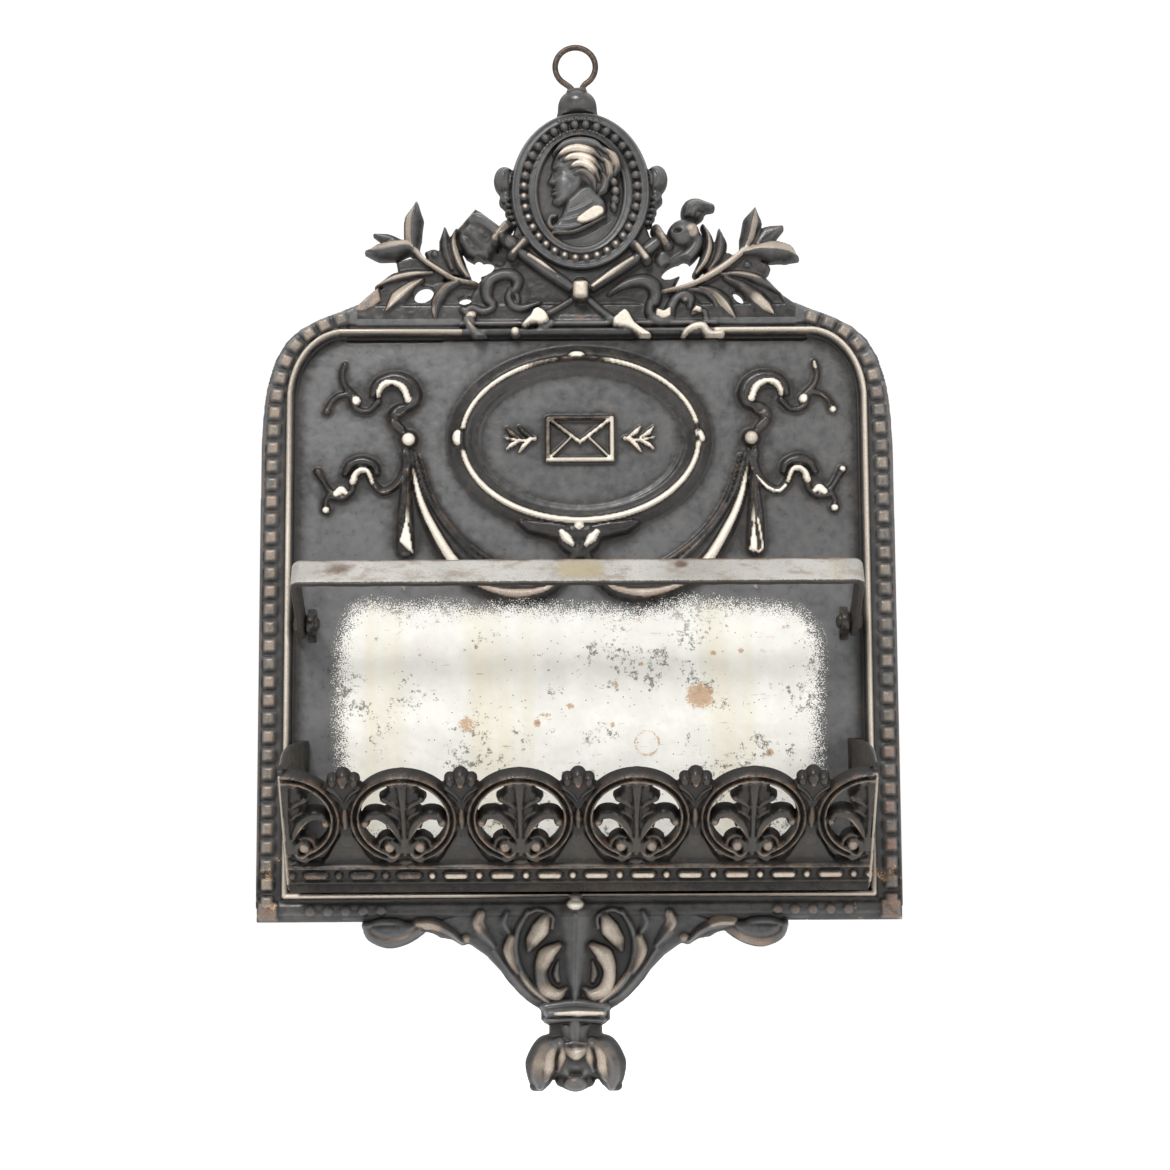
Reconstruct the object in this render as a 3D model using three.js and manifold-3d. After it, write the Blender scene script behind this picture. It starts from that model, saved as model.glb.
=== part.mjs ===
// Wall letter holder: a cast-iron back plate with a pierced crest and a bottom console, a cast openwork gallery that
// makes the letter tray, a pivoting strip-iron bar that keeps tall letters back, and a wire eye to hang it by.
// Millimetres. X to the right, Z up, the wall face lies in the plane Y = 0 and the front looks towards -Y.
// "Depth" below is the distance in front of the wall face, so Y = -depth.
import * as THREE from "three";
import { mergeVertices } from "three/addons/utils/BufferGeometryUtils.js";
import Module from "manifold-3d";

// ---------------------------------------------------------------- driving dimensions
const HALF_WIDTH = 99.5; // half width of the panel
const PANEL_BOTTOM = -104.4; // lower edge of the panel
const FIELD_DEPTH = 3.0; // thickness of the plain field
const BORDER_DEPTH = 4.6; // ground of the bead border
const BEAD_DEPTH = 6.0; // top of the bead band
const RIM_DEPTH = 7.2; // top of the raised inner rim
const RIM_X = 90.4; // centreline of the rim at the sides
const RIM_TOP = 80.4; // centreline of the rim at the top
const RIM_BOTTOM = -96.3; // centreline of the rim at the bottom
const RIM_WIDTH = 2.2;

const MEDAL = { x: 1.3, z: 126.0, a: 21.3, b: 25.0, depth: 6.0 }; // oval medallion of the crest
const CARTOUCHE = { x: 1.0, z: 45.5, a: 37.6, b: 26.2 }; // oval ring on the field

const EYE_Z = 167.1; // centre of the hanging loop
const EYE_R = 6.45; // mean radius of the loop
const EYE_DEPTH = 4.0; // depth of the wire's centreline
const WIRE_R = 0.95; // wire radius
const BALL = { x: 0.6, z: 155.5, r: 5.6, depth: 4.0 }; // finial ball under the eye

const PIVOT = { depth: 8.0, z: -12.8 }; // the bar's pivot axis, along X
const BAR_LENGTH = 25.6; // pivot to the middle of the front strip
const BAR_TILT = (30.6 * Math.PI) / 180; // how far the bar is raised as it stands
const BAR_WIDTH = 9.0;
const BAR_THICK = 2.0;
const BAR_HALF = 86.5; // outside of the arms
const EAR_IN = 81.0; // the ears that carry the bar stand between these two planes
const EAR_OUT = 84.2;
const RIVET_R = 1.5;
const HOLE_R = 1.58;

const WALL_OUT = 86.2; // outside of the gallery's side returns
const WALL_T = 2.6;
const FRONT_TOP = { depth: 58.0, z: -62.0 }; // outer top edge of the gallery front
const FRONT_BOTTOM = { depth: 34.5, z: -93.2 }; // outer bottom edge of the gallery front
const FRONT_T = 4.6; // thickness of the gallery front
const RING_R = 15.8; // outer radius of a ring
const RING_PITCH = 33.8;
const RING_BAND = 3.1;
const GAP = 0.3; // clearance between pieces that bear on each other
const FOOT = { x: 85.5, half: 2.1, depth: 9.6, z: -53.6, halfZ: 4.8 }; // upper feet, at the back of the side returns
const FLOOR = { top: -92.4, bottom: -95.0 }; // floor of the tray
const LOWER_FOOT = { x: 46, half: 5, depth: 10.5, top: -86.0 }; // feet that stand on the floor
const UPPER_SCREW = { r: 1.2, head: 2.4, headHeight: 1.2 };
const LOWER_SCREW = { r: 2.0, head: 3.7, headHeight: 1.7 };
const HEAD_SINK = 0.25; // the screw heads lie a little below the wall face

// ---------------------------------------------------------------- solids
const wasm = await Module();
wasm.setup();

function solid(geometry) {
  const g = geometry.index ? geometry.toNonIndexed() : geometry.clone();
  g.deleteAttribute("normal");
  g.deleteAttribute("uv");
  const m = mergeVertices(g, 1e-4);
  return new wasm.Manifold(
    new wasm.Mesh({
      numProp: 3,
      vertProperties: new Float32Array(m.attributes.position.array),
      triVerts: new Uint32Array(m.index.array),
    }),
  );
}

function join(list) {
  return list.reduce((a, b) => a.add(b));
}

function cut(body, list) {
  return list.reduce((a, b) => a.subtract(b), body);
}

function geometryOf(manifold) {
  const m = manifold.getMesh();
  const n = m.numProp;
  const p = new Float32Array(m.numVert * 3);
  for (let i = 0; i < m.numVert; i++)
    p.set(m.vertProperties.subarray(i * n, i * n + 3), i * 3);
  const g = new THREE.BufferGeometry();
  g.setAttribute("position", new THREE.BufferAttribute(p, 3));
  g.setIndex(new THREE.BufferAttribute(new Uint32Array(m.triVerts), 1));
  return g;
}

// A flat shape drawn in X and Z, standing from depth d0 to depth d1 in front of the wall.
function slabGeometry(shape, d0, d1, curveSegments = 12) {
  const g = new THREE.ExtrudeGeometry(shape, {
    depth: d1 - d0,
    bevelEnabled: false,
    curveSegments,
  });
  g.rotateX(Math.PI / 2);
  g.translate(0, -d0, 0);
  return g;
}

const slab = (shape, d0, d1, seg) => solid(slabGeometry(shape, d0, d1, seg));

function polygon(points) {
  return new THREE.Shape(points.map(([x, z]) => new THREE.Vector2(x, z)));
}

function oval(x, z, a, b, n = 40) {
  const pts = [];
  for (let i = 0; i < n; i++) {
    const t = (2 * Math.PI * i) / n;
    pts.push([x + a * Math.cos(t), z + b * Math.sin(t)]);
  }
  return polygon(pts);
}

function ovalRing(x, z, a, b, w, n = 40) {
  const s = oval(x, z, a, b, n);
  s.holes.push(new THREE.Path(oval(x, z, a - w, b - w, n).getPoints().reverse()));
  return s;
}

// A leaf from its base to its tip, widest in the middle and bent sideways by bend.
function leaf(x0, z0, x1, z1, width, bend = 0, n = 4) {
  const dx = x1 - x0,
    dz = z1 - z0,
    len = Math.hypot(dx, dz),
    nx = -dz / len,
    nz = dx / len;
  const left = [],
    right = [];
  for (let i = 0; i <= n; i++) {
    const t = i / n;
    const w = (width / 2) * Math.sin(Math.PI * Math.min(1, 0.12 + 0.88 * t) ** 0.9);
    const c = bend * 4 * t * (1 - t);
    const x = x0 + dx * t + nx * c,
      z = z0 + dz * t + nz * c;
    left.push([x + nx * Math.max(w, 0.15), z + nz * Math.max(w, 0.15)]);
    right.unshift([x - nx * Math.max(w, 0.15), z - nz * Math.max(w, 0.15)]);
  }
  return polygon([...left, ...right]);
}

// A straight bar whose half width changes along its length.
function taper(x0, z0, x1, z1, stations) {
  const dx = x1 - x0,
    dz = z1 - z0,
    len = Math.hypot(dx, dz),
    nx = -dz / len,
    nz = dx / len;
  const left = [],
    right = [];
  for (const [t, w] of stations) {
    left.push([x0 + dx * t + nx * w, z0 + dz * t + nz * w]);
    right.unshift([x0 + dx * t - nx * w, z0 + dz * t - nz * w]);
  }
  return polygon([...left, ...right]);
}

// A band of constant width that follows a line of points.
function band(points, w) {
  const curve = new THREE.CatmullRomCurve3(
    points.map(([x, z]) => new THREE.Vector3(x, z, 0)),
    false,
    "centripetal",
  );
  const n = points.length * 2;
  const left = [],
    right = [];
  for (let i = 0; i <= n; i++) {
    const p = curve.getPoint(i / n),
      t = curve.getTangent(i / n);
    left.push([p.x - (t.y * w) / 2, p.y + (t.x * w) / 2]);
    right.unshift([p.x + (t.y * w) / 2, p.y - (t.x * w) / 2]);
  }
  return polygon([...left, ...right]);
}

function ball(x, depth, z, r, sx = 1, sy = 1, sz = 1, seg = 10) {
  const g = new THREE.SphereGeometry(r, seg, Math.round(seg / 2));
  g.scale(sx, sy, sz);
  g.translate(x, -depth, z);
  return solid(g);
}

// A cylinder along X, from x0 to x1.
function rodX(x0, x1, depth, z, r, seg = 24) {
  const g = new THREE.CylinderGeometry(r, r, Math.abs(x1 - x0), seg);
  g.rotateZ(Math.PI / 2);
  g.translate((x0 + x1) / 2, -depth, z);
  return solid(g);
}

// A cylinder along Y, between two depths.
function rodY(d0, d1, x, z, r0, r1 = r0, seg = 16) {
  const g = new THREE.CylinderGeometry(r0, r1, Math.abs(d1 - d0), seg);
  g.translate(x, -(d0 + d1) / 2, z);
  return solid(g);
}

// ---------------------------------------------------------------- back plate
// Outline of the panel: straight sides, and shoulders that sweep in to the crest.
const SHOULDER = [
  [99.5, 40.0],
  [99.2, 50.0],
  [98.6, 58.0],
  [97.4, 65.5],
  [95.4, 72.0],
  [92.2, 77.6],
  [87.8, 81.8],
  [82.0, 84.9],
  [75.5, 87.4],
  [69.5, 89.9],
];

function panelOutline() {
  const right = [[HALF_WIDTH, PANEL_BOTTOM], ...SHOULDER];
  const left = right.map(([x, z]) => [-x, z]).reverse();
  return polygon([...right, ...left]);
}

// The inner rim: a frame with rounded upper corners.
function rimLoop(offset) {
  const x = RIM_X + offset,
    top = RIM_TOP + offset,
    bottom = RIM_BOTTOM - offset;
  const rx = 17 + offset,
    rz = 22 + offset;
  const pts = [
    [-x, bottom],
    [x, bottom],
  ];
  for (let i = 0; i <= 10; i++) {
    const t = (Math.PI / 2) * (i / 10);
    pts.push([x - rx + rx * Math.cos(t), top - rz + rz * Math.sin(t)]);
  }
  for (let i = 10; i >= 0; i--) {
    const t = (Math.PI / 2) * (i / 10);
    pts.push([-(x - rx + rx * Math.cos(t)), top - rz + rz * Math.sin(t)]);
  }
  return pts;
}

function frameBetween(outer, inner) {
  const s = polygon(outer);
  s.holes.push(new THREE.Path(inner.map(([x, z]) => new THREE.Vector2(x, z)).reverse()));
  return s;
}

const panel = slab(panelOutline(), 0, FIELD_DEPTH);
const outline = [[HALF_WIDTH, PANEL_BOTTOM], ...SHOULDER];
const outlineLoop = [...outline, ...outline.map(([x, z]) => [-x, z]).reverse()];
const border = slab(frameBetween(outlineLoop, rimLoop(0.9)), 0.5, BORDER_DEPTH);
const rim = slab(frameBetween(rimLoop(RIM_WIDTH / 2), rimLoop(-RIM_WIDTH / 2)), 0.5, RIM_DEPTH);

// Band that carries the row of beads, down both sides and round the shoulders.
const beadPath = [
  [95.8, -99.5],
  [95.8, -40.0],
  [95.7, 20.0],
  [95.2, 50.0],
  [93.9, 63.0],
  [91.4, 71.6],
  [86.9, 78.0],
  [79.6, 82.6],
  [71.0, 85.6],
];
const beadRight = slab(band(beadPath, 3.4), 0.5, BEAD_DEPTH);
const beadLeft = slab(band(beadPath.map(([x, z]) => [-x, z]).reverse(), 3.4), 0.5, BEAD_DEPTH);
const beadBottom = slab(
  polygon([
    [-97.5, -102.2],
    [97.5, -102.2],
    [97.5, -98.8],
    [-97.5, -98.8],
  ]),
  0.5,
  BEAD_DEPTH,
);

// Cartouche and the ribbons on the field.
const cartouche = join([
  slab(ovalRing(CARTOUCHE.x, CARTOUCHE.z, CARTOUCHE.a + 1.1, CARTOUCHE.b + 1.1, 2.6, 32), 0.5, 6.6),
  ball(CARTOUCHE.x - CARTOUCHE.a, 5.0, CARTOUCHE.z, 2.4, 1, 1, 1.2, 8),
  ball(CARTOUCHE.x + CARTOUCHE.a, 5.0, CARTOUCHE.z, 2.4, 1, 1, 1.2, 8),
  ball(CARTOUCHE.x, 5.0, CARTOUCHE.z + CARTOUCHE.b, 2.4, 1.2, 1, 1, 8),
  ball(CARTOUCHE.x, 5.0, CARTOUCHE.z - CARTOUCHE.b, 2.4, 1.2, 1, 1, 8),
  slab(leaf(CARTOUCHE.x, 17.5, CARTOUCHE.x - 18, 19.5, 4.5, -2), 0.5, 5.0),
  slab(leaf(CARTOUCHE.x, 17.5, CARTOUCHE.x + 18, 19.5, 4.5, 2), 0.5, 5.0),
  slab(oval(CARTOUCHE.x, 13.5, 5.5, 4.5, 16), 0.5, 5.0),
]);

function ribbons(side) {
  const m = (pts) => pts.map(([x, z]) => [CARTOUCHE.x + side * (x - CARTOUCHE.x), z]);
  const sorted = (pts) => (side > 0 ? m(pts) : m(pts).reverse());
  return [
    ball(CARTOUCHE.x + side * 53.0, 4.6, 45.5, 2.9, 1, 1, 1, 8),
    slab(
      band(
        sorted([
          [57.5, 52.0],
          [52.8, 57.5],
          [54.0, 62.4],
          [58.3, 64.4],
          [62.8, 61.6],
          [64.0, 57.4],
          [69.4, 54.6],
        ]),
        3.0,
      ),
      0.5,
      5.2,
    ),
    slab(
      band(
        sorted([
          [53.5, 39.6],
          [57.0, 30.8],
          [61.8, 29.6],
          [64.8, 33.4],
          [67.4, 36.6],
          [72.0, 34.0],
          [71.0, 30.2],
          [74.6, 29.4],
        ]),
        3.0,
      ),
      0.5,
      5.2,
    ),
    slab(
      polygon(
        side > 0
          ? [
              [CARTOUCHE.x + 51.2, 41],
              [CARTOUCHE.x + 48.8, 10],
              [CARTOUCHE.x + 55.6, 10],
              [CARTOUCHE.x + 53.2, 41],
            ].reverse()
          : [
              [CARTOUCHE.x - 51.2, 41],
              [CARTOUCHE.x - 48.8, 10],
              [CARTOUCHE.x - 55.6, 10],
              [CARTOUCHE.x - 53.2, 41],
            ],
      ),
      0.5,
      5.0,
    ),
    slab(
      band(
        sorted([
          [52.0, 37.0],
          [49.0, 24.0],
          [42.0, 12.0],
          [31.0, 4.0],
          [18.0, -1.5],
          [4.0, 4.0],
        ]),
        4.4,
      ),
      0.5,
      5.2,
    ),
  ];
}

// Small ears beside the tray, in which the bar turns.
function ear(side) {
  const x0 = EAR_IN,
    x1 = EAR_OUT;
  const s = new THREE.Shape();
  s.moveTo(-1, PIVOT.z - 4.6);
  s.lineTo(-PIVOT.depth, PIVOT.z - 3.6);
  s.absarc(-PIVOT.depth, PIVOT.z, 3.6, -Math.PI / 2, Math.PI / 2, true);
  s.lineTo(-1, PIVOT.z + 4.6);
  s.closePath();
  const g = new THREE.ExtrudeGeometry(s, { depth: x1 - x0, bevelEnabled: false, curveSegments: 12 });
  // shape x is Y, shape y is Z, extrusion is X
  g.applyMatrix4(new THREE.Matrix4().set(0, 0, 1, side > 0 ? x0 : -x1, 1, 0, 0, 0, 0, 1, 0, 0, 0, 0, 0, 1));
  return solid(g);
}

// Crest: a web behind the ornaments joins them, as in the casting.
function crest() {
  const parts = [
    slab(
      polygon([
        [-70.0, 88.5],
        [70.0, 88.5],
        [66.5, 95.5],
        [52.0, 97.0],
        [40.0, 97.5],
        [26.0, 104.0],
        [16.0, 106.0],
        [-14.0, 106.0],
        [-24.0, 104.0],
        [-34.0, 98.5],
        [-48.0, 97.0],
        [-61.0, 96.5],
        [-66.0, 93.0],
      ]),
      0,
      3.6,
    ),
    slab(oval(MEDAL.x, MEDAL.z, MEDAL.a, MEDAL.b, 32), 0, MEDAL.depth - 1.6),
    slab(ovalRing(MEDAL.x, MEDAL.z, MEDAL.a - 1.2, MEDAL.b - 1.2, 4.8, 32), 0.5, MEDAL.depth + 0.8),
    ball(MEDAL.x, 4.0, MEDAL.z - 1, 10.5, 0.95, 0.42, 1.25, 8),
    // side volutes of the medallion
    slab(oval(MEDAL.x - 22.6, 129.0, 3.4, 5.2, 14), 0, 5.0),
    slab(oval(MEDAL.x + 22.8, 129.0, 3.4, 5.2, 14), 0, 5.0),
    slab(oval(MEDAL.x - 20.0, 118.5, 4.4, 6.5, 14), 0, 5.0),
    slab(oval(MEDAL.x + 20.4, 118.5, 4.4, 6.5, 14), 0, 5.0),
    // finial ball and its collar
    slab(oval(0.9, 150.6, 7.2, 3.4, 18), 0, 6.4),
    ball(BALL.x, BALL.depth, BALL.z, BALL.r, 1, 0.8, 0.82, 8),
    // torch rising to the left
    slab(
      taper(18.2, 80.6, -37.8, 117.6, [
        [0, 1.6],
        [0.06, 4.6],
        [0.16, 3.4],
        [0.2, 2.2],
        [0.32, 2.6],
        [0.6, 3.4],
        [0.66, 5.2],
        [0.72, 5.2],
        [0.76, 4.2],
        [0.82, 5.6],
        [0.9, 5.6],
        [0.93, 4.6],
        [1, 4.8],
      ]),
      0,
      8.6,
    ),
    // torch rising to the right
    slab(
      taper(-14.6, 83.0, 36.4, 114.2, [
        [0, 1.6],
        [0.06, 4.2],
        [0.16, 3.2],
        [0.22, 2.2],
        [0.34, 2.6],
        [0.62, 3.4],
        [0.68, 5.2],
        [0.76, 5.0],
        [0.8, 4.4],
        [0.86, 5.8],
        [1, 5.4],
      ]),
      0,
      8.2,
    ),
    slab(oval(38.0, 118.2, 4.6, 3.8, 14), 0, 8.6),
    slab(leaf(38.0, 118.0, 45.2, 119.6, 3.4, 0), 0, 5.0),
    ball(1.3, 7.2, 92.6, 3.9, 0.78, 0.75, 1.05, 8),
    // scrolls between torches and branches
    slab(oval(-22.0, 96.0, 7.0, 6.0, 18), 0, 5.0),
    slab(oval(25.0, 96.0, 7.0, 6.0, 18), 0, 5.0),
    // ribbon ends that hang over the rim
    slab(band([[-17, 93], [-26, 88], [-34, 82.6]], 4.4), 0, 8.6),
    slab(band([[38, 82.0], [28, 88], [20, 94]].reverse(), 4.4), 0, 8.6),
  ];
  // laurel branches: stem and leaves, each side drawn from its own dimensions
  const stems = [
    band([[-51.0, 109.2], [-45.4, 102.4], [-37.8, 98.0], [-28.0, 95.6], [-14, 93.8]], 2.6),
    band([[56.4, 108.8], [54.0, 106.9], [44.4, 99.8], [29.4, 94.2], [14, 93.8]].reverse(), 2.6),
  ];
  for (const s of stems) parts.push(slab(s, 0, 5.0));
  const leaves = [
    // left branch
    [-50.6, 107.6, -50.4, 123.4, 5.6, 0.6],
    [-51.0, 109.0, -66.4, 107.6, 5.0, -0.8],
    [-51.2, 108.4, -59.0, 111.6, 3.4, 0],
    [-47.6, 100.2, -62.8, 95.8, 4.6, -0.6],
    [-50.0, 98.6, -60.2, 88.6, 5.0, 0.8],
    [-37.8, 98.2, -44.6, 86.6, 5.2, 0.8],
    [-39.4, 100.8, -42.0, 114.6, 4.6, 0.6],
    [-32.8, 98.4, -38.8, 112.6, 4.6, -0.6],
    [-58.0, 95.0, -68.2, 88.2, 4.6, 0.5],
    // right branch
    [54.4, 108.0, 57.4, 121.6, 5.6, -0.6],
    [55.0, 107.2, 71.0, 105.6, 5.0, 0.8],
    [57.0, 109.0, 65.6, 115.4, 4.2, 0],
    [49.2, 99.4, 64.6, 94.8, 4.6, 0.6],
    [50.2, 97.6, 61.0, 87.8, 5.0, -0.8],
    [39.6, 95.4, 50.6, 86.6, 5.2, -0.8],
    [41.4, 100.4, 45.4, 114.2, 4.6, -0.6],
    [36.6, 98.6, 40.4, 110.6, 4.4, 0.6],
    [60.0, 95.0, 71.0, 89.6, 4.6, -0.5],
  ];
  for (const l of leaves) parts.push(slab(leaf(...l), 0, 5.0));
  return parts;
}

// Console: acanthus bracket under the panel, a neck with a collar, and a three-lobed drop.
function console_() {
  const half = [
    [0, -101],
    [69.0, -101],
    [67.0, -105.6],
    [63.5, -109.2],
    [58.5, -112.6],
    [50.0, -112.6],
    [41.5, -111.4],
    [34.0, -111.8],
    [28.6, -113.8],
    [24.0, -118.0],
    [20.2, -123.0],
    [15.4, -127.6],
    [12.6, -129.8],
    [12.2, -133.6],
    [7.9, -135.2],
    [7.7, -139.2],
    [13.2, -142.6],
    [16.0, -146.4],
    [16.1, -150.6],
    [13.4, -155.0],
    [10.6, -155.2],
    [8.0, -153.0],
    [4.6, -154.6],
    [0, -156.2],
  ];
  const dx = -1.3;
  const pts = [...half.slice(1).map(([x, z]) => [dx + x, z]), ...half.slice(1, -1).reverse().map(([x, z]) => [dx - x, z])];
  const parts = [slab(polygon(pts.reverse()), 0, 4.4)];
  for (const s of [-1, 1]) {
    const X = (x) => dx + s * x;
    parts.push(slab(leaf(X(4), -104, X(9), -127, 11, s * 2), 0.5, 8.2));
    parts.push(slab(leaf(X(15), -104, X(25), -119, 8.4, s * 1.5), 0.5, 6.2));
    parts.push(slab(leaf(X(28), -103.6, X(39), -110.4, 6.4, s * 1), 0.5, 6.2));
    parts.push(slab(leaf(X(42), -103.6, X(64), -107.4, 7.0, s * -1), 0.5, 6.2));
    parts.push(ball(X(10.6), 5.0, -110.2, 3.4, 1, 1, 1.3, 8));
    parts.push(ball(X(11.6), 4.4, -148.4, 5.4, 0.86, 0.9, 1.2, 8));
  }
  parts.push(
    slab(
      polygon([
        [dx - 12.6, -133.4],
        [dx + 12.6, -133.4],
        [dx + 12.6, -129.4],
        [dx - 12.6, -129.4],
      ]),
      0,
      8.0,
    ),
  );
  parts.push(ball(dx, 4.6, -148.6, 6.0, 0.95, 0.95, 1.24, 8));
  parts.push(ball(dx, 5.4, -101.4, 2.6, 1, 1, 1.3, 8));
  return parts;
}

let backPlate = join([
  panel,
  border,
  rim,
  beadRight,
  beadLeft,
  beadBottom,
  cartouche,
  ...ribbons(1),
  ...ribbons(-1),
  ear(1),
  ear(-1),
  ...crest(),
  ...console_(),
]);
// Nothing stands behind the wall plane.
const behind = new THREE.BoxGeometry(400, 40, 500);
behind.translate(0, 20, 0);
backPlate = backPlate.subtract(solid(behind));

// ---------------------------------------------------------------- gallery
const lean = Math.atan2(FRONT_TOP.depth - FRONT_BOTTOM.depth, FRONT_TOP.z - FRONT_BOTTOM.z);
const slant = Math.hypot(FRONT_TOP.depth - FRONT_BOTTOM.depth, FRONT_TOP.z - FRONT_BOTTOM.z);

// A shape drawn flat for the gallery front: x across, y up from its outer top edge (so y is negative), and from t0
// to t1 behind the front's outer face. The whole front is joined flat and then leant outwards by leanOut.
function onFront(shape, t0, t1, seg = 12) {
  const g = new THREE.ExtrudeGeometry(shape, { depth: t1 - t0, bevelEnabled: false, curveSegments: seg });
  g.translate(0, 0, -t1);
  return solid(g);
}

function leanOut(manifold) {
  const c = Math.cos(lean),
    s = Math.sin(lean);
  // local x -> X; local y -> (0, -sin, cos); local z (out of the front) -> (0, -cos, -sin)
  const g = geometryOf(manifold);
  g.applyMatrix4(
    new THREE.Matrix4().set(1, 0, 0, 0, 0, -s, -c, -FRONT_TOP.depth, 0, c, -s, FRONT_TOP.z, 0, 0, 0, 1),
  );
  return solid(g);
}

function circleShape(x, y, r, n) {
  return oval(x, y, r, r, n);
}

function frontFence() {
  const parts = [];
  const centres = [-2.5, -1.5, -0.5, 0.5, 1.5, 2.5].map((k) => k * RING_PITCH);
  for (const cx of centres) {
    const ring = circleShape(cx, -RING_R, RING_R, 24);
    ring.holes.push(new THREE.Path(circleShape(cx, -RING_R, RING_R - RING_BAND, 20).getPoints().reverse()));
    parts.push(onFront(ring, 0, FRONT_T));
    // palmette: a middle leaf, two upper and two curled lower leaves, two scroll ends
    parts.push(onFront(leaf(cx, -27.5, cx, -2.6, 7.4, 0), 0, FRONT_T));
    for (const s of [-1, 1]) {
      parts.push(onFront(leaf(cx, -23.5, cx + s * 7.6, -6.6, 5.4, s * -1.2), 0, FRONT_T));
      parts.push(onFront(band(s > 0
        ? [[cx + 0.5, -25.0], [cx + 5.2, -19.0], [cx + 9.4, -14.4], [cx + 11.6, -17.4]]
        : [[cx - 11.6, -17.4], [cx - 9.4, -14.4], [cx - 5.2, -19.0], [cx - 0.5, -25.0]], 3.0), 0, FRONT_T));
      parts.push(onFront(circleShape(cx + s * 5.9, -24.8, 3.6, 10), 0, FRONT_T));
    }
    parts.push(onFront(polygon([[cx - 3, -33], [cx + 3, -33], [cx + 2.4, -26], [cx - 2.4, -26]]), 0, FRONT_T));
  }
  for (let k = -2; k <= 2; k++) {
    const x = k * RING_PITCH;
    // bud between two rings, and the webs above and below their contact
    parts.push(onFront(oval(x, -3.4, 2.3, 4.4, 10), 0, FRONT_T));
    parts.push(onFront(oval(x - 3.6, -2.8, 2.0, 2.2, 8), 0, FRONT_T));
    parts.push(onFront(oval(x + 3.6, -2.8, 2.0, 2.2, 8), 0, FRONT_T));
    parts.push(onFront(polygon([[x - 4.6, -6.6], [x, -16], [x + 4.6, -6.6], [x, -3.4]]), 0, FRONT_T));
    parts.push(onFront(polygon([[x - 7.6, -31.6], [x + 7.6, -31.6], [x + 1.4, -18], [x - 1.4, -18]]), 0, FRONT_T));
  }
  // base moulding
  parts.push(onFront(polygon([[-WALL_OUT, -slant], [WALL_OUT, -slant], [WALL_OUT, -30.6], [-WALL_OUT, -30.6]]), 0, FRONT_T));
  let fence = leanOut(join(parts));
  // the outer rings end at the corners, where the side returns take over
  for (const s of [-1, 1]) {
    const g = new THREE.BoxGeometry(60, 200, 200);
    g.translate(s * (WALL_OUT - WALL_T + 30 + 0.4), -40, -80);
    fence = fence.subtract(solid(g));
  }
  return fence;
}

// A side return, drawn in depth and height.
function sideReturn(side) {
  const c = Math.cos(lean),
    s = Math.sin(lean);
  const at = (dist, t) => [FRONT_TOP.depth - dist * s - t * c, FRONT_TOP.z - dist * c + t * s];
  const back = FIELD_DEPTH + GAP;
  const pts = [
    [back, -48.6],
    [14, -49.6],
    [28, -50.4],
    [42, -52.0],
    [50, -54.2],
    [54.6, -57.4],
    [57.2, -60.6],
    at(0, 0),
    at(slant, 0),
    [FRONT_BOTTOM.depth - 1.0, -95.0],
    [back, -95.0],
  ];
  const shape = new THREE.Shape(pts.map(([d, z]) => new THREE.Vector2(-d, z)));
  const g = new THREE.ExtrudeGeometry(shape, { depth: WALL_T, bevelEnabled: false, curveSegments: 8 });
  const x0 = side > 0 ? WALL_OUT - WALL_T : -WALL_OUT;
  g.applyMatrix4(new THREE.Matrix4().set(0, 0, 1, x0, 1, 0, 0, 0, 0, 1, 0, 0, 0, 0, 0, 1));
  return solid(g);
}

function box(x0, x1, d0, d1, z0, z1) {
  const g = new THREE.BoxGeometry(x1 - x0, d1 - d0, z1 - z0);
  g.translate((x0 + x1) / 2, -(d0 + d1) / 2, (z0 + z1) / 2);
  return solid(g);
}

let gallery = join([
  frontFence(),
  sideReturn(1),
  sideReturn(-1),
  box(-WALL_OUT + 0.6, WALL_OUT - 0.6, FIELD_DEPTH + GAP, FRONT_BOTTOM.depth - 1.2, FLOOR.bottom, FLOOR.top),
  // feet that take the screws
  box(-FOOT.x - FOOT.half, -FOOT.x + FOOT.half, FIELD_DEPTH + GAP, FOOT.depth, FOOT.z - FOOT.halfZ, FOOT.z + FOOT.halfZ),
  box(FOOT.x - FOOT.half, FOOT.x + FOOT.half, FIELD_DEPTH + GAP, FOOT.depth, FOOT.z - FOOT.halfZ, FOOT.z + FOOT.halfZ),
  ...[-1, 1].map((side) =>
    box(
      side * LOWER_FOOT.x - LOWER_FOOT.half,
      side * LOWER_FOOT.x + LOWER_FOOT.half,
      FIELD_DEPTH + GAP,
      LOWER_FOOT.depth,
      FLOOR.bottom,
      LOWER_FOOT.top,
    ),
  ),
]);

// ---------------------------------------------------------------- screws of the gallery
const LOWER_Z = FLOOR.top + 1.9;
const screwPlaces = {
  gallery_screw_upper_left: [-FOOT.x, FOOT.z, UPPER_SCREW],
  gallery_screw_upper_right: [FOOT.x, FOOT.z, UPPER_SCREW],
  gallery_screw_lower_left: [-LOWER_FOOT.x, LOWER_Z, LOWER_SCREW],
  gallery_screw_lower_right: [LOWER_FOOT.x, LOWER_Z, LOWER_SCREW],
};

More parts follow.
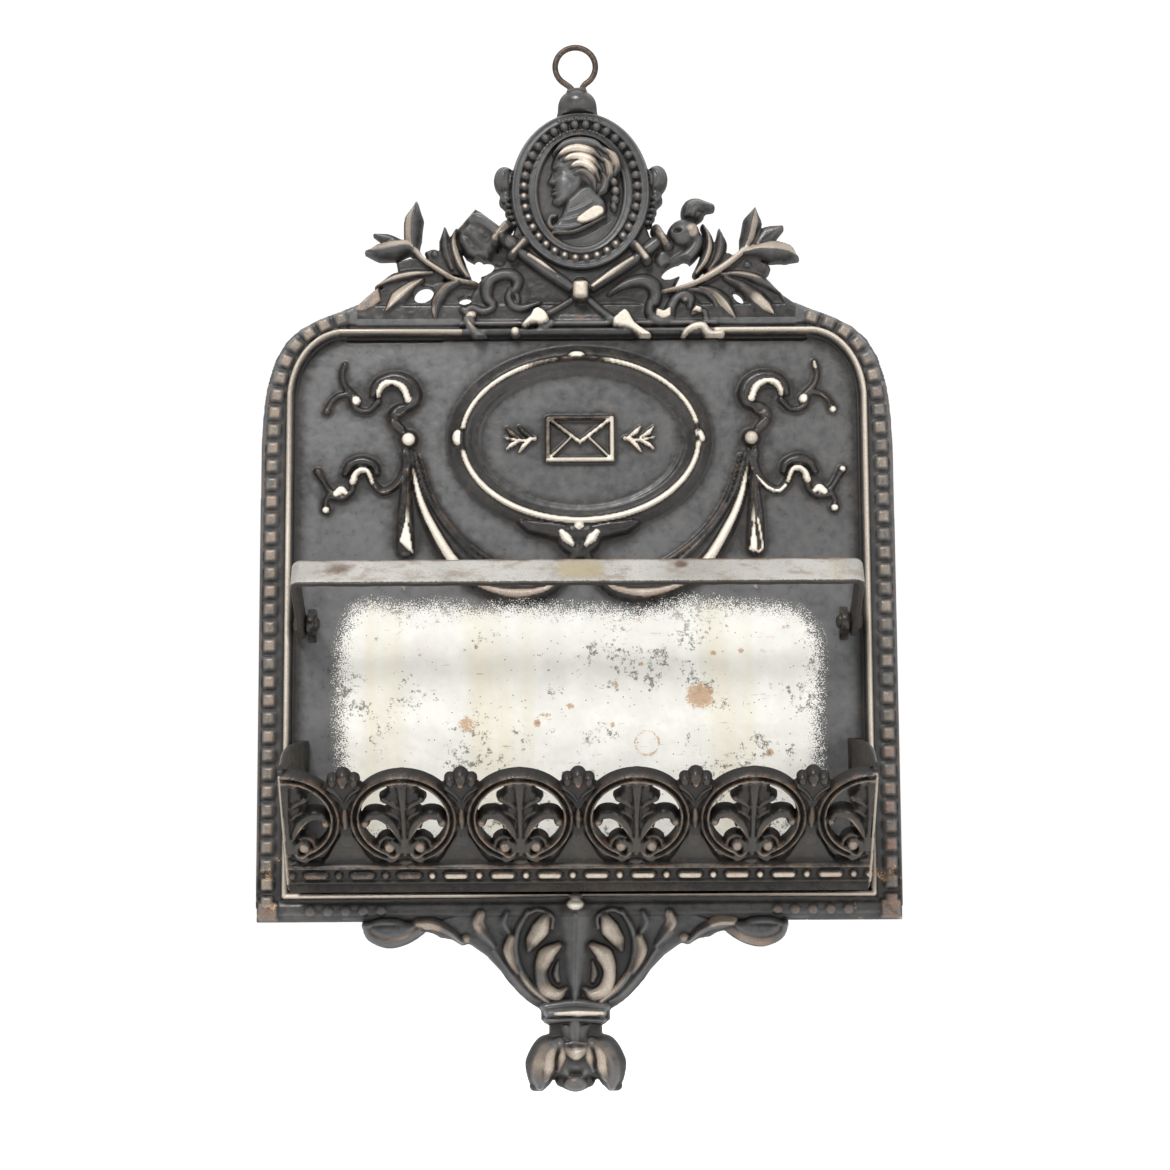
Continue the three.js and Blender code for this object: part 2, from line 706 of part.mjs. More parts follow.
const screws = {};
for (const [name, [x, z, size]] of Object.entries(screwPlaces)) {
  const under = HEAD_SINK + size.headHeight; // depth of the underside of the head
  const slot = new THREE.BoxGeometry(size.r * 0.5, 1.0 + 2 * HEAD_SINK, 2 * size.head + 2);
  slot.translate(x, 0, z);
  screws[name] = join([
    rodY(under - 0.01, 8.4, x, z, size.r),
    rodY(HEAD_SINK, under, x, z, size.head, size.r),
  ]).subtract(solid(slot));
  const clearance = join([
    rodY(-1, 8.8, x, z, size.r + 0.08),
    rodY(-1, HEAD_SINK, x, z, size.head + 0.25),
    rodY(HEAD_SINK - 0.01, under + 0.25, x, z, size.head + 0.25, size.r + 0.08),
  ]);
  backPlate = backPlate.subtract(clearance);
  gallery = gallery.subtract(clearance);
}

// ---------------------------------------------------------------- retaining bar and its rivets
// The bar is drawn level (arms straight out from the wall) and raised by its tilt about the pivot.
function barSolid() {
  const r = 3.2; // outer bend radius at the corners
  const zHalf = BAR_WIDTH / 2;
  // plan view of the U: X against distance from the pivot
  const L = BAR_LENGTH + BAR_THICK / 2;
  const s = new THREE.Shape();
  const o = BAR_HALF,
    i = BAR_HALF - BAR_THICK,
    ri = r - BAR_THICK;
  s.moveTo(-o, -zHalf);
  s.lineTo(-i, -zHalf);
  s.lineTo(-i, L - r);
  s.absarc(-i + ri, L - r, ri, Math.PI, Math.PI / 2, true);
  s.lineTo(i - ri, L - BAR_THICK);
  s.absarc(i - ri, L - r, ri, Math.PI / 2, 0, true);
  s.lineTo(i, -zHalf);
  s.lineTo(o, -zHalf);
  s.lineTo(o, L - r);
  s.absarc(o - r, L - r, r, 0, Math.PI / 2, false);
  s.lineTo(-o + r, L);
  s.absarc(-o + r, L - r, r, Math.PI / 2, Math.PI, false);
  s.closePath();
  const g = new THREE.ExtrudeGeometry(s, { depth: BAR_WIDTH, bevelEnabled: false, curveSegments: 6 });
  // shape y runs out from the wall (-Y), extrusion runs up
  g.applyMatrix4(new THREE.Matrix4().set(1, 0, 0, 0, 0, -1, 0, 0, 0, 0, -1, zHalf, 0, 0, 0, 1));
  let bar = solid(g);
  // round ends on the arms
  const ends = [];
  for (const side of [-1, 1]) {
    const e = new THREE.Shape();
    e.moveTo(0, -zHalf - 1);
    e.lineTo(0, -zHalf);
    e.absarc(0, 0, zHalf, -Math.PI / 2, Math.PI / 2, false);
    e.lineTo(0, zHalf + 1);
    e.lineTo(zHalf + 2, zHalf + 1);
    e.lineTo(zHalf + 2, -zHalf - 1);
    e.closePath();
    const eg = new THREE.ExtrudeGeometry(e, { depth: BAR_THICK + 2, bevelEnabled: false, curveSegments: 14 });
    eg.applyMatrix4(
      new THREE.Matrix4().set(0, 0, 1, side > 0 ? BAR_HALF - BAR_THICK - 1 : -BAR_HALF - 1, 1, 0, 0, 0, 0, 1, 0, 0, 0, 0, 0, 1),
    );
    ends.push(solid(eg));
    ends.push(rodX(side * (BAR_HALF - BAR_THICK - 1), side * (BAR_HALF + 1), 0, 0, HOLE_R));
  }
  bar = cut(bar, ends);
  return bar;
}

const earHoles = [
  rodX(-EAR_OUT - 1, -EAR_IN + 1, PIVOT.depth, PIVOT.z, HOLE_R),
  rodX(EAR_IN - 1, EAR_OUT + 1, PIVOT.depth, PIVOT.z, HOLE_R),
];
backPlate = cut(backPlate, earHoles);

function rivet(side) {
  const inner = EAR_IN - 0.15,
    outer = BAR_HALF + 0.15;
  const dome = (x, dir) => {
    const g = new THREE.LatheGeometry(
      [
        [0, 0],
        [3.0, 0],
        [2.8, 0.6],
        [2.1, 1.15],
        [1.0, 1.45],
        [0, 1.5],
      ].map(([r, h]) => new THREE.Vector2(r, h)),
      16,
    );
    g.rotateZ(-dir * (Math.PI / 2));
    g.translate(x, -PIVOT.depth, PIVOT.z);
    return solid(g);
  };
  const parts = [
    rodX(side * (inner - 0.2), side * (outer + 0.2), PIVOT.depth, PIVOT.z, RIVET_R),
    dome(side * inner, -side),
    dome(side * outer, side),
  ];
  return join(parts);
}

// ---------------------------------------------------------------- hanging eye
// One wire: a round loop whose two legs close and run down into the finial ball.
function eyeSolid() {
  const pts = [];
  pts.push(new THREE.Vector3(-0.2, -EYE_DEPTH, 151.5));
  pts.push(new THREE.Vector3(-0.3, -EYE_DEPTH, 157.4));
  pts.push(new THREE.Vector3(-1.3, -EYE_DEPTH, 159.9));
  for (let i = 0; i <= 14; i++) {
    const t = (-122 - (296 * i) / 14) * (Math.PI / 180);
    pts.push(new THREE.Vector3(EYE_R * Math.cos(t), -EYE_DEPTH, EYE_Z + EYE_R * Math.sin(t)));
  }
  pts.push(new THREE.Vector3(2.3, -EYE_DEPTH, 160.3));
  pts.push(new THREE.Vector3(1.95, -EYE_DEPTH, 158.4));
  const curve = new THREE.CatmullRomCurve3(pts, false, "centripetal");
  const section = new THREE.Shape();
  section.absarc(0, 0, WIRE_R, 0, 2 * Math.PI, false);
  const g = new THREE.ExtrudeGeometry(section, {
    steps: 36,
    bevelEnabled: false,
    extrudePath: curve,
    curveSegments: 4,
  });
  return solid(g);
}

const eye = eyeSolid();
// Socket for the shank, drilled in the ball, and the bearing place of the short end.
const socket = (x, z0, z1, r) => {
  const g = new THREE.CylinderGeometry(r, r, z1 - z0, 20);
  g.rotateX(Math.PI / 2);
  g.translate(x, -EYE_DEPTH, (z0 + z1) / 2);
  return solid(g);
};
backPlate = cut(backPlate, [
  socket(-0.22, 151.0, 164, WIRE_R + 0.45),
  socket(-0.6, 157.0, 164, WIRE_R + 0.9),
  socket(1.95, 157.4, 164, WIRE_R + 0.75),
]);

// ---------------------------------------------------------------- the assembly
const JAPAN = { color: 0x1c1b1a, roughness: 0.5, metalness: 0.6 };
const STRIP = { color: 0x8d8880, roughness: 0.45, metalness: 0.9 };
const RIVET = { color: 0x3a3836, roughness: 0.5, metalness: 0.8 };
const WIRE = { color: 0x33302e, roughness: 0.5, metalness: 0.8 };
const STEEL = { color: 0x6f6b66, roughness: 0.45, metalness: 0.9 };

const assembly = new THREE.Group();

function piece(name, manifold, look, parent = assembly) {
  const mesh = new THREE.Mesh(geometryOf(manifold), new THREE.MeshStandardMaterial(look));
  mesh.name = name;
  parent.add(mesh);
  return mesh;
}

piece("back_plate", backPlate, JAPAN);
piece("gallery", gallery, JAPAN);

const swing = new THREE.Group();
swing.position.set(0, -PIVOT.depth, PIVOT.z);
swing.rotation.x = -BAR_TILT;
assembly.add(swing);
piece("retaining_bar", barSolid(), STRIP, swing);

piece("bar_rivet_left", rivet(-1), RIVET);
piece("bar_rivet_right", rivet(1), RIVET);
piece("hanging_eye", eye, WIRE);
for (const [name, s] of Object.entries(screws)) piece(name, s, STEEL);

export default assembly;
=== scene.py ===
"""A cast-iron wall letter holder: the looks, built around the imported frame. Heights, outlines and wear are drawn in
code, feature by feature, and turned into closed meshes."""

import math

import bmesh
import bpy
import numpy as np
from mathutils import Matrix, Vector


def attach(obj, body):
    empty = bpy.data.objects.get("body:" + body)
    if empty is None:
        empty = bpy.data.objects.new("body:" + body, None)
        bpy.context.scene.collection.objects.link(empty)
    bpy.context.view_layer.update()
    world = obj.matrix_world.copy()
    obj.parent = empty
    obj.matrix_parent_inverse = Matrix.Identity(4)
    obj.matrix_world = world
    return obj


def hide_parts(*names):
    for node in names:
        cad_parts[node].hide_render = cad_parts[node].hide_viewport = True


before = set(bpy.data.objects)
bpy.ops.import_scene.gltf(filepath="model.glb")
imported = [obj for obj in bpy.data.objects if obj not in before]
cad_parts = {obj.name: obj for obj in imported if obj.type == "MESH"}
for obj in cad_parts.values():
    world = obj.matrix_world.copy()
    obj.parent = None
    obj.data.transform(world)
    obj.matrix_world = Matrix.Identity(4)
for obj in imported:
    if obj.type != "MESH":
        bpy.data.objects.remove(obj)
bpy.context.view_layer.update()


# ---------------------------------------------------------------- relief drawing, in millimetres on the plane of the plate
# X to the right, Z up; a height is the depth in front of the wall face.


def gauss(a, sigma):
    """Gaussian blur of a 2-D array, sigma in cells, edges repeated."""
    if sigma < 0.25:
        return a.copy()
    n = int(math.ceil(3 * sigma))
    k = np.exp(-0.5 * (np.arange(-n, n + 1) / sigma) ** 2)
    k /= k.sum()
    out = a.astype(np.float32)
    for axis in (0, 1):
        pad = [(0, 0), (0, 0)]
        pad[axis] = (n, n)
        p = np.pad(out, pad, mode="edge")
        acc = np.zeros_like(out)
        size = out.shape[axis]
        for i, w in enumerate(k):
            acc += w * (p[i : i + size] if axis == 0 else p[:, i : i + size])
        out = acc
    return out


def big_gauss(a, sigma):
    """A wide blur, done on a coarser copy of the array."""
    f = max(1, int(sigma / 3))
    if f == 1:
        return gauss(a, sigma)
    nz, nx = a.shape
    pz, px = (-nz) % f, (-nx) % f
    p = np.pad(a, ((0, pz), (0, px)), mode="edge")
    s = p.reshape(p.shape[0] // f, f, p.shape[1] // f, f).mean((1, 3))
    s = gauss(s, sigma / f)
    zi = np.clip((np.arange(nz) + 0.5) / f - 0.5, 0, s.shape[0] - 1.001)
    xi = np.clip((np.arange(nx) + 0.5) / f - 0.5, 0, s.shape[1] - 1.001)
    z0, x0 = zi.astype(int), xi.astype(int)
    fz, fx = (zi - z0)[:, None], (xi - x0)[None, :]
    z1, x1 = np.minimum(z0 + 1, s.shape[0] - 1), np.minimum(x0 + 1, s.shape[1] - 1)
    top = s[z0][:, x0] * (1 - fx) + s[z0][:, x1] * fx
    bot = s[z1][:, x0] * (1 - fx) + s[z1][:, x1] * fx
    return top * (1 - fz) + bot * fz


def noise2(x, z, cell, seed):
    """Smooth value noise in -1..1 over any coordinates."""
    def lattice(i, j):
        h = (i * 374761393 + j * 668265263 + seed * 974634777) & 0xFFFFFFFF
        h = ((h ^ (h >> 13)) * 1274126177) & 0xFFFFFFFF
        return ((h ^ (h >> 16)) & 0xFFFF) / 32767.5 - 1.0

    u, v = x / cell, z / cell
    i, j = np.floor(u).astype(np.int64), np.floor(v).astype(np.int64)
    fu, fv = u - i, v - j
    fu, fv = fu * fu * (3 - 2 * fu), fv * fv * (3 - 2 * fv)
    a, b = lattice(i, j), lattice(i + 1, j)
    c, d = lattice(i, j + 1), lattice(i + 1, j + 1)
    return (a * (1 - fu) + b * fu) * (1 - fv) + (c * (1 - fu) + d * fu) * fv


def sm(a, b, x):
    """Smooth step from a to b."""
    t = np.clip((x - a) / (b - a), 0.0, 1.0)
    return t * t * (3 - 2 * t)


def smax(a, b, k):
    return np.maximum(a, b) + np.maximum(k - np.abs(a - b), 0.0) ** 2 / (4 * k)


def curve(pts, n=6):
    """Rounded line through the points; further columns are carried along in a straight line."""
    p = np.array(pts, float)
    if len(p) < 3 or n == 1:
        if n == 1:
            return p
        t = np.linspace(0, 1, n * (len(p) - 1) + 1)
        k = np.linspace(0, 1, len(p))
        return np.stack([np.interp(t, k, p[:, c]) for c in range(p.shape[1])], 1)
    t = np.concatenate([[0], np.cumsum(np.hypot(*np.diff(p[:, :2], axis=0).T) ** 0.5 + 1e-9)])
    m = np.zeros((len(p), 2))
    m[1:-1] = (p[2:, :2] - p[:-2, :2]) / (t[2:] - t[:-2])[:, None]
    m[0] = (p[1, :2] - p[0, :2]) / (t[1] - t[0])
    m[-1] = (p[-1, :2] - p[-2, :2]) / (t[-1] - t[-2])
    out = []
    for i in range(len(p) - 1):
        d = t[i + 1] - t[i]
        s = np.linspace(0, 1, n, endpoint=False)[:, None]
        h00, h10 = 2 * s**3 - 3 * s**2 + 1, s**3 - 2 * s**2 + s
        h01, h11 = -2 * s**3 + 3 * s**2, s**3 - s**2
        q = h00 * p[i, :2] + h10 * d * m[i] + h01 * p[i + 1, :2] + h11 * d * m[i + 1]
        rest = p[i, 2:] * (1 - s) + p[i + 1, 2:] * s
        out.append(np.hstack([q, rest]))
    out.append(p[-1:])
    return np.vstack(out)


def along(pts, *cols):
    """Adds columns to a line of points; each is a number or a list of (position 0..1, value)."""
    p = [tuple(q[:2]) for q in pts]
    a = np.array(p, float)
    d = np.concatenate([[0], np.cumsum(np.hypot(*np.diff(a, axis=0).T))])
    d /= max(d[-1], 1e-9)
    extra = []
    for c in cols:
        if isinstance(c, (int, float)):
            extra.append(np.full(len(a), float(c)))
        else:
            extra.append(np.interp(d, [k[0] for k in c], [k[1] for k in c]))
    return np.hstack([a, np.array(extra).T])


# Cross sections: 1 on the middle line of a stroke, 0 at its edge.
def p_round(u, s, t):
    return np.sqrt(np.clip(1 - u * u, 0, 1))


def p_dome(u, s, t):
    return np.clip(1 - u * u, 0, 1)


def p_keel(u, s, t):
    return np.clip(1 - 0.62 * u - 0.38 * u * u, 0, 1)


def p_flat(u, s, t):
    return sm(0, 0.42, 1 - u)


def p_soft(u, s, t):
    return sm(0, 0.8, 1 - u)


def p_sharp(u, s, t):
    return np.clip(1 - u, 0, 1) ** 0.85


def p_gutter(u, s, t):
    """A band with two raised edges and a hollow between them."""
    return np.where(u < 0.62, 0.55 + 0.45 * (u / 0.62) ** 2, np.sqrt(np.clip(1 - ((u - 0.62) / 0.38) ** 2, 0, 1)))


def p_leaf(u, s, t):
    """A leaf blade: crowned, with a raised rib in the middle."""
    f = 0.78 * np.clip(1 - u**2.4, 0, 1) + 0.0
    return f + 0.22 * np.exp(-((u / 0.2) ** 2))


def p_valley(u, s, t):
    """A leaf blade folded along its middle: two crowned halves and a crease."""
    return np.clip(1 - ((u - 0.48) / 0.52) ** 2, 0, 1) * np.where(u > 0.48, 1.0, 1.0) * 1.0 - 0.0 * u


def p_halfl(u, s, t):
    """Crowned, with its high line on the left of its direction."""
    v = np.clip(u * s, -1, 1)
    return np.where(v > 0.35, np.sqrt(np.clip(1 - ((v - 0.35) / 0.65) ** 2, 0, 1)), np.clip(1 - ((0.35 - v) / 1.35) ** 1.6, 0, 1))


def p_halfr(u, s, t):
    return p_halfl(u, -s, t)


class Relief:
    """A height map with its outline, its worn spots and its tint, over a rectangle of the plate's plane."""

    def __init__(self, x0, x1, z0, z1, step, ground=0.0, inside=-50.0):
        self.step = step
        self.xs = np.arange(x0, x1 + step * 0.5, step)
        self.zs = np.arange(z0, z1 + step * 0.5, step)
        shape = (len(self.zs), len(self.xs))
        self.H = np.full(shape, float(ground), np.float32)
        self.S = np.full(shape, float(inside), np.float32)
        self.W = np.zeros(shape, np.float32)
        self.T = np.zeros(shape, np.float32)
        self.dust_and_sheen = np.zeros(shape, np.float32)

    def win(self, xa, xb, za, zb):
        i0 = max(0, int(math.floor((xa - self.xs[0]) / self.step)))
        i1 = min(len(self.xs), int(math.ceil((xb - self.xs[0]) / self.step)) + 1)
        j0 = max(0, int(math.floor((za - self.zs[0]) / self.step)))
        j1 = min(len(self.zs), int(math.ceil((zb - self.zs[0]) / self.step)) + 1)
        if i1 - i0 < 1 or j1 - j0 < 1:
            return None
        sl = (slice(j0, j1), slice(i0, i1))
        return sl, self.xs[i0:i1][None, :], self.zs[j0:j1][:, None]

    def put(self, sl, h, s, f, shine, tint, k, sil, ks, mode, wu, wmap=None):
        """Lays one shape over the map. h is its height, s its signed distance (inside positive), f its cross section."""
        H, inside = self.H[sl], s > 0
        if mode == "cut":
            new = np.where(inside, np.minimum(H, h), H)
            if k > 0:
                new = np.where(inside, -smax(-H, -h, k), H)
        elif mode == "add":
            new = np.where(inside, H + h, H)
        elif mode == "paint":
            new = H
        else:
            new = np.where(inside, smax(H, h, k) if k > 0 else np.maximum(H, h), H)
        if shine is not None:
            top = inside & ((h > H - 0.02) if mode == "max" else True)
            w = shine * sm(wu[0], wu[1], f) if wmap is None else wmap
            if mode == "paint":
                self.W[sl] = np.where(top, np.maximum(self.W[sl], w) if np.max(shine) > 0 else self.W[sl] * (1 - sm(0, 0.6, f)), self.W[sl])
            else:
                blend = sm(-0.1, 0.35, h - H)
                self.W[sl] = np.where(top, self.W[sl] * (1 - blend) + w * blend, self.W[sl])
            if tint is not None:
                self.T[sl] = np.where(top, tint, self.T[sl])
        self.H[sl] = new
        if sil:
            self.S[sl] = smax(self.S[sl], s, ks)

    def stroke(self, pts, h, base=None, prof=p_round, w=None, n=5, shine=0.0, tint=None, k=0.5, sil=False, ks=0.9,
               mode="max", wu=(0.55, 0.8), wcut=None):
        """A band along a line. pts: (x, z) or (x, z, half width[, height]); h and w: numbers or (position, value) lists."""
        p = np.array(pts, float)
        if p.shape[1] < 4:
            if p.shape[1] == 2:
                p = along(pts, w if w is not None else 1.0, h)
            else:
                q = along(pts, h)
                p = np.hstack([p[:, :3], q[:, 2:3]])
        c = curve(p, n)
        base = self_base(base)
        pad = 1.6
        wmax = c[:, 2].max()
        got = self.win(c[:, 0].min() - wmax - pad, c[:, 0].max() + wmax + pad, c[:, 1].min() - wmax - pad, c[:, 1].max() + wmax + pad)
        if got is None:
            return
        sl, X, Z = got
        shape = (Z.shape[0], X.shape[1])
        U = np.full(shape, 9.0)
        T = np.zeros(shape)
        HH = np.zeros(shape)
        SD = np.ones(shape)
        DD = np.full(shape, -9.0)
        x0, z0, st = self.xs[sl[1].start], self.zs[sl[0].start], self.step
        seg = np.hypot(*np.diff(c[:, :2], axis=0).T)
        dist_at = np.concatenate([[0], np.cumsum(seg)])
        total = max(dist_at[-1], 1e-9)
        for a in range(len(c) - 1):
            ax, az, aw, ah = c[a, :4]
            bx, bz, bw, bh = c[a + 1, :4]
            r = max(aw, bw) + pad
            i0 = max(0, int((min(ax, bx) - r - x0) / st))
            i1 = min(shape[1], int((max(ax, bx) + r - x0) / st) + 2)
            j0 = max(0, int((min(az, bz) - r - z0) / st))
            j1 = min(shape[0], int((max(az, bz) + r - z0) / st) + 2)
            if i1 <= i0 or j1 <= j0:
                continue
            dx, dz = bx - ax, bz - az
            L2 = dx * dx + dz * dz + 1e-12
            px, pz = X[:, i0:i1] - ax, Z[j0:j1] - az
            tt = np.clip((px * dx + pz * dz) / L2, 0, 1)
            d = np.hypot(px - tt * dx, pz - tt * dz)
            wi = np.maximum(aw + (bw - aw) * tt, 0.05)
            u = d / wi
            sd = wi - d
            sub = (slice(j0, j1), slice(i0, i1))
            better = u < U[sub]
            U[sub] = np.where(better, u, U[sub])
            T[sub] = np.where(better, (dist_at[a] + seg[a] * tt) / total, T[sub])
            HH[sub] = np.where(better, ah + (bh - ah) * tt, HH[sub])
            SD[sub] = np.where(better, np.where(dx * pz - dz * px >= 0, 1.0, -1.0), SD[sub])
            DD[sub] = np.maximum(DD[sub], sd)
        f = prof(np.minimum(U, 1.0), SD, T)
        b = base if base is not None else 3.0
        hh = HH * f if mode == "add" else b + (HH - b) * f
        sh = shine
        if isinstance(shine, (list, tuple)):
            sh = np.interp(T, [q[0] for q in shine], [q[1] for q in shine])
        wmap = None
        if wcut is not None:
            # worn only on one side of the middle line: wcut is (from, to) in signed cross position
            v = np.clip(U * SD, -1.5, 1.5)
            wmap = sh * sm(wcut[0] - 0.12, wcut[0] + 0.12, v) * (1 - sm(wcut[1] - 0.12, wcut[1] + 0.12, v))
        self.put(sl, hh, DD, f, sh, tint, k, sil, ks, mode, wu, wmap)

    def oval(self, x, z, a, b, h, base=3.0, prof=p_round, rot=0.0, shine=0.0, tint=None, k=0.5, sil=False, ks=0.9,
             mode="max", wu=(0.55, 0.8)):
        r = max(a, b) + 1.6
        got = self.win(x - r, x + r, z - r, z + r)
        if got is None:
            return
        sl, X, Z = got
        c, s = math.cos(math.radians(rot)), math.sin(math.radians(rot))
        p, q = (X - x) * c + (Z - z) * s, -(X - x) * s + (Z - z) * c
        u = np.hypot(p / a, q / b)
        g = np.hypot(p / (a * a), q / (b * b)) + 1e-9
        sd = np.where(u > 1e-6, (1 - u) * u / g, min(a, b))
        sd = np.clip(sd, -9, min(a, b))
        f = prof(np.minimum(u, 1.0), np.ones_like(u), u * 0)
        hh = h * f if mode == "add" else base + (h - base) * f
        self.put(sl, hh, sd, f, shine, tint, k, sil, ks, mode, wu)

    def poly(self, pts, h, base=3.0, bevel=0.8, shine=0.0, tint=None, k=0.4, sil=False, ks=0.9, mode="max",
             wu=(0.55, 0.8), n=1, soft=p_flat):
        p = curve(list(pts) + [pts[0]], n)[:-1, :2] if n > 1 else np.array(pts, float)[:, :2]
        got = self.win(p[:, 0].min() - 1.6, p[:, 0].max() + 1.6, p[:, 1].min() - 1.6, p[:, 1].max() + 1.6)
        if got is None:
            return
        sl, X, Z = got
        sd = poly_distance(p, X, Z)
        u = 1 - np.clip(sd / bevel, 0, 1)
        f = soft(u, u, u)
        hh = h * f if mode == "add" else base + (h - base) * f
        self.put(sl, hh, sd, f, shine, tint, k, sil, ks, mode, wu)

    def hole(self, x, z, a, b, rot=0.0):
        r = max(a, b) + 1.6
        got = self.win(x - r, x + r, z - r, z + r)
        if got is None:
            return
        sl, X, Z = got
        c, s = math.cos(math.radians(rot)), math.sin(math.radians(rot))
        p, q = (X - x) * c + (Z - z) * s, -(X - x) * s + (Z - z) * c
        u = np.hypot(p / a, q / b)
        g = np.hypot(p / (a * a), q / (b * b)) + 1e-9
        sd = np.clip(np.where(u > 1e-6, (1 - u) * u / g, min(a, b)), -9, min(a, b))
        self.S[sl] = np.minimum(self.S[sl], -sd)

    def at(self, field, x, z):
        """The field at any points, by straight interpolation."""
        u = np.clip((x - self.xs[0]) / self.step, 0, len(self.xs) - 1.001)
        v = np.clip((z - self.zs[0]) / self.step, 0, len(self.zs) - 1.001)
        i, j = u.astype(int), v.astype(int)
        fu, fv = u - i, v - j
        return (field[j, i] * (1 - fu) + field[j, i + 1] * fu) * (1 - fv) + (field[j + 1, i] * (1 - fu) + field[j + 1, i + 1] * fu) * fv


def self_base(b):
    return b


def poly_distance(p, X, Z):
    """Signed distance to a closed polygon, positive inside."""
    best = np.full((Z.shape[0], X.shape[1]), 1e9)
    odd = np.zeros(best.shape, bool)
    for (ax, az), (bx, bz) in zip(p, np.roll(p, -1, 0)):
        dx, dz = bx - ax, bz - az
        L2 = dx * dx + dz * dz + 1e-12
        t = np.clip(((X - ax) * dx + (Z - az) * dz) / L2, 0, 1)
        best = np.minimum(best, (X - ax - t * dx) ** 2 + (Z - az - t * dz) ** 2)
        if abs(dz) > 1e-12:
            cross = ((az <= Z) != (bz <= Z)) & (X < ax + (Z - az) * dx / dz)
            odd ^= cross
    return np.where(odd, 1, -1) * np.sqrt(best)


def mir(pts, axis=1.0):
    return [(2 * axis - q[0],) + tuple(q[1:]) for q in pts]


# ---------------------------------------------------------------- the casting, drawn feature by feature
HALF_WIDTH, PANEL_BOTTOM = 99.5, -104.4
FIELD, BORDER, RIM = 3.0, 4.6, 7.2
RIM_X, RIM_TOP, RIM_BOTTOM = 90.4, 80.4, -96.3
SHOULDER = [(99.5, 40.0), (99.2, 50.0), (98.6, 58.0), (97.4, 65.5), (95.4, 72.0), (92.2, 77.6), (87.8, 81.8), (82.0, 84.9),
            (75.5, 87.4), (69.5, 89.9)]
BEADS = [(95.8, -99.5), (95.8, -40.0), (95.7, 20.0), (95.2, 50.0), (93.9, 63.0), (91.4, 71.6), (86.9, 78.0), (79.6, 82.6),
         (71.0, 85.6)]


def rim_line(off=0.0, n=14):
    x, top, bottom, rx, rz = RIM_X + off, RIM_TOP + off, RIM_BOTTOM - off, 17 + off, 22 + off
    right = [(x, bottom)] + [(x, z) for z in np.linspace(bottom, top - rz, 12)[1:-1]]
    for i in range(n + 1):
        t = math.pi / 2 * i / n
        right.append((x - rx + rx * math.cos(t), top - rz + rz * math.sin(t)))
    return right


def spread(pts, pitch, start=0.0):
    """Points at equal steps along a line, with their direction."""
    c = curve(pts, 24)[:, :2]
    d = np.concatenate([[0], np.cumsum(np.hypot(*np.diff(c, axis=0).T))])
    out = []
    s = start
    while s < d[-1]:
        x, z = np.interp(s, d, c[:, 0]), np.interp(s, d, c[:, 1])
        x2, z2 = np.interp(min(s + 0.2, d[-1]), d, c[:, 0]), np.interp(min(s + 0.2, d[-1]), d, c[:, 1])
        x1, z1 = np.interp(max(s - 0.2, 0), d, c[:, 0]), np.interp(max(s - 0.2, 0), d, c[:, 1])
        out.append((x, z, math.degrees(math.atan2(z2 - z1, x2 - x1))))
        s += pitch
    return out


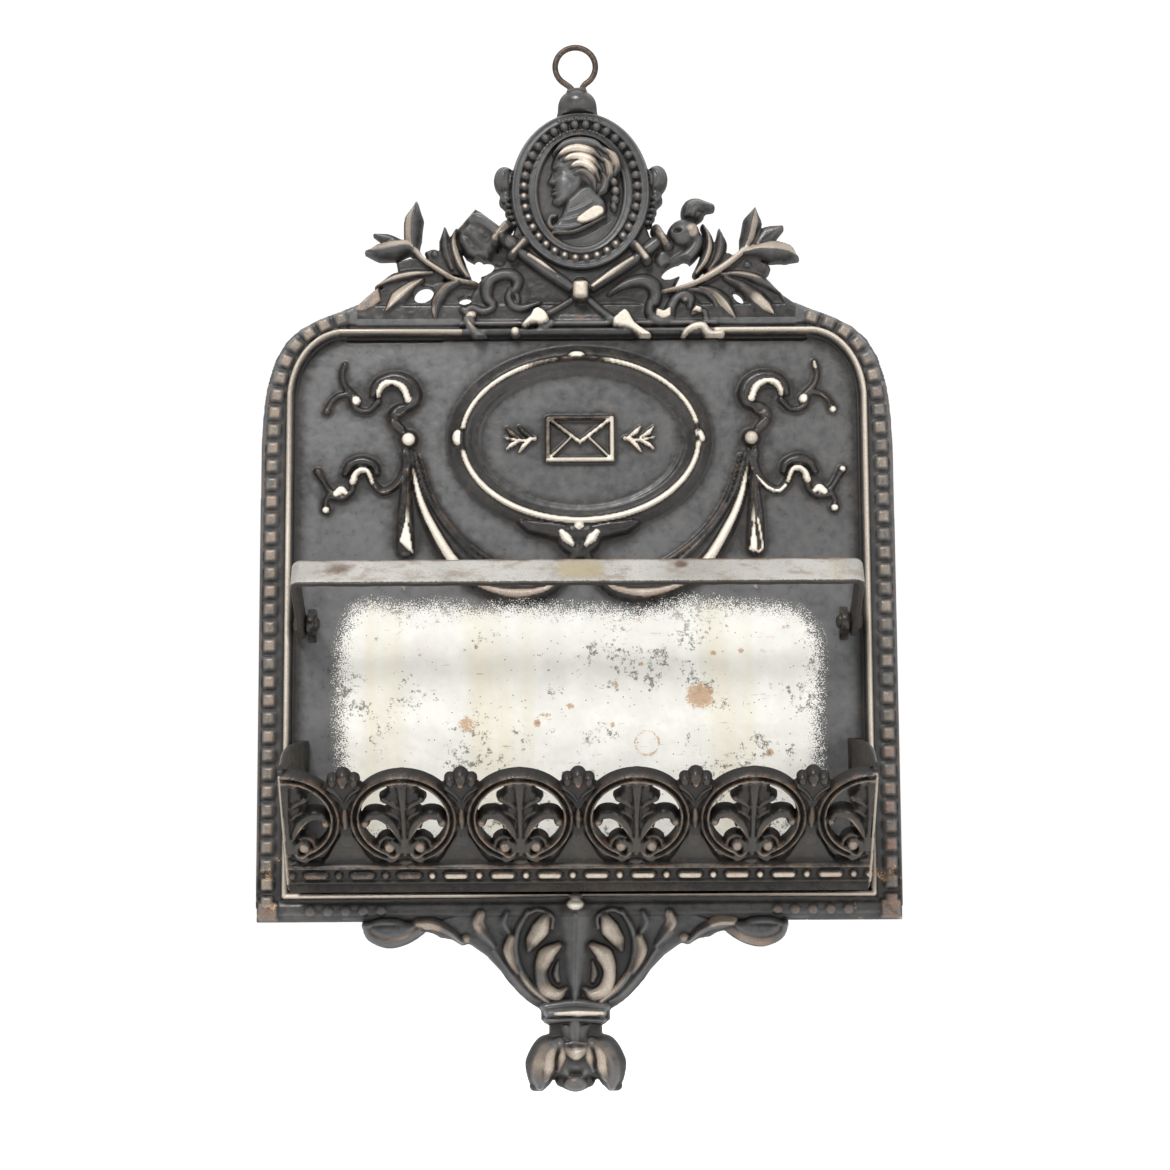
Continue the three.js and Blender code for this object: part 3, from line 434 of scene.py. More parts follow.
def draw_panel(R):
    right = [(HALF_WIDTH, PANEL_BOTTOM)] + SHOULDER
    loop = right + [(-x, z) for x, z in reversed(right)]
    R.poly(loop, BORDER, base=3.0, bevel=1.5, k=0, sil=True, soft=p_soft)
    rim = rim_line(-0.6)
    R.poly(rim + [(-x, z) for x, z in reversed(rim)], FIELD, mode="cut", k=0.35)
    # band that carries the beads
    for s in (1, -1):
        path = [(s * x, z) for x, z in BEADS]
        R.stroke(path, 4.7, base=4.3, w=2.6, prof=p_flat, k=0.1)
        R.stroke([(x + s * 3.1, z) for x, z in path[:5]], 5.2, base=4.4, w=0.8, prof=p_round, k=0.1, shine=0.12)
        for i, (x, z, a) in enumerate(spread(path, 5.66, 1.2)):
            j = 0.5 + 0.5 * math.sin(i * 2.4 + s)
            low = sm(-70, -20, z)
            ca, sa = math.cos(math.radians(a)), math.sin(math.radians(a))
            block = [(x + p * ca - q * sa, z + p * sa + q * ca) for p, q in ((-2.6, -1.3), (-2.3, -2.1), (-1.5, -2.5), (1.5, -2.5), (2.3, -2.1), (2.6, -1.3), (2.6, 1.3), (2.3, 2.1), (1.5, 2.5), (-1.5, 2.5), (-2.3, 2.1), (-2.6, 1.3))]
            R.poly(block, 6.45, base=4.2, bevel=1.7, soft=p_dome, k=0.06,
                   shine=0.30 + 0.12 * j + 0.05 * (s < 0), tint=(0.2 + 0.6 * (1 - low)) * (0.4 + 0.6 * j) if s > 0 else 0.15 + 0.3 * j,
                   wu=(0.5, 0.95))
    R.stroke([(-97, -100.7), (97, -100.7)], 5.1, base=4.5, w=2.2, prof=p_flat, n=1, k=0.1)
    for s in (1, -1):
        for i in range(5):
            x = s * (82.5 - 5.45 * i)
            R.oval(x, -100.9, 1.9, 1.8, 5.9, base=4.6, prof=p_flat, k=0.15, shine=0.34 if s > 0 else 0.08, tint=0.75, wu=(0.6, 0.9))
        # corner blocks, mitred
        x0, x1 = (s * 92.4, s * 98.6)
        R.poly([(x0, -98.0), (x1, -98.0), (x1, -103.9), (x0, -103.9)], 6.0, base=4.6, bevel=0.9, k=0.1, shine=0.4, tint=0.7, wu=(0.8, 1.0))
        R.stroke([(s * 91.6, -97.2), (s * 99.0, -104.2)], -0.7, prof=p_sharp, w=0.5, mode="add", n=1, shine=None)
    # rim
    shape = dict(base=3.0, prof=p_round, k=0.25, n=3, wu=(0.5, 0.86))
    r = rim_line()
    R.stroke(r + [(44.0, RIM_TOP)], RIM, w=[(0, 1.05), (0.5, 1.2), (1, 1.1)], shine=[(0, 0.8), (0.1, 0.5), (0.2, 0.85), (0.5, 0.78), (1, 0.85)], tint=0.3, **shape)
    left = [(-x, z) for x, z in r] + [(-36.5, RIM_TOP - 0.2)]
    R.stroke(left, RIM, w=[(0, 1.1), (0.5, 1.15), (1, 0.95)], shine=[(0, 0.75), (0.3, 0.85), (0.5, 0.9), (0.7, 0.7), (1, 0.85)], tint=0.25, **shape)
    for q in (-2.05, 1.75):
        R.stroke([(-72, RIM_TOP + q), (72, RIM_TOP + q)], -1.1, w=0.95, prof=p_dome, mode="add", n=1, shine=None)
    R.stroke([(-36.5, RIM_TOP - 0.2), (44, RIM_TOP)], RIM - 0.3, w=1.0, shine=0.0, base=3.0, n=1, k=0.3)
    R.stroke([(-36.5, 82.9), (44, 83.0)], 5.6, w=0.9, shine=0.1, base=4.2, n=1, k=0.3)
    R.stroke([(-RIM_X, RIM_BOTTOM), (-40, RIM_BOTTOM), (-6, RIM_BOTTOM), (30, RIM_BOTTOM), (RIM_X, RIM_BOTTOM)], RIM,
             w=[(0, 1.1), (0.3, 0.95), (0.48, 0.55), (0.6, 0.6), (1, 1.1)],
             shine=[(0, 0.85), (0.3, 0.8), (0.42, 0.35), (0.6, 0.4), (0.8, 0.45), (1, 0.75)], tint=0.3, **shape)


def draw_field(R):
    # oval cartouche: cove, ridge, four bosses, sunk dish
    cx, cz, a, b = 1.0, 45.7, 37.2, 25.9
    got = R.win(cx - a - 6, cx + a + 6, cz - b - 6, cz + b + 6)
    if got:
        sl, X, Z = got
        p, q = X - cx, Z - cz
        u = np.hypot(p / a, q / b)
        g = np.hypot(p / (a * a), q / (b * b)) + 1e-9
        d = (u - 1) * u / g  # distance outside the ridge's line
        lower = sm(0.2, -0.9, q / b)  # the ridge is fuller below
        wr = 0.8 + 0.28 * lower
        cove = 3.0 + 1.9 * sm(4.8, 0.8, np.abs(d)) + 0.35 * sm(4.6, 3.6, np.abs(d))
        ridge = 4.6 + 2.3 * np.sqrt(np.clip(1 - (d / wr) ** 2, 0, 1))
        ud = np.hypot(p / 31.9, q / 21.6)
        gd = np.hypot(p / 31.9**2, q / 21.6**2) + 1e-9
        dd = (ud - 1) * ud / gd
        floor_ = 3.25 + 0.5 * sm(-0.2, 0.5, dd) + 0.25 * np.exp(-((dd / 0.6) ** 2))
        floor_ = np.where(d < 0, floor_, 0)
        h = np.maximum(cove, floor_)
        h = np.where(np.abs(d) < wr, np.maximum(h, ridge), h)
        R.H[sl] = smax(R.H[sl], h, 0.3)
        ang = np.degrees(np.arctan2(q / b, p / a))
        seg = np.ones_like(d)
        for c0, hw, v in ((180, 9, 0.0), (90, 16, 0.15), (104, 14, 0.35), (4, 8, 0.0), (-178, 8, 0.0)):
            dang = np.abs((ang - c0 + 180) % 360 - 180)
            seg = np.minimum(seg, v + (1 - v) * sm(hw * 0.6, hw, dang))
        w = seg * sm(0.98, 0.72, np.abs(d) / wr)
        R.W[sl] = np.maximum(R.W[sl], w * (np.abs(d) < wr))
        R.T[sl] = np.where(np.abs(d) < wr, 0.25, R.T[sl])
        # painted highlight: the lower edge of the dish, which faces up, is greyed
        R.dust_and_sheen[sl] = np.maximum(R.dust_and_sheen[sl], 0.25 * np.exp(-((dd / 0.5) ** 2)) * sm(0.2, -0.6, q / b) * (d < 0))
    bx = [(-37.51, 46.18), (38.60, 46.63), (-0.01, 72.46), (0.48, 18.31)]
    R.oval(*bx[0], 1.9, 2.9, 7.2, base=4.0, shine=1, k=0.3, wu=(0.4, 0.65))
    R.oval(*bx[1], 1.6, 3.0, 7.2, base=4.0, shine=1, k=0.3, rot=28, wu=(0.5, 0.75))
    R.oval(*bx[2], 3.0, 1.5, 7.2, base=4.0, shine=0.95, k=0.3, wu=(0.4, 0.7))
    R.oval(*bx[3], 1.7, 1.6, 6.4, base=4.0, shine=0.95, k=0.2, wu=(0.35, 0.6))
    # wings and bulbs under it
    for s, c in ((-1, 0.1), (1, 0.0)):
        m = lambda pts: pts if s < 0 else [(2 * 0.55 - q[0],) + tuple(q[1:]) for q in pts]
        R.stroke(m([(-0.78, 16.42), (-5.47, 16.12), (-10.16, 16.94), (-14.54, 17.59), (-17.97, 19.51)]), 5.6, base=3.2, w=[(0, 3.0), (0.4, 2.4), (0.75, 1.9), (1, 0.7)], prof=p_round, k=0.3)
        R.stroke(m([(-3.59, 17.38), (-7.96, 18.19), (-12.34, 18.69), (-16.72, 19.66)]), 6.0, base=4.4, w=[(0, 1.2), (0.6, 1.3), (1, 0.5)], prof=p_round, k=0.2)
        R.stroke(m([(-5.46, 17.70), (-3.92, 13.27), (-1.74, 10.74)]), 5.4, base=3.2, w=[(0, 1.2), (0.5, 2.3), (1, 1.9)], k=0.3)
        R.stroke(m([(-4.99, 16.13), (-3.44, 14.23), (-1.73, 12.33)]), 6.9, base=4.2, w=[(0, 1.0), (0.35, 1.75), (0.7, 1.6), (1, 0.9)], shine=1.0, k=0.15, wu=(0.3, 0.55))
    R.stroke([(0.47, 16.72), (0.60, 10.41)], 4.6, base=3.2, w=[(0, 1.5), (1, 2.6)], k=0.4, n=2)
    # ribbons, balls and drapery at each side of the cartouche
    for s in (-1, 1):
        m = (lambda p: p) if s < 0 else (lambda p: mir(p, 0.92))
        hi = 0.0
        B = 1.0
        dark = dict(base=3.0, k=0.35, prof=p_round)
        R.stroke(m([(-73.20, 70.21), (-74.03, 66.84), (-73.21, 63.30), (-70.51, 60.08)]), 4.5, w=[(0, 0.95), (0.5, 0.85), (1, 1.2)], **dark)
        R.stroke(m([(-78.72, 54.99), (-77.43, 58.00), (-75.11, 60.00), (-71.78, 60.66)]), 4.5, w=[(0, 1.25), (0.3, 0.85), (1, 1.1)], **dark)
        R.oval(*m([(-78.85, 54.99)])[0], 1.35, 1.35, 4.9, shine=0.9 if s > 0 else 0.25, wu=(0.5, 0.8))
        if s > 0:
            R.stroke(m([(-73.20, 70.21), (-73.60, 68.44)]), 4.7, base=3.4, w=0.75, shine=0.9, k=0.2)
            R.stroke(m([(-77.43, 58.00), (-75.11, 60.00)]), 4.6, base=3.4, w=0.55, shine=0.7, k=0.2)
        R.stroke(m([(-70.82, 58.79), (-69.54, 55.90), (-65.79, 55.08), (-62.50, 58.27)]), 4.7, w=[(0, 1.2), (0.5, 0.9), (1, 1.1)], **dark)
        R.oval(*m([(-69.68, 58.42)])[0], 1.65, 1.75, 5.4, shine=B, k=0.2, wu=(0.4, 0.65))
        R.stroke(m([(-64.28, 60.15), (-63.66, 62.71), (-61.63, 64.79), (-57.13, 65.89), (-52.97, 64.10), (-50.91, 60.40), (-51.52, 57.37), (-53.88, 55.62)]), 5.4, w=[(0, 1.1), (0.2, 1.7), (0.5, 2.0), (0.8, 2.0), (1, 1.1)], **dark)
        R.stroke(m([(-62.61, 59.83), (-62.08, 61.90), (-60.36, 63.85), (-57.12, 63.90), (-54.60, 62.03), (-53.26, 58.66)]), 5.9, base=4.2, w=[(0, 0.55), (0.25, 1.05), (0.6, 0.75), (0.85, 1.3), (1, 1.1)], shine=1.0, tint=0.3, k=0.15, wu=(0.25, 0.5))
        R.stroke(m([(-53.17, 56.78), (-56.00, 55.83), (-57.57, 53.92), (-57.55, 51.36), (-55.65, 49.11), (-54.08, 47.51)]), 4.8, w=[(0, 1.2), (0.4, 2.3), (0.8, 1.7), (1, 1.2)], base=3.0, k=0.35, prof=p_dome)
        R.stroke(m([(-58.04, 54.40), (-56.30, 53.59), (-54.42, 54.54)]), 5.2, base=4.0, w=0.6, shine=0.2, k=0.2)
        R.stroke(m([(-58.34, 51.53), (-56.61, 51.20), (-54.71, 49.59)]), 5.2, base=4.0, w=0.55, shine=0.15, k=0.2)
        # ball
        R.oval(*m([(-53.02, 45.91)])[0], 3.4, 3.4, 5.0, base=3.0, prof=p_dome, k=0.3)
        R.oval(*m([(-52.94, 45.72)])[0], 2.55, 2.55, 7.4, base=3.4, k=0.2, shine=1.0 if s < 0 else 0.85, tint=0.15 if s < 0 else 0.5, wu=(0.5, 0.72))
        # lower ribbon
        R.stroke(m([(-54.36, 41.77), (-54.18, 36.67), (-56.52, 31.92), (-60.89, 29.56), (-63.73, 31.64), (-65.47, 35.14), (-67.84, 37.06)]), 4.3, w=[(0, 1.1), (0.3, 1.5), (0.5, 1.2), (0.8, 1.2), (1, 1.4)], **dark)
        R.stroke(m([(-54.64, 33.81), (-57.61, 30.34), (-61.20, 28.93), (-63.56, 30.68)]), 4.9, base=3.5, w=[(0, 0.3), (0.4, 0.6), (1, 0.6)], shine=0.25 if s < 0 else 0.95, k=0.2, wu=(0.3, 0.6))
        R.stroke(m([(-72.89, 35.01), (-71.19, 38.02), (-67.57, 39.18), (-63.83, 37.82), (-62.93, 35.27)]), 5.2, w=[(0, 1.1), (0.5, 1.7), (1, 1.1)], **dark)
        R.stroke(m([(-70.37, 32.62), (-69.61, 34.99), (-67.73, 36.25), (-65.69, 35.61), (-64.26, 32.11)]), 5.9, base=4.2, w=[(0, 1.2), (0.35, 0.9), (0.7, 0.75), (1, 0.6)], shine=1.0, tint=0.3, k=0.15, wu=(0.25, 0.5))
        R.stroke(m([(-76.86, 27.90), (-73.41, 27.40), (-70.77, 29.77), (-70.63, 32.63)]), 4.9, w=[(0, 1.2), (0.4, 1.0), (1, 1.0)], **dark)
        R.stroke(m([(-75.66, 28.68), (-74.11, 29.78), (-72.38, 28.82)]), 5.5, base=4.0, w=[(0, 1.1), (0.5, 1.5), (1, 0.6)], shine=1.0, tint=0.25, k=0.15, wu=(0.25, 0.5))
        R.stroke(m([(-81.51, 35.86), (-79.85, 32.99), (-77.82, 29.81), (-75.30, 28.52)]), 4.5, w=[(0, 1.3), (0.25, 0.85), (1, 1.0)], **dark)
        R.stroke(m([(-77.50, 29.17), (-78.89, 26.48), (-78.89, 23.79)]), 4.5, w=[(0, 1.0), (0.5, 0.85), (1, 1.0)], **dark)
        R.oval(*m([(-78.83, 23.60)])[0], 1.4, 1.4, 5.2, shine=1.0, wu=(0.5, 0.75))
        R.oval(*m([(-81.51, 35.86)])[0], 1.3, 1.3, 4.9, shine=0.95 if s > 0 else 0.2, wu=(0.5, 0.8))
        # hanging tails
        R.poly(m([(-54.44, 40.99), (-55.63, 26.68), (-56.82, 12.43), (-53.99, 8.94), (-50.86, 10.51), (-51.87, 26.66), (-52.87, 40.99)]), 4.3, base=3.0, bevel=1.4, k=0.3, soft=p_dome, n=2)
        R.stroke(m([(-53.74, 43.36), (-53.84, 29.68), (-54.08, 20.18), (-53.92, 11.01)]), 4.5, base=3.0, w=[(0, 0.9), (0.4, 1.6), (0.7, 2.5), (0.95, 3.0), (1, 2.7)], prof=p_gutter, k=0.35)
        R.stroke(m([(-53.08, 36.03), (-53.23, 26.50), (-53.39, 19.54)]), 5.2, base=3.6, w=[(0, 0.3), (0.6, 0.5), (1, 0.7)], shine=[(0, 0.15), (0.7, 0.3), (1, 1.0)], k=0.25, wu=(0.3, 0.6))
        if s < 0:
            R.poly([(-53.57, 21.92), (-55.88, 13.25), (-51.15, 8.97), (-52.14, 15.59)], 5.7, base=4.0, bevel=0.9, shine=1.0, k=0.15, wu=(0.2, 0.5))
        else:
            R.poly(m([(-53.42, 22.23), (-54.53, 12.14), (-54.30, 9.46), (-51.65, 9.92), (-52.45, 15.91)]), 5.7, base=4.0, bevel=0.9, shine=1.0, k=0.15, wu=(0.2, 0.5))
            R.stroke(m([(-54.66, 20.03), (-55.72, 13.72), (-56.02, 10.89), (-54.77, 9.62)]), 5.3, base=4.0, w=0.55, shine=0.9, k=0.15)
        swag = m([(-52.17, 42.39), (-50.88, 33.48), (-48.34, 23.94), (-44.24, 15.07), (-38.29, 6.52), (-31.10, 0.50), (-23.31, -2.68), (-14.90, -3.35), (-8.03, -0.87), (-3.02, 4.76), (-0.18, 11.05)])
        R.stroke(swag, 4.9, base=3.0, w=[(0, 0.9), (0.2, 1.9), (0.45, 2.9), (0.7, 3.1), (0.9, 2.2), (1, 1.4)], prof=p_dome, k=0.35)
        R.stroke(m([(-51.60, 37.12), (-49.85, 28.86), (-47.73, 22.83), (-44.40, 16.18), (-39.79, 8.44), (-35.73, 3.86)]), 5.8, base=3.8, w=[(0, 0.4), (0.25, 1.0), (0.6, 1.45), (1, 1.8)], shine=[(0, 0.2), (0.12, 1.0), (1, 0.95)], tint=0.2, k=0.2, wu=(0.3, 0.55))
        R.stroke(m([(-49.41, 40.65), (-46.55, 31.08), (-42.76, 23.12), (-36.79, 15.49), (-28.65, 8.81), (-20.53, 4.35)]), 4.1, base=3.0, w=[(0, 0.4), (0.5, 0.75), (1, 0.8)], shine=0.12, k=0.3, prof=p_round)
        R.stroke(m([(-50.98, 41.93), (-48.43, 31.72), (-44.96, 24.08), (-39.61, 16.45), (-32.41, 9.14), (-24.90, 3.74)]), 4.0, base=3.0, w=[(0, 0.5), (0.5, 0.8), (1, 0.9)], k=0.3)
        # the lowest part of the swag
        R.stroke(m([(-33.60, 1.15), (-27.36, -1.56), (-18.95, -3.17), (-10.22, -1.80), (-5.53, 1.63)]), 5.3, base=3.2, w=[(0, 0.8), (0.5, 1.9), (1, 0.8)], shine=0.75, tint=0.6, k=0.25, wu=(0.35, 0.65))
        R.stroke(m([(-31.15, -1.89), (-24.28, -4.60), (-18.98, -5.09), (-11.80, -4.19), (-6.80, -1.39)]), 3.9, base=3.0, w=0.9, k=0.3)
        R.oval(*m([(-54.25, -1.77)])[0], 0.9, 0.8, 3.8, k=0.3, shine=0.3)
    # a letter on the dish between two plain sprigs
    e0, e1, f0, f1 = -9.2, 11.0, 39.2, 52.6
    line = dict(base=3.3, prof=p_flat, n=1, k=0.12, wu=(0.35, 0.7), tint=0.3)
    for i, (p, q) in enumerate((((e0, f0), (e1, f0)), ((e1, f0), (e1, f1)), ((e1, f1), (e0, f1)), ((e0, f1), (e0, f0)))):
        R.stroke([p, q], 5.2, w=0.72, shine=(1.0, 0.85, 0.25, 0.35)[i], **line)
    R.stroke([(e0, f1), ((e0 + e1) / 2, f0 + 5.6), (e1, f1)], 5.2, w=0.66, shine=[(0, 0.2), (0.5, 1.0), (1, 0.9)], **line)
    R.stroke([(e0, f0), (-2.0, 46.2)], 5.0, w=0.5, shine=0.9, **line)
    R.stroke([(e1, f0), (3.8, 46.2)], 5.0, w=0.5, shine=1.0, **line)
    for s in (-1, 1):
        c = 0.9
        X = lambda v: c + s * v
        R.stroke([(X(14.0), 46.0), (X(18.5), 45.4), (X(23.6), 46.4)], 5.0, base=3.3, w=[(0, 0.6), (0.6, 0.5), (1, 0.3)], k=0.12, shine=0.9, tint=0.3, wu=(0.3, 0.6))
        for (x0, z0, x1, z1) in ((15.0, 46.2, 19.2, 50.0), (15.0, 45.8, 19.2, 41.8), (19.0, 46.2, 23.2, 49.6), (19.0, 45.4, 23.2, 42.6)):
            R.stroke([(X(x0), z0), (X((x0 + x1) / 2 + 0.5), (z0 + z1) / 2), (X(x1), z1)], 5.0, base=3.3, w=[(0, 0.4), (0.45, 1.0), (1, 0.25)], k=0.12, shine=0.95 if s > 0 or z1 < 46 else 0.3, tint=0.3, wu=(0.3, 0.6))


def draw_crest(R):
    web = [(-72.13, 81.48), (-71.87, 88.28), (-68.70, 89.56), (-64.91, 92.14), (-61.12, 95.70), (-56.67, 96.98), (-52.22, 97.28), (-45.86, 96.27), (-39.51, 97.86), (-35.06, 98.82), (-32.52, 97.17), (-29.97, 94.23), (-26.80, 96.49), (-24.25, 101.36), (-19.79, 103.30), (-14.71, 101.31), (-5.18, 96.05), (1.16, 94.06), (7.53, 95.98), (16.47, 101.15), (20.93, 103.08), (24.09, 100.45), (27.87, 96.52), (31.66, 94.23), (36.77, 96.15), (43.16, 99.37), (47.62, 99.67), (51.41, 97.70), (55.83, 95.72), (60.90, 94.39), (64.69, 93.07), (68.45, 89.80), (75.97, 84.57), (75.88, 79.39)]
    R.poly(web, 3.8, base=3.0, bevel=1.2, k=0, sil=True, ks=0.6)
    R.poly([(-31.88, 101.40), (-24.88, 106.59), (-20.42, 111.79), (-17.86, 118.99), (-5.08, 123.51), (8.97, 123.44), (21.06, 118.78), (23.55, 111.56), (27.96, 106.30), (34.28, 101.05), (30.38, 93.26), (20.20, 90.71), (1.14, 89.51), (-17.91, 90.92), (-28.07, 93.57)], 4.2, base=3.0, bevel=1.2, k=0.2, sil=True, ks=0.6)
    ground = [(-70, 88.2), (70, 88.2), (70, 82), (-70, 82)]
    R.poly(ground, 4.4, base=3.6, bevel=1.5, k=0.4, sil=True)
    leaf = dict(base=3.4, prof=p_keel, k=0.25, sil=True, ks=0.5)
    TAN = 0.5

    def L(pts, h, w, shine=0.0, tint=0.3, wcut=None, **kw):
        o = dict(leaf)
        o.update(kw)
        R.stroke(pts, h, w=[(t, v * 1.22) for t, v in w], shine=shine, tint=tint, wcut=wcut, n=6, **o)

    # ---- left branch
    L([(-64.30, 112.40), (-59.84, 110.75), (-54.74, 108.43)], 4.6, [(0, 0.4), (0.5, 1.7), (1, 1.6)], prof=p_round)
    L([(-51.40, 106.56), (-52.05, 111.12), (-51.76, 116.99), (-50.76, 122.70)], 6.8, [(0, 1.0), (0.25, 2.2), (0.5, 3.05), (0.75, 2.2), (1, 0.35)], TAN, wcut=(0.12, 0.82))
    L([(-66.94, 106.45), (-62.18, 106.78), (-57.75, 107.57), (-53.31, 108.04), (-50.45, 105.91)], 6.8, [(0, 0.35), (0.25, 2.3), (0.5, 3.1), (0.8, 1.9), (1, 1.0)], [(0, 0.35), (0.3, 0.5), (0.7, 0.62), (1, 0.62)], wcut=(0.1, 0.85))
    L([(-45.74, 99.49), (-52.08, 99.19), (-57.78, 97.93), (-63.79, 95.04)], 5.8, [(0, 0.9), (0.4, 1.75), (0.7, 1.6), (1, 0.3)], [(0, 0.4), (0.3, 0.62), (0.75, 0.6), (1, 0.4)], wcut=(-0.3, 0.35))
    L([(-48.83, 97.13), (-52.62, 94.56), (-56.40, 91.34), (-60.33, 87.00)], 6.6, [(0, 0.8), (0.35, 2.3), (0.65, 2.65), (0.9, 1.3), (1, 0.35)], [(0, 0.4), (0.2, 0.6), (0.85, 0.78), (1, 0.6)], wcut=(-0.75, 0.28))
    L([(-37.12, 96.42), (-40.91, 94.33), (-43.43, 90.95), (-44.37, 87.72), (-44.56, 84.81)], 6.6, [(0, 1.1), (0.35, 2.0), (0.7, 1.9), (0.95, 1.3), (1, 0.5)], [(0, 0.55), (0.3, 0.5), (0.7, 0.3), (0.85, 0.75), (1, 0.6)], wcut=(-0.9, -0.15))
    L([(-39.40, 100.91), (-41.00, 106.13), (-41.64, 110.04), (-41.84, 114.45)], 5.6, [(0, 1.0), (0.4, 2.0), (0.75, 1.6), (1, 0.35)], 0.1)
    L([(-34.59, 98.03), (-37.13, 102.26), (-38.72, 106.82), (-39.04, 110.40), (-38.10, 113.33)], 6.4, [(0, 1.0), (0.3, 1.7), (0.6, 1.8), (1, 0.6)], [(0, 0.5), (0.4, 0.62), (0.8, 0.55), (1, 0.2)], wcut=(-0.55, 0.2))
    R.poly([(-62.52, 95.58), (-66.72, 92.06), (-69.40, 89.48), (-71.44, 86.90), (-67.00, 86.94), (-63.84, 88.64), (-61.63, 90.41)], 4.9, base=3.4, bevel=1.4, shine=0.42, tint=0.35, sil=True, ks=0.5, wu=(0.5, 0.9))
    R.stroke([(-51.96, 107.59), (-50.53, 105.96), (-48.15, 103.51), (-43.71, 100.41), (-39.06, 97.66), (-35.48, 96.47), (-32.00, 96.00)], 6.9, base=3.6, w=[(0, 0.9), (0.4, 0.95), (1, 0.8)], shine=[(0, 0.62), (0.6, 0.7), (1, 0.4)], tint=0.35, k=0.25, sil=True, ks=0.4, wu=(0.35, 0.7))
    R.oval(*[(-44.93, 105.69)][0], 1.2, 1.2, 5.0, base=3.4, sil=True, ks=0.6)
    R.poly([(-48.44, 106.71), (-44.62, 107.67), (-39.52, 103.40), (-36.33, 98.50), (-41.42, 99.50), (-46.52, 102.79)], 4.0, base=3.2, bevel=1.2, sil=True, ks=0.8, n=4)
    R.poly([(-57.34, 103.50), (-49.71, 104.76), (-41.42, 98.85), (-44.59, 96.26), (-51.59, 96.95), (-56.05, 98.93)], 3.9, base=3.2, bevel=1.2, sil=True, ks=0.8, n=4)
    R.poly([(-43.32, 94.30), (-32.52, 96.20), (-29.34, 90.98), (-33.78, 87.10), (-43.30, 85.86)], 3.8, base=3.2, bevel=1.2, sil=True, ks=0.8, n=4)

    # ---- right branch
    L([(57.45, 107.88), (60.99, 111.45), (65.48, 113.87)], 5.4, [(0, 1.2), (0.5, 2.5), (0.85, 1.7), (1, 0.7)], 0.08, prof=p_round)
    L([(53.07, 106.16), (54.87, 110.22), (56.21, 115.43), (57.04, 120.26)], 6.8, [(0, 1.0), (0.25, 2.2), (0.55, 3.05), (0.8, 2.0), (1, 0.35)], TAN, wcut=(-0.55, 0.08))
    L([(53.22, 105.35), (57.35, 106.47), (61.79, 106.44), (66.54, 105.77), (70.62, 103.70)], 6.8, [(0, 1.0), (0.25, 2.4), (0.55, 3.4), (0.8, 2.4), (1, 0.35)], [(0, 0.62), (0.4, 0.62), (0.8, 0.5), (1, 0.45)], wcut=(-0.05, 0.85))
    L([(46.21, 98.50), (51.92, 98.47), (58.24, 96.65), (64.82, 92.08)], 5.8, [(0, 0.9), (0.4, 1.8), (0.7, 1.8), (1, 0.4)], [(0, 0.3), (0.2, 0.55), (0.5, 0.6), (0.7, 0.2), (1, 0.1)], wcut=(0.0, 0.5))
    L([(47.41, 97.26), (52.44, 94.64), (57.13, 90.73), (59.93, 88.13), (62.27, 85.69)], 6.6, [(0, 0.9), (0.35, 2.1), (0.7, 2.9), (0.92, 2.0), (1, 0.6)], [(0, 0.1), (0.5, 0.25), (0.65, 0.7), (1, 0.7)], wcut=(-0.5, 0.45))
    L([(39.14, 94.07), (43.55, 92.58), (46.99, 89.49), (50.24, 84.30)], 6.6, [(0, 1.0), (0.35, 2.0), (0.7, 2.3), (0.92, 1.5), (1, 0.5)], [(0, 0.1), (0.45, 0.45), (0.7, 0.75), (1, 0.7)], wcut=(-0.95, 0.1))
    L([(42.11, 99.83), (44.69, 103.72), (46.02, 108.59), (45.57, 113.49)], 5.6, [(0, 1.0), (0.4, 2.0), (0.75, 1.7), (1, 0.35)], 0.1)
    L([(37.93, 98.94), (40.83, 103.14), (42.14, 107.36), (41.87, 111.27), (40.32, 114.54)], 6.4, [(0, 0.9), (0.3, 1.6), (0.6, 1.7), (1, 0.6)], [(0, 0.55), (0.5, 0.62), (0.85, 0.4), (1, 0.2)], wcut=(-0.5, 0.15))
    R.poly([(63.34, 93.48), (66.48, 91.51), (70.56, 88.57), (75.90, 85.95), (70.82, 85.33), (66.42, 87.62)], 4.8, base=3.4, bevel=1.4, shine=0.15, sil=True, ks=0.5)
    R.stroke([(54.12, 107.02), (52.20, 105.41), (49.51, 103.15), (44.34, 99.45), (38.29, 96.14), (32.77, 94.17), (27.70, 92.90)], 6.9, base=3.6, w=[(0, 1.1), (0.4, 1.25), (1, 0.8)], shine=[(0, 0.7), (0.7, 0.7), (1, 0.45)], tint=0.35, k=0.25, sil=True, ks=0.4, wu=(0.3, 0.65))
    R.oval(*[(54.34, 101.71)][0], 1.3, 1.3, 5.2, base=3.4, sil=True, ks=0.6)
    R.poly([(48.93, 102.93), (53.73, 104.86), (61.64, 101.56), (59.67, 97.66), (52.06, 99.00), (45.06, 98.39)], 4.0, base=3.2, bevel=1.2, sil=True, ks=0.8, n=4)
    R.poly([(43.21, 102.96), (48.34, 106.19), (50.84, 102.92), (44.42, 98.39), (39.31, 96.46)], 4.0, base=3.2, bevel=1.2, sil=True, ks=0.8, n=4)
    R.poly([(39.28, 93.86), (44.40, 96.44), (48.79, 91.86), (58.24, 86.61), (39.18, 84.77), (31.63, 90.65)], 3.8, base=3.2, bevel=1.2, sil=True, ks=0.8, n=4)

    # ---- torches
    def rod(pts, h, w, **kw):
        o = dict(base=3.2, k=0.3, prof=p_round, sil=True, ks=0.5, n=4)
        o.update(kw)
        R.stroke(pts, h, w=w, **o)

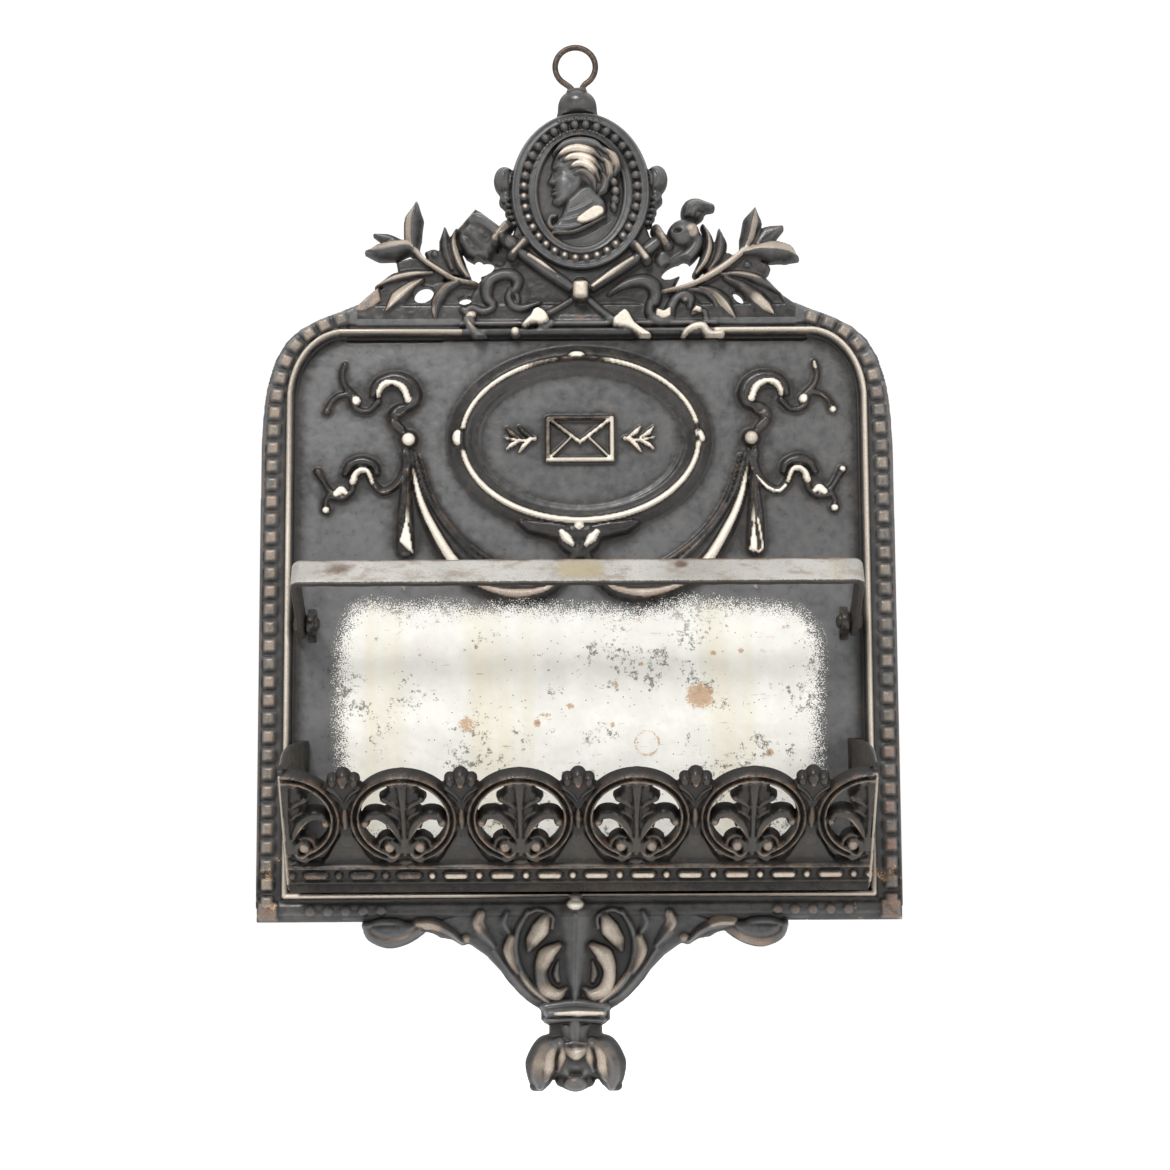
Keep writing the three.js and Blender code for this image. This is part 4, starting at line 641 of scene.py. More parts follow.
    # left torch: flared cup, two collars, shaft
    R.poly([(-31.88, 120.64), (-25.08, 115.38), (-22.22, 112.92), (-24.13, 108.37), (-27.30, 102.53), (-31.74, 102.72), (-34.91, 104.52), (-37.77, 108.77), (-38.29, 113.17)], 8.2, base=3.4, bevel=3.4, sil=True, ks=0.4, soft=p_dome)
    R.stroke([(-24.09, 110.69), (-28.21, 114.62), (-32.97, 116.28)], 9.0, base=5.0, w=[(0, 3.4), (0.6, 4.6), (1, 3.4)], prof=p_soft, k=0.4)
    R.stroke([(-32.34, 119.04), (-37.25, 113.04)], 8.6, base=6.0, w=0.8, n=2, k=0.3, shine=[(0, 0.1), (0.55, 0.3), (0.75, 0.55), (1, 0.3)])
    R.stroke([(-34.92, 111.03), (-30.47, 105.80), (-24.14, 103.17)], -1.0, w=[(0, 1.5), (0.5, 3.0), (1, 2.4)], prof=p_soft, mode="add", shine=None)
    R.stroke([(-31.07, 117.24), (-26.63, 113.31), (-24.09, 109.39)], 0.9, w=[(0, 2.2), (0.5, 2.6), (1, 2.0)], prof=p_soft, mode="add", shine=None)
    rod([(-22.03, 114.59), (-26.15, 109.24)], 9.6, 2.0, n=2)
    R.stroke([(-22.35, 113.94), (-25.84, 109.56)], 10.2, base=7.6, w=1.15, n=2, k=0.2, shine=0.55, tint=0.35, wu=(0.3, 0.6))
    rod([(-23.14, 110.69), (-18.71, 107.41)], 7.4, 2.6, n=2)
    rod([(-16.33, 109.35), (-20.30, 104.66)], 9.2, 1.7, n=2)
    R.stroke([(-16.49, 108.86), (-19.98, 104.98)], 9.8, base=7.4, w=[(0, 0.95), (0.6, 1.15), (1, 0.7)], n=2, k=0.2, shine=[(0, 0.5), (0.6, 0.62), (1, 0.8)], tint=0.35, wu=(0.3, 0.6))
    rod([(-17.76, 105.78), (-9.87, 100.06), (-1.67, 94.03)], 8.0, [(0, 1.9), (0.5, 2.2), (1, 1.9)])
    R.stroke([(-15.05, 104.36), (-11.11, 101.75), (-6.38, 98.32)], 8.7, base=7.0, w=[(0, 0.75), (0.5, 0.85), (1, 0.4)], k=0.15, shine=[(0, 0.62), (0.6, 0.8), (1, 0.3)], tint=0.3, wu=(0.2, 0.5), n=3)
    R.stroke([(-14.26, 102.90), (-6.38, 97.35)], -0.35, w=0.35, mode="add", n=2, shine=None)
    # right torch: bulbous head, comma flame, two collars, shaft
    R.poly([(33.72, 116.49), (33.44, 120.09), (35.06, 123.03), (38.25, 124.00), (41.43, 123.00), (44.28, 121.67), (43.93, 119.71), (41.38, 119.07), (40.40, 117.11), (37.52, 115.49)], 7.2, base=3.0, bevel=3.4, sil=True, ks=0.5, soft=p_dome, n=3)
    R.stroke([(35.60, 117.83), (36.58, 120.44), (39.13, 121.40), (42.62, 120.40)], 0.8, w=[(0, 0.9), (0.5, 1.6), (1, 0.6)], prof=p_soft, mode="add", shine=None)
    R.stroke([(37.49, 116.51), (38.78, 118.79), (41.65, 119.43)], -0.9, w=[(0, 0.4), (0.5, 0.7), (1, 0.3)], prof=p_dome, mode="add", shine=None)
    R.oval(*[(34.06, 111.68)][0], 5.4, 4.9, 8.8, base=3.4, prof=p_round, sil=True, ks=0.8, rot=30)
    R.oval(*[(36.76, 111.99)][0], 2.6, 3.0, 9.1, base=6.6, k=0.3, shine=0.45, tint=0.3, rot=20)
    R.oval(*[(32.00, 112.02)][0], 1.7, 0.9, -1.6, prof=p_dome, mode="add", rot=-10, shine=None)
    R.stroke([(35.51, 114.28), (38.32, 109.71), (36.05, 105.17), (31.59, 101.95)], 7.4, base=4.0, w=[(0, 1.5), (0.4, 2.4), (1, 2.2)], k=0.4, sil=True)
    R.poly([(25.04, 106.43), (31.11, 109.65), (36.16, 107.02), (34.21, 102.47), (26.57, 99.91), (24.05, 102.52)], 6.0, base=3.4, bevel=2.6, sil=True, ks=0.5, soft=p_dome)
    rod([(25.52, 113.19), (29.10, 107.16)], 9.4, 1.9, n=2)
    R.stroke([(26.14, 112.05), (28.48, 107.97)], 10.0, base=7.4, w=1.1, n=2, k=0.2, shine=0.55, tint=0.35, wu=(0.3, 0.6))
    rod([(26.91, 109.77), (22.13, 106.22)], 7.4, 2.5, n=2)
    rod([(18.50, 108.03), (22.42, 102.81)], 9.0, 1.7, n=2)
    R.stroke([(19.29, 107.21), (22.11, 103.30)], 9.7, base=7.4, w=[(0, 0.95), (0.5, 1.25), (1, 1.05)], n=2, k=0.2, shine=[(0, 0.6), (0.5, 0.62), (1, 0.8)], tint=0.35, wu=(0.3, 0.6))
    rod([(20.21, 104.28), (12.59, 99.46), (4.97, 94.32)], 7.8, [(0, 1.9), (0.5, 2.1), (1, 1.9)])
    R.stroke([(17.97, 103.21), (11.30, 98.71), (5.12, 94.22)], 8.5, base=7.0, w=[(0, 0.7), (0.5, 0.9), (1, 0.5)], k=0.15, shine=[(0, 0.62), (0.6, 0.8), (1, 0.9)], tint=0.3, wu=(0.2, 0.5), n=3)
    R.stroke([(17.01, 101.92), (9.40, 96.78)], -0.4, w=0.3, mode="add", n=2, shine=None)
    # knob where they cross
    R.oval(*[(1.33, 93.34)][0], 3.3, 4.4, 9.0, base=4.6, prof=p_dome, k=0.3, sil=True)
    R.poly([(-1.18, 96.09), (3.71, 96.07), (4.17, 93.48), (3.68, 89.94), (-1.05, 89.96), (-1.50, 93.51)], 10.4, base=6.0, bevel=1.6, soft=p_dome, k=0.2, shine=0.8, tint=0.35, wu=(0.35, 0.8), n=3)
    # lower ends of the torches
    rod([(3.37, 90.77), (8.08, 86.54), (12.47, 83.30)], 6.6, [(0, 1.5), (0.5, 1.3), (1, 1.8)])
    R.poly([(11.36, 83.86), (15.01, 87.03), (16.89, 85.61), (18.44, 82.70), (21.88, 80.04), (23.76, 78.81), (22.80, 77.11), (21.07, 77.22), (19.35, 78.51), (15.91, 80.62), (11.50, 81.45)], 9.2, base=5.0, bevel=1.1, shine=0.88, tint=0.25, sil=True, wu=(0.3, 0.8), n=2)
    R.oval(*[(22.37, 78.18)][0], 1.3, 1.2, 9.4, base=6.0, shine=1.0, wu=(0.3, 0.6))
    rod([(-0.74, 90.79), (-5.17, 87.91), (-8.96, 85.99)], 6.4, [(0, 1.5), (0.5, 1.2), (1, 1.6)])
    R.stroke([(-2.32, 89.83), (-8.33, 86.15)], 6.9, base=5.4, w=0.4, n=2, k=0.2, shine=0.3)
    R.poly([(-11.94, 87.76), (-9.58, 86.23), (-8.48, 83.33), (-11.01, 81.89), (-14.00, 82.39), (-16.20, 80.95), (-17.53, 82.06), (-14.68, 85.13), (-13.67, 87.06)], 9.2, base=5.0, bevel=1.1, shine=0.88, tint=0.2, sil=True, wu=(0.3, 0.8), n=2)
    R.stroke([(-11.50, 81.01), (-8.03, 82.92)], 6.6, base=5.0, w=1.2, n=2, k=0.3)
    R.oval(*[(-19.35, 79.88)][0], 1.7, 1.7, 8.8, base=5.0, shine=0.85, tint=0.1, k=0.2, wu=(0.5, 0.8))
    # warm worn ground between the lower ends
    R.poly([(-5.21, 85.73), (7.46, 85.67), (8.71, 83.07), (-6.49, 83.15)], 4.8, base=4.4, bevel=0.9, shine=0.3, tint=0.9, k=0.2, wu=(0.2, 0.9))

    # ---- ribbons
    R.poly([(-31.78, 95.68), (-27.98, 99.55), (-22.27, 100.17), (-17.20, 97.87), (-14.67, 94.29), (-15.32, 89.10), (-19.12, 86.21), (-25.45, 86.25), (-31.15, 85.31), (-34.31, 89.85)], 4.5, base=3.6, bevel=1.4, soft=p_dome, n=3, k=0.4, sil=True)
    R.poly([(9.39, 90.92), (16.39, 96.07), (23.38, 97.98), (28.42, 94.70), (30.92, 90.80), (36.01, 92.72), (39.76, 88.81), (37.19, 84.94), (27.04, 82.41), (22.00, 85.02), (19.51, 89.57)], 4.5, base=3.6, bevel=1.4, soft=p_dome, n=3, k=0.4, sil=True)
    rib = dict(base=3.8, k=0.14, prof=p_dome, sil=True, ks=0.6, n=6)
    R.stroke([(-26.83, 89.24), (-28.10, 91.03), (-28.26, 94.43), (-26.99, 97.01), (-23.51, 98.62), (-20.50, 98.44), (-18.76, 96.81), (-18.92, 94.54), (-20.03, 93.09)], 7.2, w=[(0, 1.8), (0.3, 2.7), (0.55, 2.1), (0.78, 2.5), (1, 1.6)], **rib)
    R.stroke([(-20.82, 94.06), (-21.46, 91.48), (-20.35, 88.88), (-17.98, 87.74), (-14.98, 88.21), (-11.81, 89.48)], 6.3, w=[(0, 1.0), (0.4, 2.1), (0.7, 1.8), (1, 0.8)], **rib)
    R.stroke([(-18.92, 92.11), (-18.61, 90.00)], 5.8, w=1.5, base=4.0, k=0.3, prof=p_soft)
    R.stroke([(-26.04, 89.56), (-26.52, 87.78), (-29.52, 86.67), (-33.00, 87.82), (-35.37, 86.70)], 6.8, w=[(0, 1.0), (0.3, 1.8), (0.6, 1.8), (1, 1.4)], **rib)
    R.stroke([(-35.84, 87.35), (-33.94, 85.56), (-33.31, 83.14)], 6.8, base=4.0, w=[(0, 1.2), (0.5, 1.9), (1, 1.3)], k=0.3, sil=True)
    R.oval(*[(-33.42, 85.48)][0], 1.9, 1.3, 7.4, base=5.0, shine=0.8, tint=0.3, wu=(0.3, 0.6), rot=5)
    R.stroke([(-34.84, 84.19), (-33.89, 81.93), (-31.99, 79.83), (-30.26, 78.37)], 8.2, base=4.6, w=[(0, 1.0), (0.4, 1.25), (1, 1.9)], k=0.3, shine=[(0, 0.3), (0.3, 0.75), (0.7, 0.2), (1, 0)], tint=0.3, wcut=(0.0, 0.9))
    R.oval(*[(-30.26, 77.57)][0], 2.0, 1.6, 7.6, base=3.4, k=0.4)

    R.stroke([(10.33, 92.12), (14.46, 94.68), (18.27, 96.12), (21.76, 96.27), (24.27, 94.63), (25.04, 91.87), (24.55, 89.61)], 7.2, w=[(0, 0.7), (0.25, 1.7), (0.45, 2.5), (0.7, 3.0), (1, 2.5)], **rib)
    R.stroke([(23.44, 89.29), (23.41, 85.90), (26.07, 83.95), (28.92, 84.74), (29.90, 87.64), (31.83, 90.87), (34.37, 91.82), (36.10, 90.52), (35.91, 87.93)], 6.8, w=[(0, 1.7), (0.25, 2.6), (0.45, 2.7), (0.6, 1.8), (0.8, 2.2), (1, 1.4)], **rib)
    R.poly([(25.13, 87.58), (27.65, 86.76), (30.03, 88.20), (30.15, 84.49), (27.61, 83.38), (24.79, 84.52)], 7.6, base=4.8, bevel=1.2, shine=0.85, tint=0.3, k=0.25, wu=(0.3, 0.7))
    R.stroke([(31.53, 92.81), (35.97, 93.60), (40.39, 93.09), (43.21, 90.81), (44.45, 88.21)], 5.6, w=[(0, 0.6), (0.4, 1.2), (0.7, 1.6), (1, 1.0)], **rib)
    R.oval(*[(34.31, 90.28)][0], 1.2, 1.2, 6.6, base=5.0, shine=0.35, k=0.3)
    R.poly([(36.16, 86.23), (37.76, 88.48), (39.81, 87.67), (39.63, 85.89)], 7.0, base=4.8, bevel=0.9, shine=0.85, tint=0.3, k=0.2, wu=(0.3, 0.7), sil=True)
    R.stroke([(36.83, 85.83), (40.32, 86.62), (41.07, 83.38)], 5.8, base=4.0, w=1.0, k=0.3, sil=True)
    R.stroke([(33.51, 77.96), (34.95, 80.04), (37.64, 81.31), (40.00, 81.30), (41.24, 79.52), (43.11, 78.55), (45.48, 78.86)], 8.6, base=4.8, w=[(0, 0.7), (0.3, 1.35), (0.6, 1.5), (0.8, 1.2), (1, 1.5)], k=0.3, shine=[(0, 0.8), (0.4, 0.95), (0.7, 0.8), (1, 0.85)], tint=0.35, wu=(0.3, 0.6))
    R.oval(*[(33.85, 76.58)][0], 1.5, 1.5, 6.0, base=3.2, k=0.4)
    # openings of the casting
    for x, y, a, b, r in HOLES:
        R.hole(x, y, a, b, r)


HOLES = [(-48.48, 92.71, 3.25, 2.45, 28), (-35.32, 90.69, 2.1, 1.2, 6), (-29.45, 100.96, 3.6, 2.2, 22), (-31.04, 102.50, 1.5, 1.6, 0),
         (31.05, 99.83, 4.3, 2.0, 27), (34.24, 101.60, 1.9, 1.6, 20), (51.45, 91.27, 2.3, 1.15, -48)]


MEDAL_X, MEDAL_Z, MEDAL_A, MEDAL_B = 1.5, 125.9, 22.5, 26.1


def draw_medal(R):
    cx, cz = MEDAL_X, MEDAL_Z
    # finial ball, drawn out into the frame below it
    R.poly([(-6.4, 146.5), (-6.2, 150.0), (-5.7, 153.0), (-4.6, 155.0), (5.8, 155.0), (6.9, 153.0), (7.4, 150.0), (7.8, 146.5)], 6.2, base=2.2, bevel=3.0, sil=True, soft=p_dome, k=0.2, ks=0.9, n=3)
    R.oval(0.6, 154.9, 6.15, 4.8, 8.9, base=1.8, sil=True, ks=0.8, prof=p_round, k=0.6)
    R.poly([(-3.6, 157.5), (-2.7, 160.2), (3.5, 160.5), (4.6, 157.5)], 5.6, base=2.6, bevel=1.4, sil=True, ks=0.6, k=0.3)
    # volutes and husks at the sides
    for s, x, z in ((-1, -22.1, 129.6), (1, 25.2, 129.8)):
        R.oval(x + s * 0.3, z, 3.8, 4.9, 7.6, base=2.2, sil=True, ks=0.6, prof=p_round, rot=-12 * s)
        R.stroke([(x - s * 0.2, z + 3.2), (x + s * 1.3, z + 0.4), (x + s * 0.4, z - 3.0)], 0.5, w=0.7, mode="add", shine=None)
        R.stroke([(x - s * 1.4, z + 2.8), (x - s * 0.9, z - 0.5), (x - s * 1.3, z - 3.4)], -0.9, w=0.5, mode="add", shine=None)
        R.stroke([(x + s * 0.2, z - 4.6), (x + s * 0.6, z - 6.4)], 5.6, base=2.4, w=1.9, sil=True, k=0.4)
        for i in range(5):
            R.oval(x - s * (0.4 + 0.12 * i * i), z - 6.2 - 2.0 * i, 1.5, 1.25, 5.9 - 0.12 * i, base=3.0, sil=True, ks=0.9, k=0.3, prof=p_dome)
    # frame
    R.oval(cx, cz, MEDAL_A, MEDAL_B, 5.6, base=3.0, prof=lambda u, q, t: sm(0, 0.075, 1 - u), sil=True, k=0, ks=0.6)
    got = R.win(cx - 23, cx + 23, cz - 27, cz + 27)
    if got:
        sl, X, Z = got
        p, q = X - cx, Z - cz
        u = np.hypot(p / MEDAL_A, q / MEDAL_B)
        g = np.hypot(p / MEDAL_A**2, q / MEDAL_B**2) + 1e-9
        d = np.where(u > 0.3, (1 - u) * u / g, 9.0)  # distance in from the outside
        h = 4.6 + 1.1 * sm(0, 1.2, d) - 0.35 * sm(1.2, 3.4, d)
        h += 0.75 * np.exp(-(((d - 0.95) / 0.42) ** 2))
        h += 0.45 * np.exp(-(((d - 2.7) / 0.4) ** 2))
        h -= 0.7 * sm(3.1, 3.7, d) * (1 - sm(5.4, 6.0, d))
        ui = np.hypot(p / 14.3, (q + 0.3) / 18.7)
        gi = np.hypot(p / 14.3**2, (q + 0.3) / 18.7**2) + 1e-9
        di = np.where(ui > 0.2, (1 - ui) * ui / gi, 9.0)
        h += 0.6 * np.exp(-((di / 0.45) ** 2)) + 0.3 * np.exp(-(((di + 1.5) / 0.4) ** 2))
        h -= 1.0 * sm(0.1, 1.1, di)
        R.H[sl] = np.where(u < 1, np.maximum(R.H[sl] * (d < 0.2), h), R.H[sl])
        R.W[sl] = np.where((u < 1) & (np.abs(di) < 0.5), 0.16 * (0.5 + 0.5 * np.sign(-p)), R.W[sl])
    n = 36
    ang = np.linspace(0, 2 * math.pi, 721)
    ex, ez = cx + 18.1 * np.cos(ang), cz - 0.3 + 21.9 * np.sin(ang)
    arc = np.concatenate([[0], np.cumsum(np.hypot(np.diff(ex), np.diff(ez)))])
    for i in range(n):
        s = arc[-1] * (i + 0.5) / n
        x, z = np.interp(s, arc, ex), np.interp(s, arc, ez)
        t = math.degrees(math.atan2(z - cz, x - cx)) % 360
        lit = 0.9 * sm(150, 180, t) * (1 - sm(292, 345, t)) + 0.45 * (sm(300, 350, t) if t > 300 else (1 - sm(0, 25, t)))
        R.oval(x, z, 1.38, 1.38, 7.5, base=5.0, prof=p_round, k=0.05, shine=max(0.2, 0.95 * lit), tint=0.4, wu=(0.8, 0.97))
    for i in range(12):
        t = math.radians(62 + i * 8.6)
        R.oval(cx + 16.0 * math.cos(t), cz - 0.3 + 20.1 * math.sin(t), 0.62, 0.62, 6.3, base=4.9, k=0.05, shine=0.4 if 4 < i < 9 else 0.0)
    for i in range(7):
        R.oval(-5.0 + i * 2.0, 149.3 - 0.09 * (i - 3) ** 2, 0.8, 0.7, 6.5, base=5.0, k=0.05)
    draw_head(R)


def draw_head(R):
    """A calm young profile, looking left, with waved hair and a draped neck; drawn from textbook proportions."""
    ox, oz, S = -9.4, 120.4, 19.6

    def P(pts):
        return [(ox + x * S * 0.92, oz + z * S) for x, z in pts]

    face = P([(0.20, 0.93), (0.125, 0.82), (0.098, 0.72), (0.094, 0.655), (0.128, 0.60), (0.104, 0.545), (0.066, 0.475), (0.028, 0.405),
              (0.046, 0.376), (0.104, 0.356), (0.112, 0.325), (0.082, 0.296), (0.088, 0.272), (0.112, 0.258), (0.088, 0.236), (0.098, 0.205),
              (0.132, 0.172), (0.112, 0.115), (0.128, 0.06), (0.176, 0.022), (0.25, 0.02), (0.36, 0.07), (0.50, 0.15), (0.62, 0.26),
              (0.70, 0.40), (0.74, 0.62), (0.62, 0.86), (0.42, 0.98)])
    R.poly(face, 7.6, base=4.6, bevel=3.6, soft=p_dome, k=0.0, n=3)
    add = dict(mode="add", shine=None)
    R.oval(*P([(0.33, 0.36)])[0], 3.4, 4.0, 0.75, prof=p_soft, **add)  # cheek
    R.oval(*P([(0.30, 0.13)])[0], 3.4, 1.6, 0.35, prof=p_soft, rot=25, **add)  # jaw
    R.stroke(P([(0.125, 0.645), (0.20, 0.668), (0.30, 0.648)]), 0.55, w=[(0, 0.5), (0.5, 0.75), (1, 0.4)], prof=p_dome, **add)  # brow
    R.oval(*P([(0.215, 0.565)])[0], 1.8, 1.15, -0.75, prof=p_soft, rot=-6, **add)  # socket
    R.stroke(P([(0.15, 0.55), (0.20, 0.566), (0.26, 0.55)]), 0.75, w=[(0, 0.25), (0.45, 0.62), (1, 0.25)], prof=p_dome, **add)  # eyeball
    R.stroke(P([(0.138, 0.562), (0.19, 0.596), (0.25, 0.586), (0.285, 0.556)]), 0.4, w=0.24, prof=p_round, **add)  # upper lid
    R.stroke(P([(0.15, 0.54), (0.20, 0.53), (0.262, 0.545)]), 0.22, w=0.22, prof=p_round, **add)  # lower lid
    R.stroke(P([(0.118, 0.60), (0.095, 0.52), (0.062, 0.43)]), 0.55, w=[(0, 0.5), (1, 0.85)], prof=p_dome, **add)  # ridge of the nose
    R.oval(*P([(0.112, 0.402)])[0], 0.85, 0.68, 0.55, prof=p_dome, **add)  # wing of the nose
    R.stroke(P([(0.075, 0.384), (0.10, 0.378)]), -0.45, w=0.25, prof=p_dome, n=2, **add)  # nostril
    R.stroke(P([(0.15, 0.41), (0.155, 0.37)]), -0.2, w=0.3, prof=p_dome, n=2, **add)
    R.stroke(P([(0.095, 0.288), (0.14, 0.292), (0.182, 0.272)]), 0.42, w=[(0, 0.5), (1, 0.2)], prof=p_dome, **add)  # upper lip
    R.stroke(P([(0.10, 0.262), (0.145, 0.262), (0.186, 0.264)]), -0.5, w=0.22, prof=p_dome, **add)  # mouth
    R.stroke(P([(0.10, 0.232), (0.14, 0.236), (0.176, 0.252)]), 0.42, w=[(0, 0.55), (1, 0.2)], prof=p_dome, **add)  # lower lip
    R.oval(*P([(0.145, 0.175)])[0], 1.0, 0.55, -0.3, prof=p_soft, **add)
    R.oval(*P([(0.155, 0.095)])[0], 1.5, 1.4, 0.45, prof=p_soft, **add)  # chin
    # neck and drapery
    R.poly([(-3.2, 123.0), (-4.4, 118.6), (-6.6, 115.6), (-8.4, 114.2), (-7.0, 111.6), (-2.0, 111.9), (4.0, 114.6), (9.6, 117.8), (8.4, 124.6), (3.0, 128.0)],
           6.6, base=4.6, bevel=1.8, soft=p_dome, k=0.2, n=3)
    R.poly([(0.4, 116.8), (5.6, 120.6), (8.6, 120.2), (8.9, 117.8), (3.4, 114.9), (0.0, 115.2)], 7.8, base=5.6, bevel=1.0, shine=0.85, tint=0.35, k=0.25, n=2, wu=(0.3, 0.6))
    for i, (a, b) in enumerate((((-3.6, 118.2), (5.0, 121.8)), ((-5.4, 116.2), (0.6, 117.0)), ((-6.6, 113.8), (1.4, 114.4)))):
        R.stroke([a, ((a[0] + b[0]) / 2, (a[1] + b[1]) / 2 - 0.5), b], 0.6, w=0.6, prof=p_dome, mode="add", shine=None)
    R.stroke([(-7.6, 112.0), (-1.0, 112.4), (4.6, 114.8), (9.4, 117.4)], 7.0, base=5.0, w=[(0, 0.3), (0.5, 0.45), (1, 0.3)], shine=0.4, k=0.15)
    R.stroke([(-6.4, 117.6), (-8.0, 117.2), (-8.6, 115.4), (-7.6, 113.6), (-6.4, 114.4)], 6.6, base=4.6, w=[(0, 0.6), (0.5, 0.9), (1, 0.5)], shine=0.25, k=0.2)
    R.stroke([(-6.6, 110.9), (0, 111.2), (5.2, 113.4), (10.4, 116.4)], -1.1, w=[(0, 0.4), (0.5, 0.9), (1, 0.7)], prof=p_soft, mode="add", shine=None)
    # waved hair, brushed back, with a curl hanging behind
    hair = [
        ([(-6.9, 137.6), (-3.6, 140.4), (1.0, 141.4), (6.0, 140.6), (9.8, 137.6)], 1.7, 0.0),
        ([(-6.0, 136.2), (-3.2, 138.4), (0.6, 139.2), (5.2, 138.0), (8.6, 134.8)], 1.5, 0.9),
        ([(-4.2, 134.8), (-1.4, 136.4), (2.0, 136.4), (5.6, 134.8), (8.2, 131.6)], 1.5, 0.95),
        ([(-2.0, 132.6), (0.6, 134.2), (3.6, 133.6), (6.2, 131.4), (7.6, 128.2)], 1.4, 0.9),
        ([(-0.6, 130.6), (1.6, 131.6), (3.8, 130.8), (5.6, 128.6), (6.2, 125.6)], 1.3, 0.3),
        ([(9.2, 139.0), (11.8, 136.6), (13.0, 133.2), (12.4, 130.4)], 1.5, 0.55),
        ([(8.4, 136.0), (10.4, 133.6), (10.8, 130.4), (9.6, 127.6)], 1.4, 0.5),
        ([(8.2, 131.0), (9.4, 128.6), (8.8, 125.8), (7.4, 124.2)], 1.3, 0.2),
    ]
    R.poly([(-6.6, 137.0), (-4.4, 134.4), (-1.6, 132.2), (-0.6, 129.4), (2.4, 127.4), (6.0, 124.0), (9.8, 125.2), (13.0, 129.6), (13.4, 134.4), (10.6, 139.4), (5.0, 142.0), (-1.0, 142.0), (-5.4, 140.0)],
           7.4, base=4.6, bevel=2.6, soft=p_dome, k=0.2, n=3)
    for pts, w, shine in hair:
        R.stroke(pts, 9.0, base=6.0, w=[(0, 0.35), (0.3, w), (0.7, w), (1, 0.4)], shine=[(0, 0.0), (0.12, shine), (0.6, shine), (0.85, 0.1 * shine), (1, 0)], tint=0.35, k=0.12, wu=(0.45, 0.7))
        for o in (-0.42, 0.42):
            q = np.array(pts)
            t = np.gradient(q, axis=0)
            nrm = np.stack([-t[:, 1], t[:, 0]], 1) / np.hypot(t[:, 0], t[:, 1])[:, None]
            R.stroke([tuple(v) for v in q + nrm * o * w], -0.32, w=0.2, prof=p_dome, mode="add", shine=None)
    for i, (x, z, r) in enumerate(((12.0, 128.4, 1.5), (12.6, 125.6, 1.45), (12.4, 122.8, 1.3), (12.0, 120.4, 1.0))):
        R.oval(x, z, r, 1.55, 8.0 - 0.3 * i, base=4.8, prof=p_round, k=0.1, shine=0.35 if i < 2 else 0.1, rot=20, wu=(0.6, 0.85))
        R.stroke([(x - 0.9, z + 0.6), (x + 0.2, z), (x + 0.9, z - 0.8)], -0.5, w=0.25, prof=p_dome, mode="add", shine=None)


CONSOLE_X = -1.3


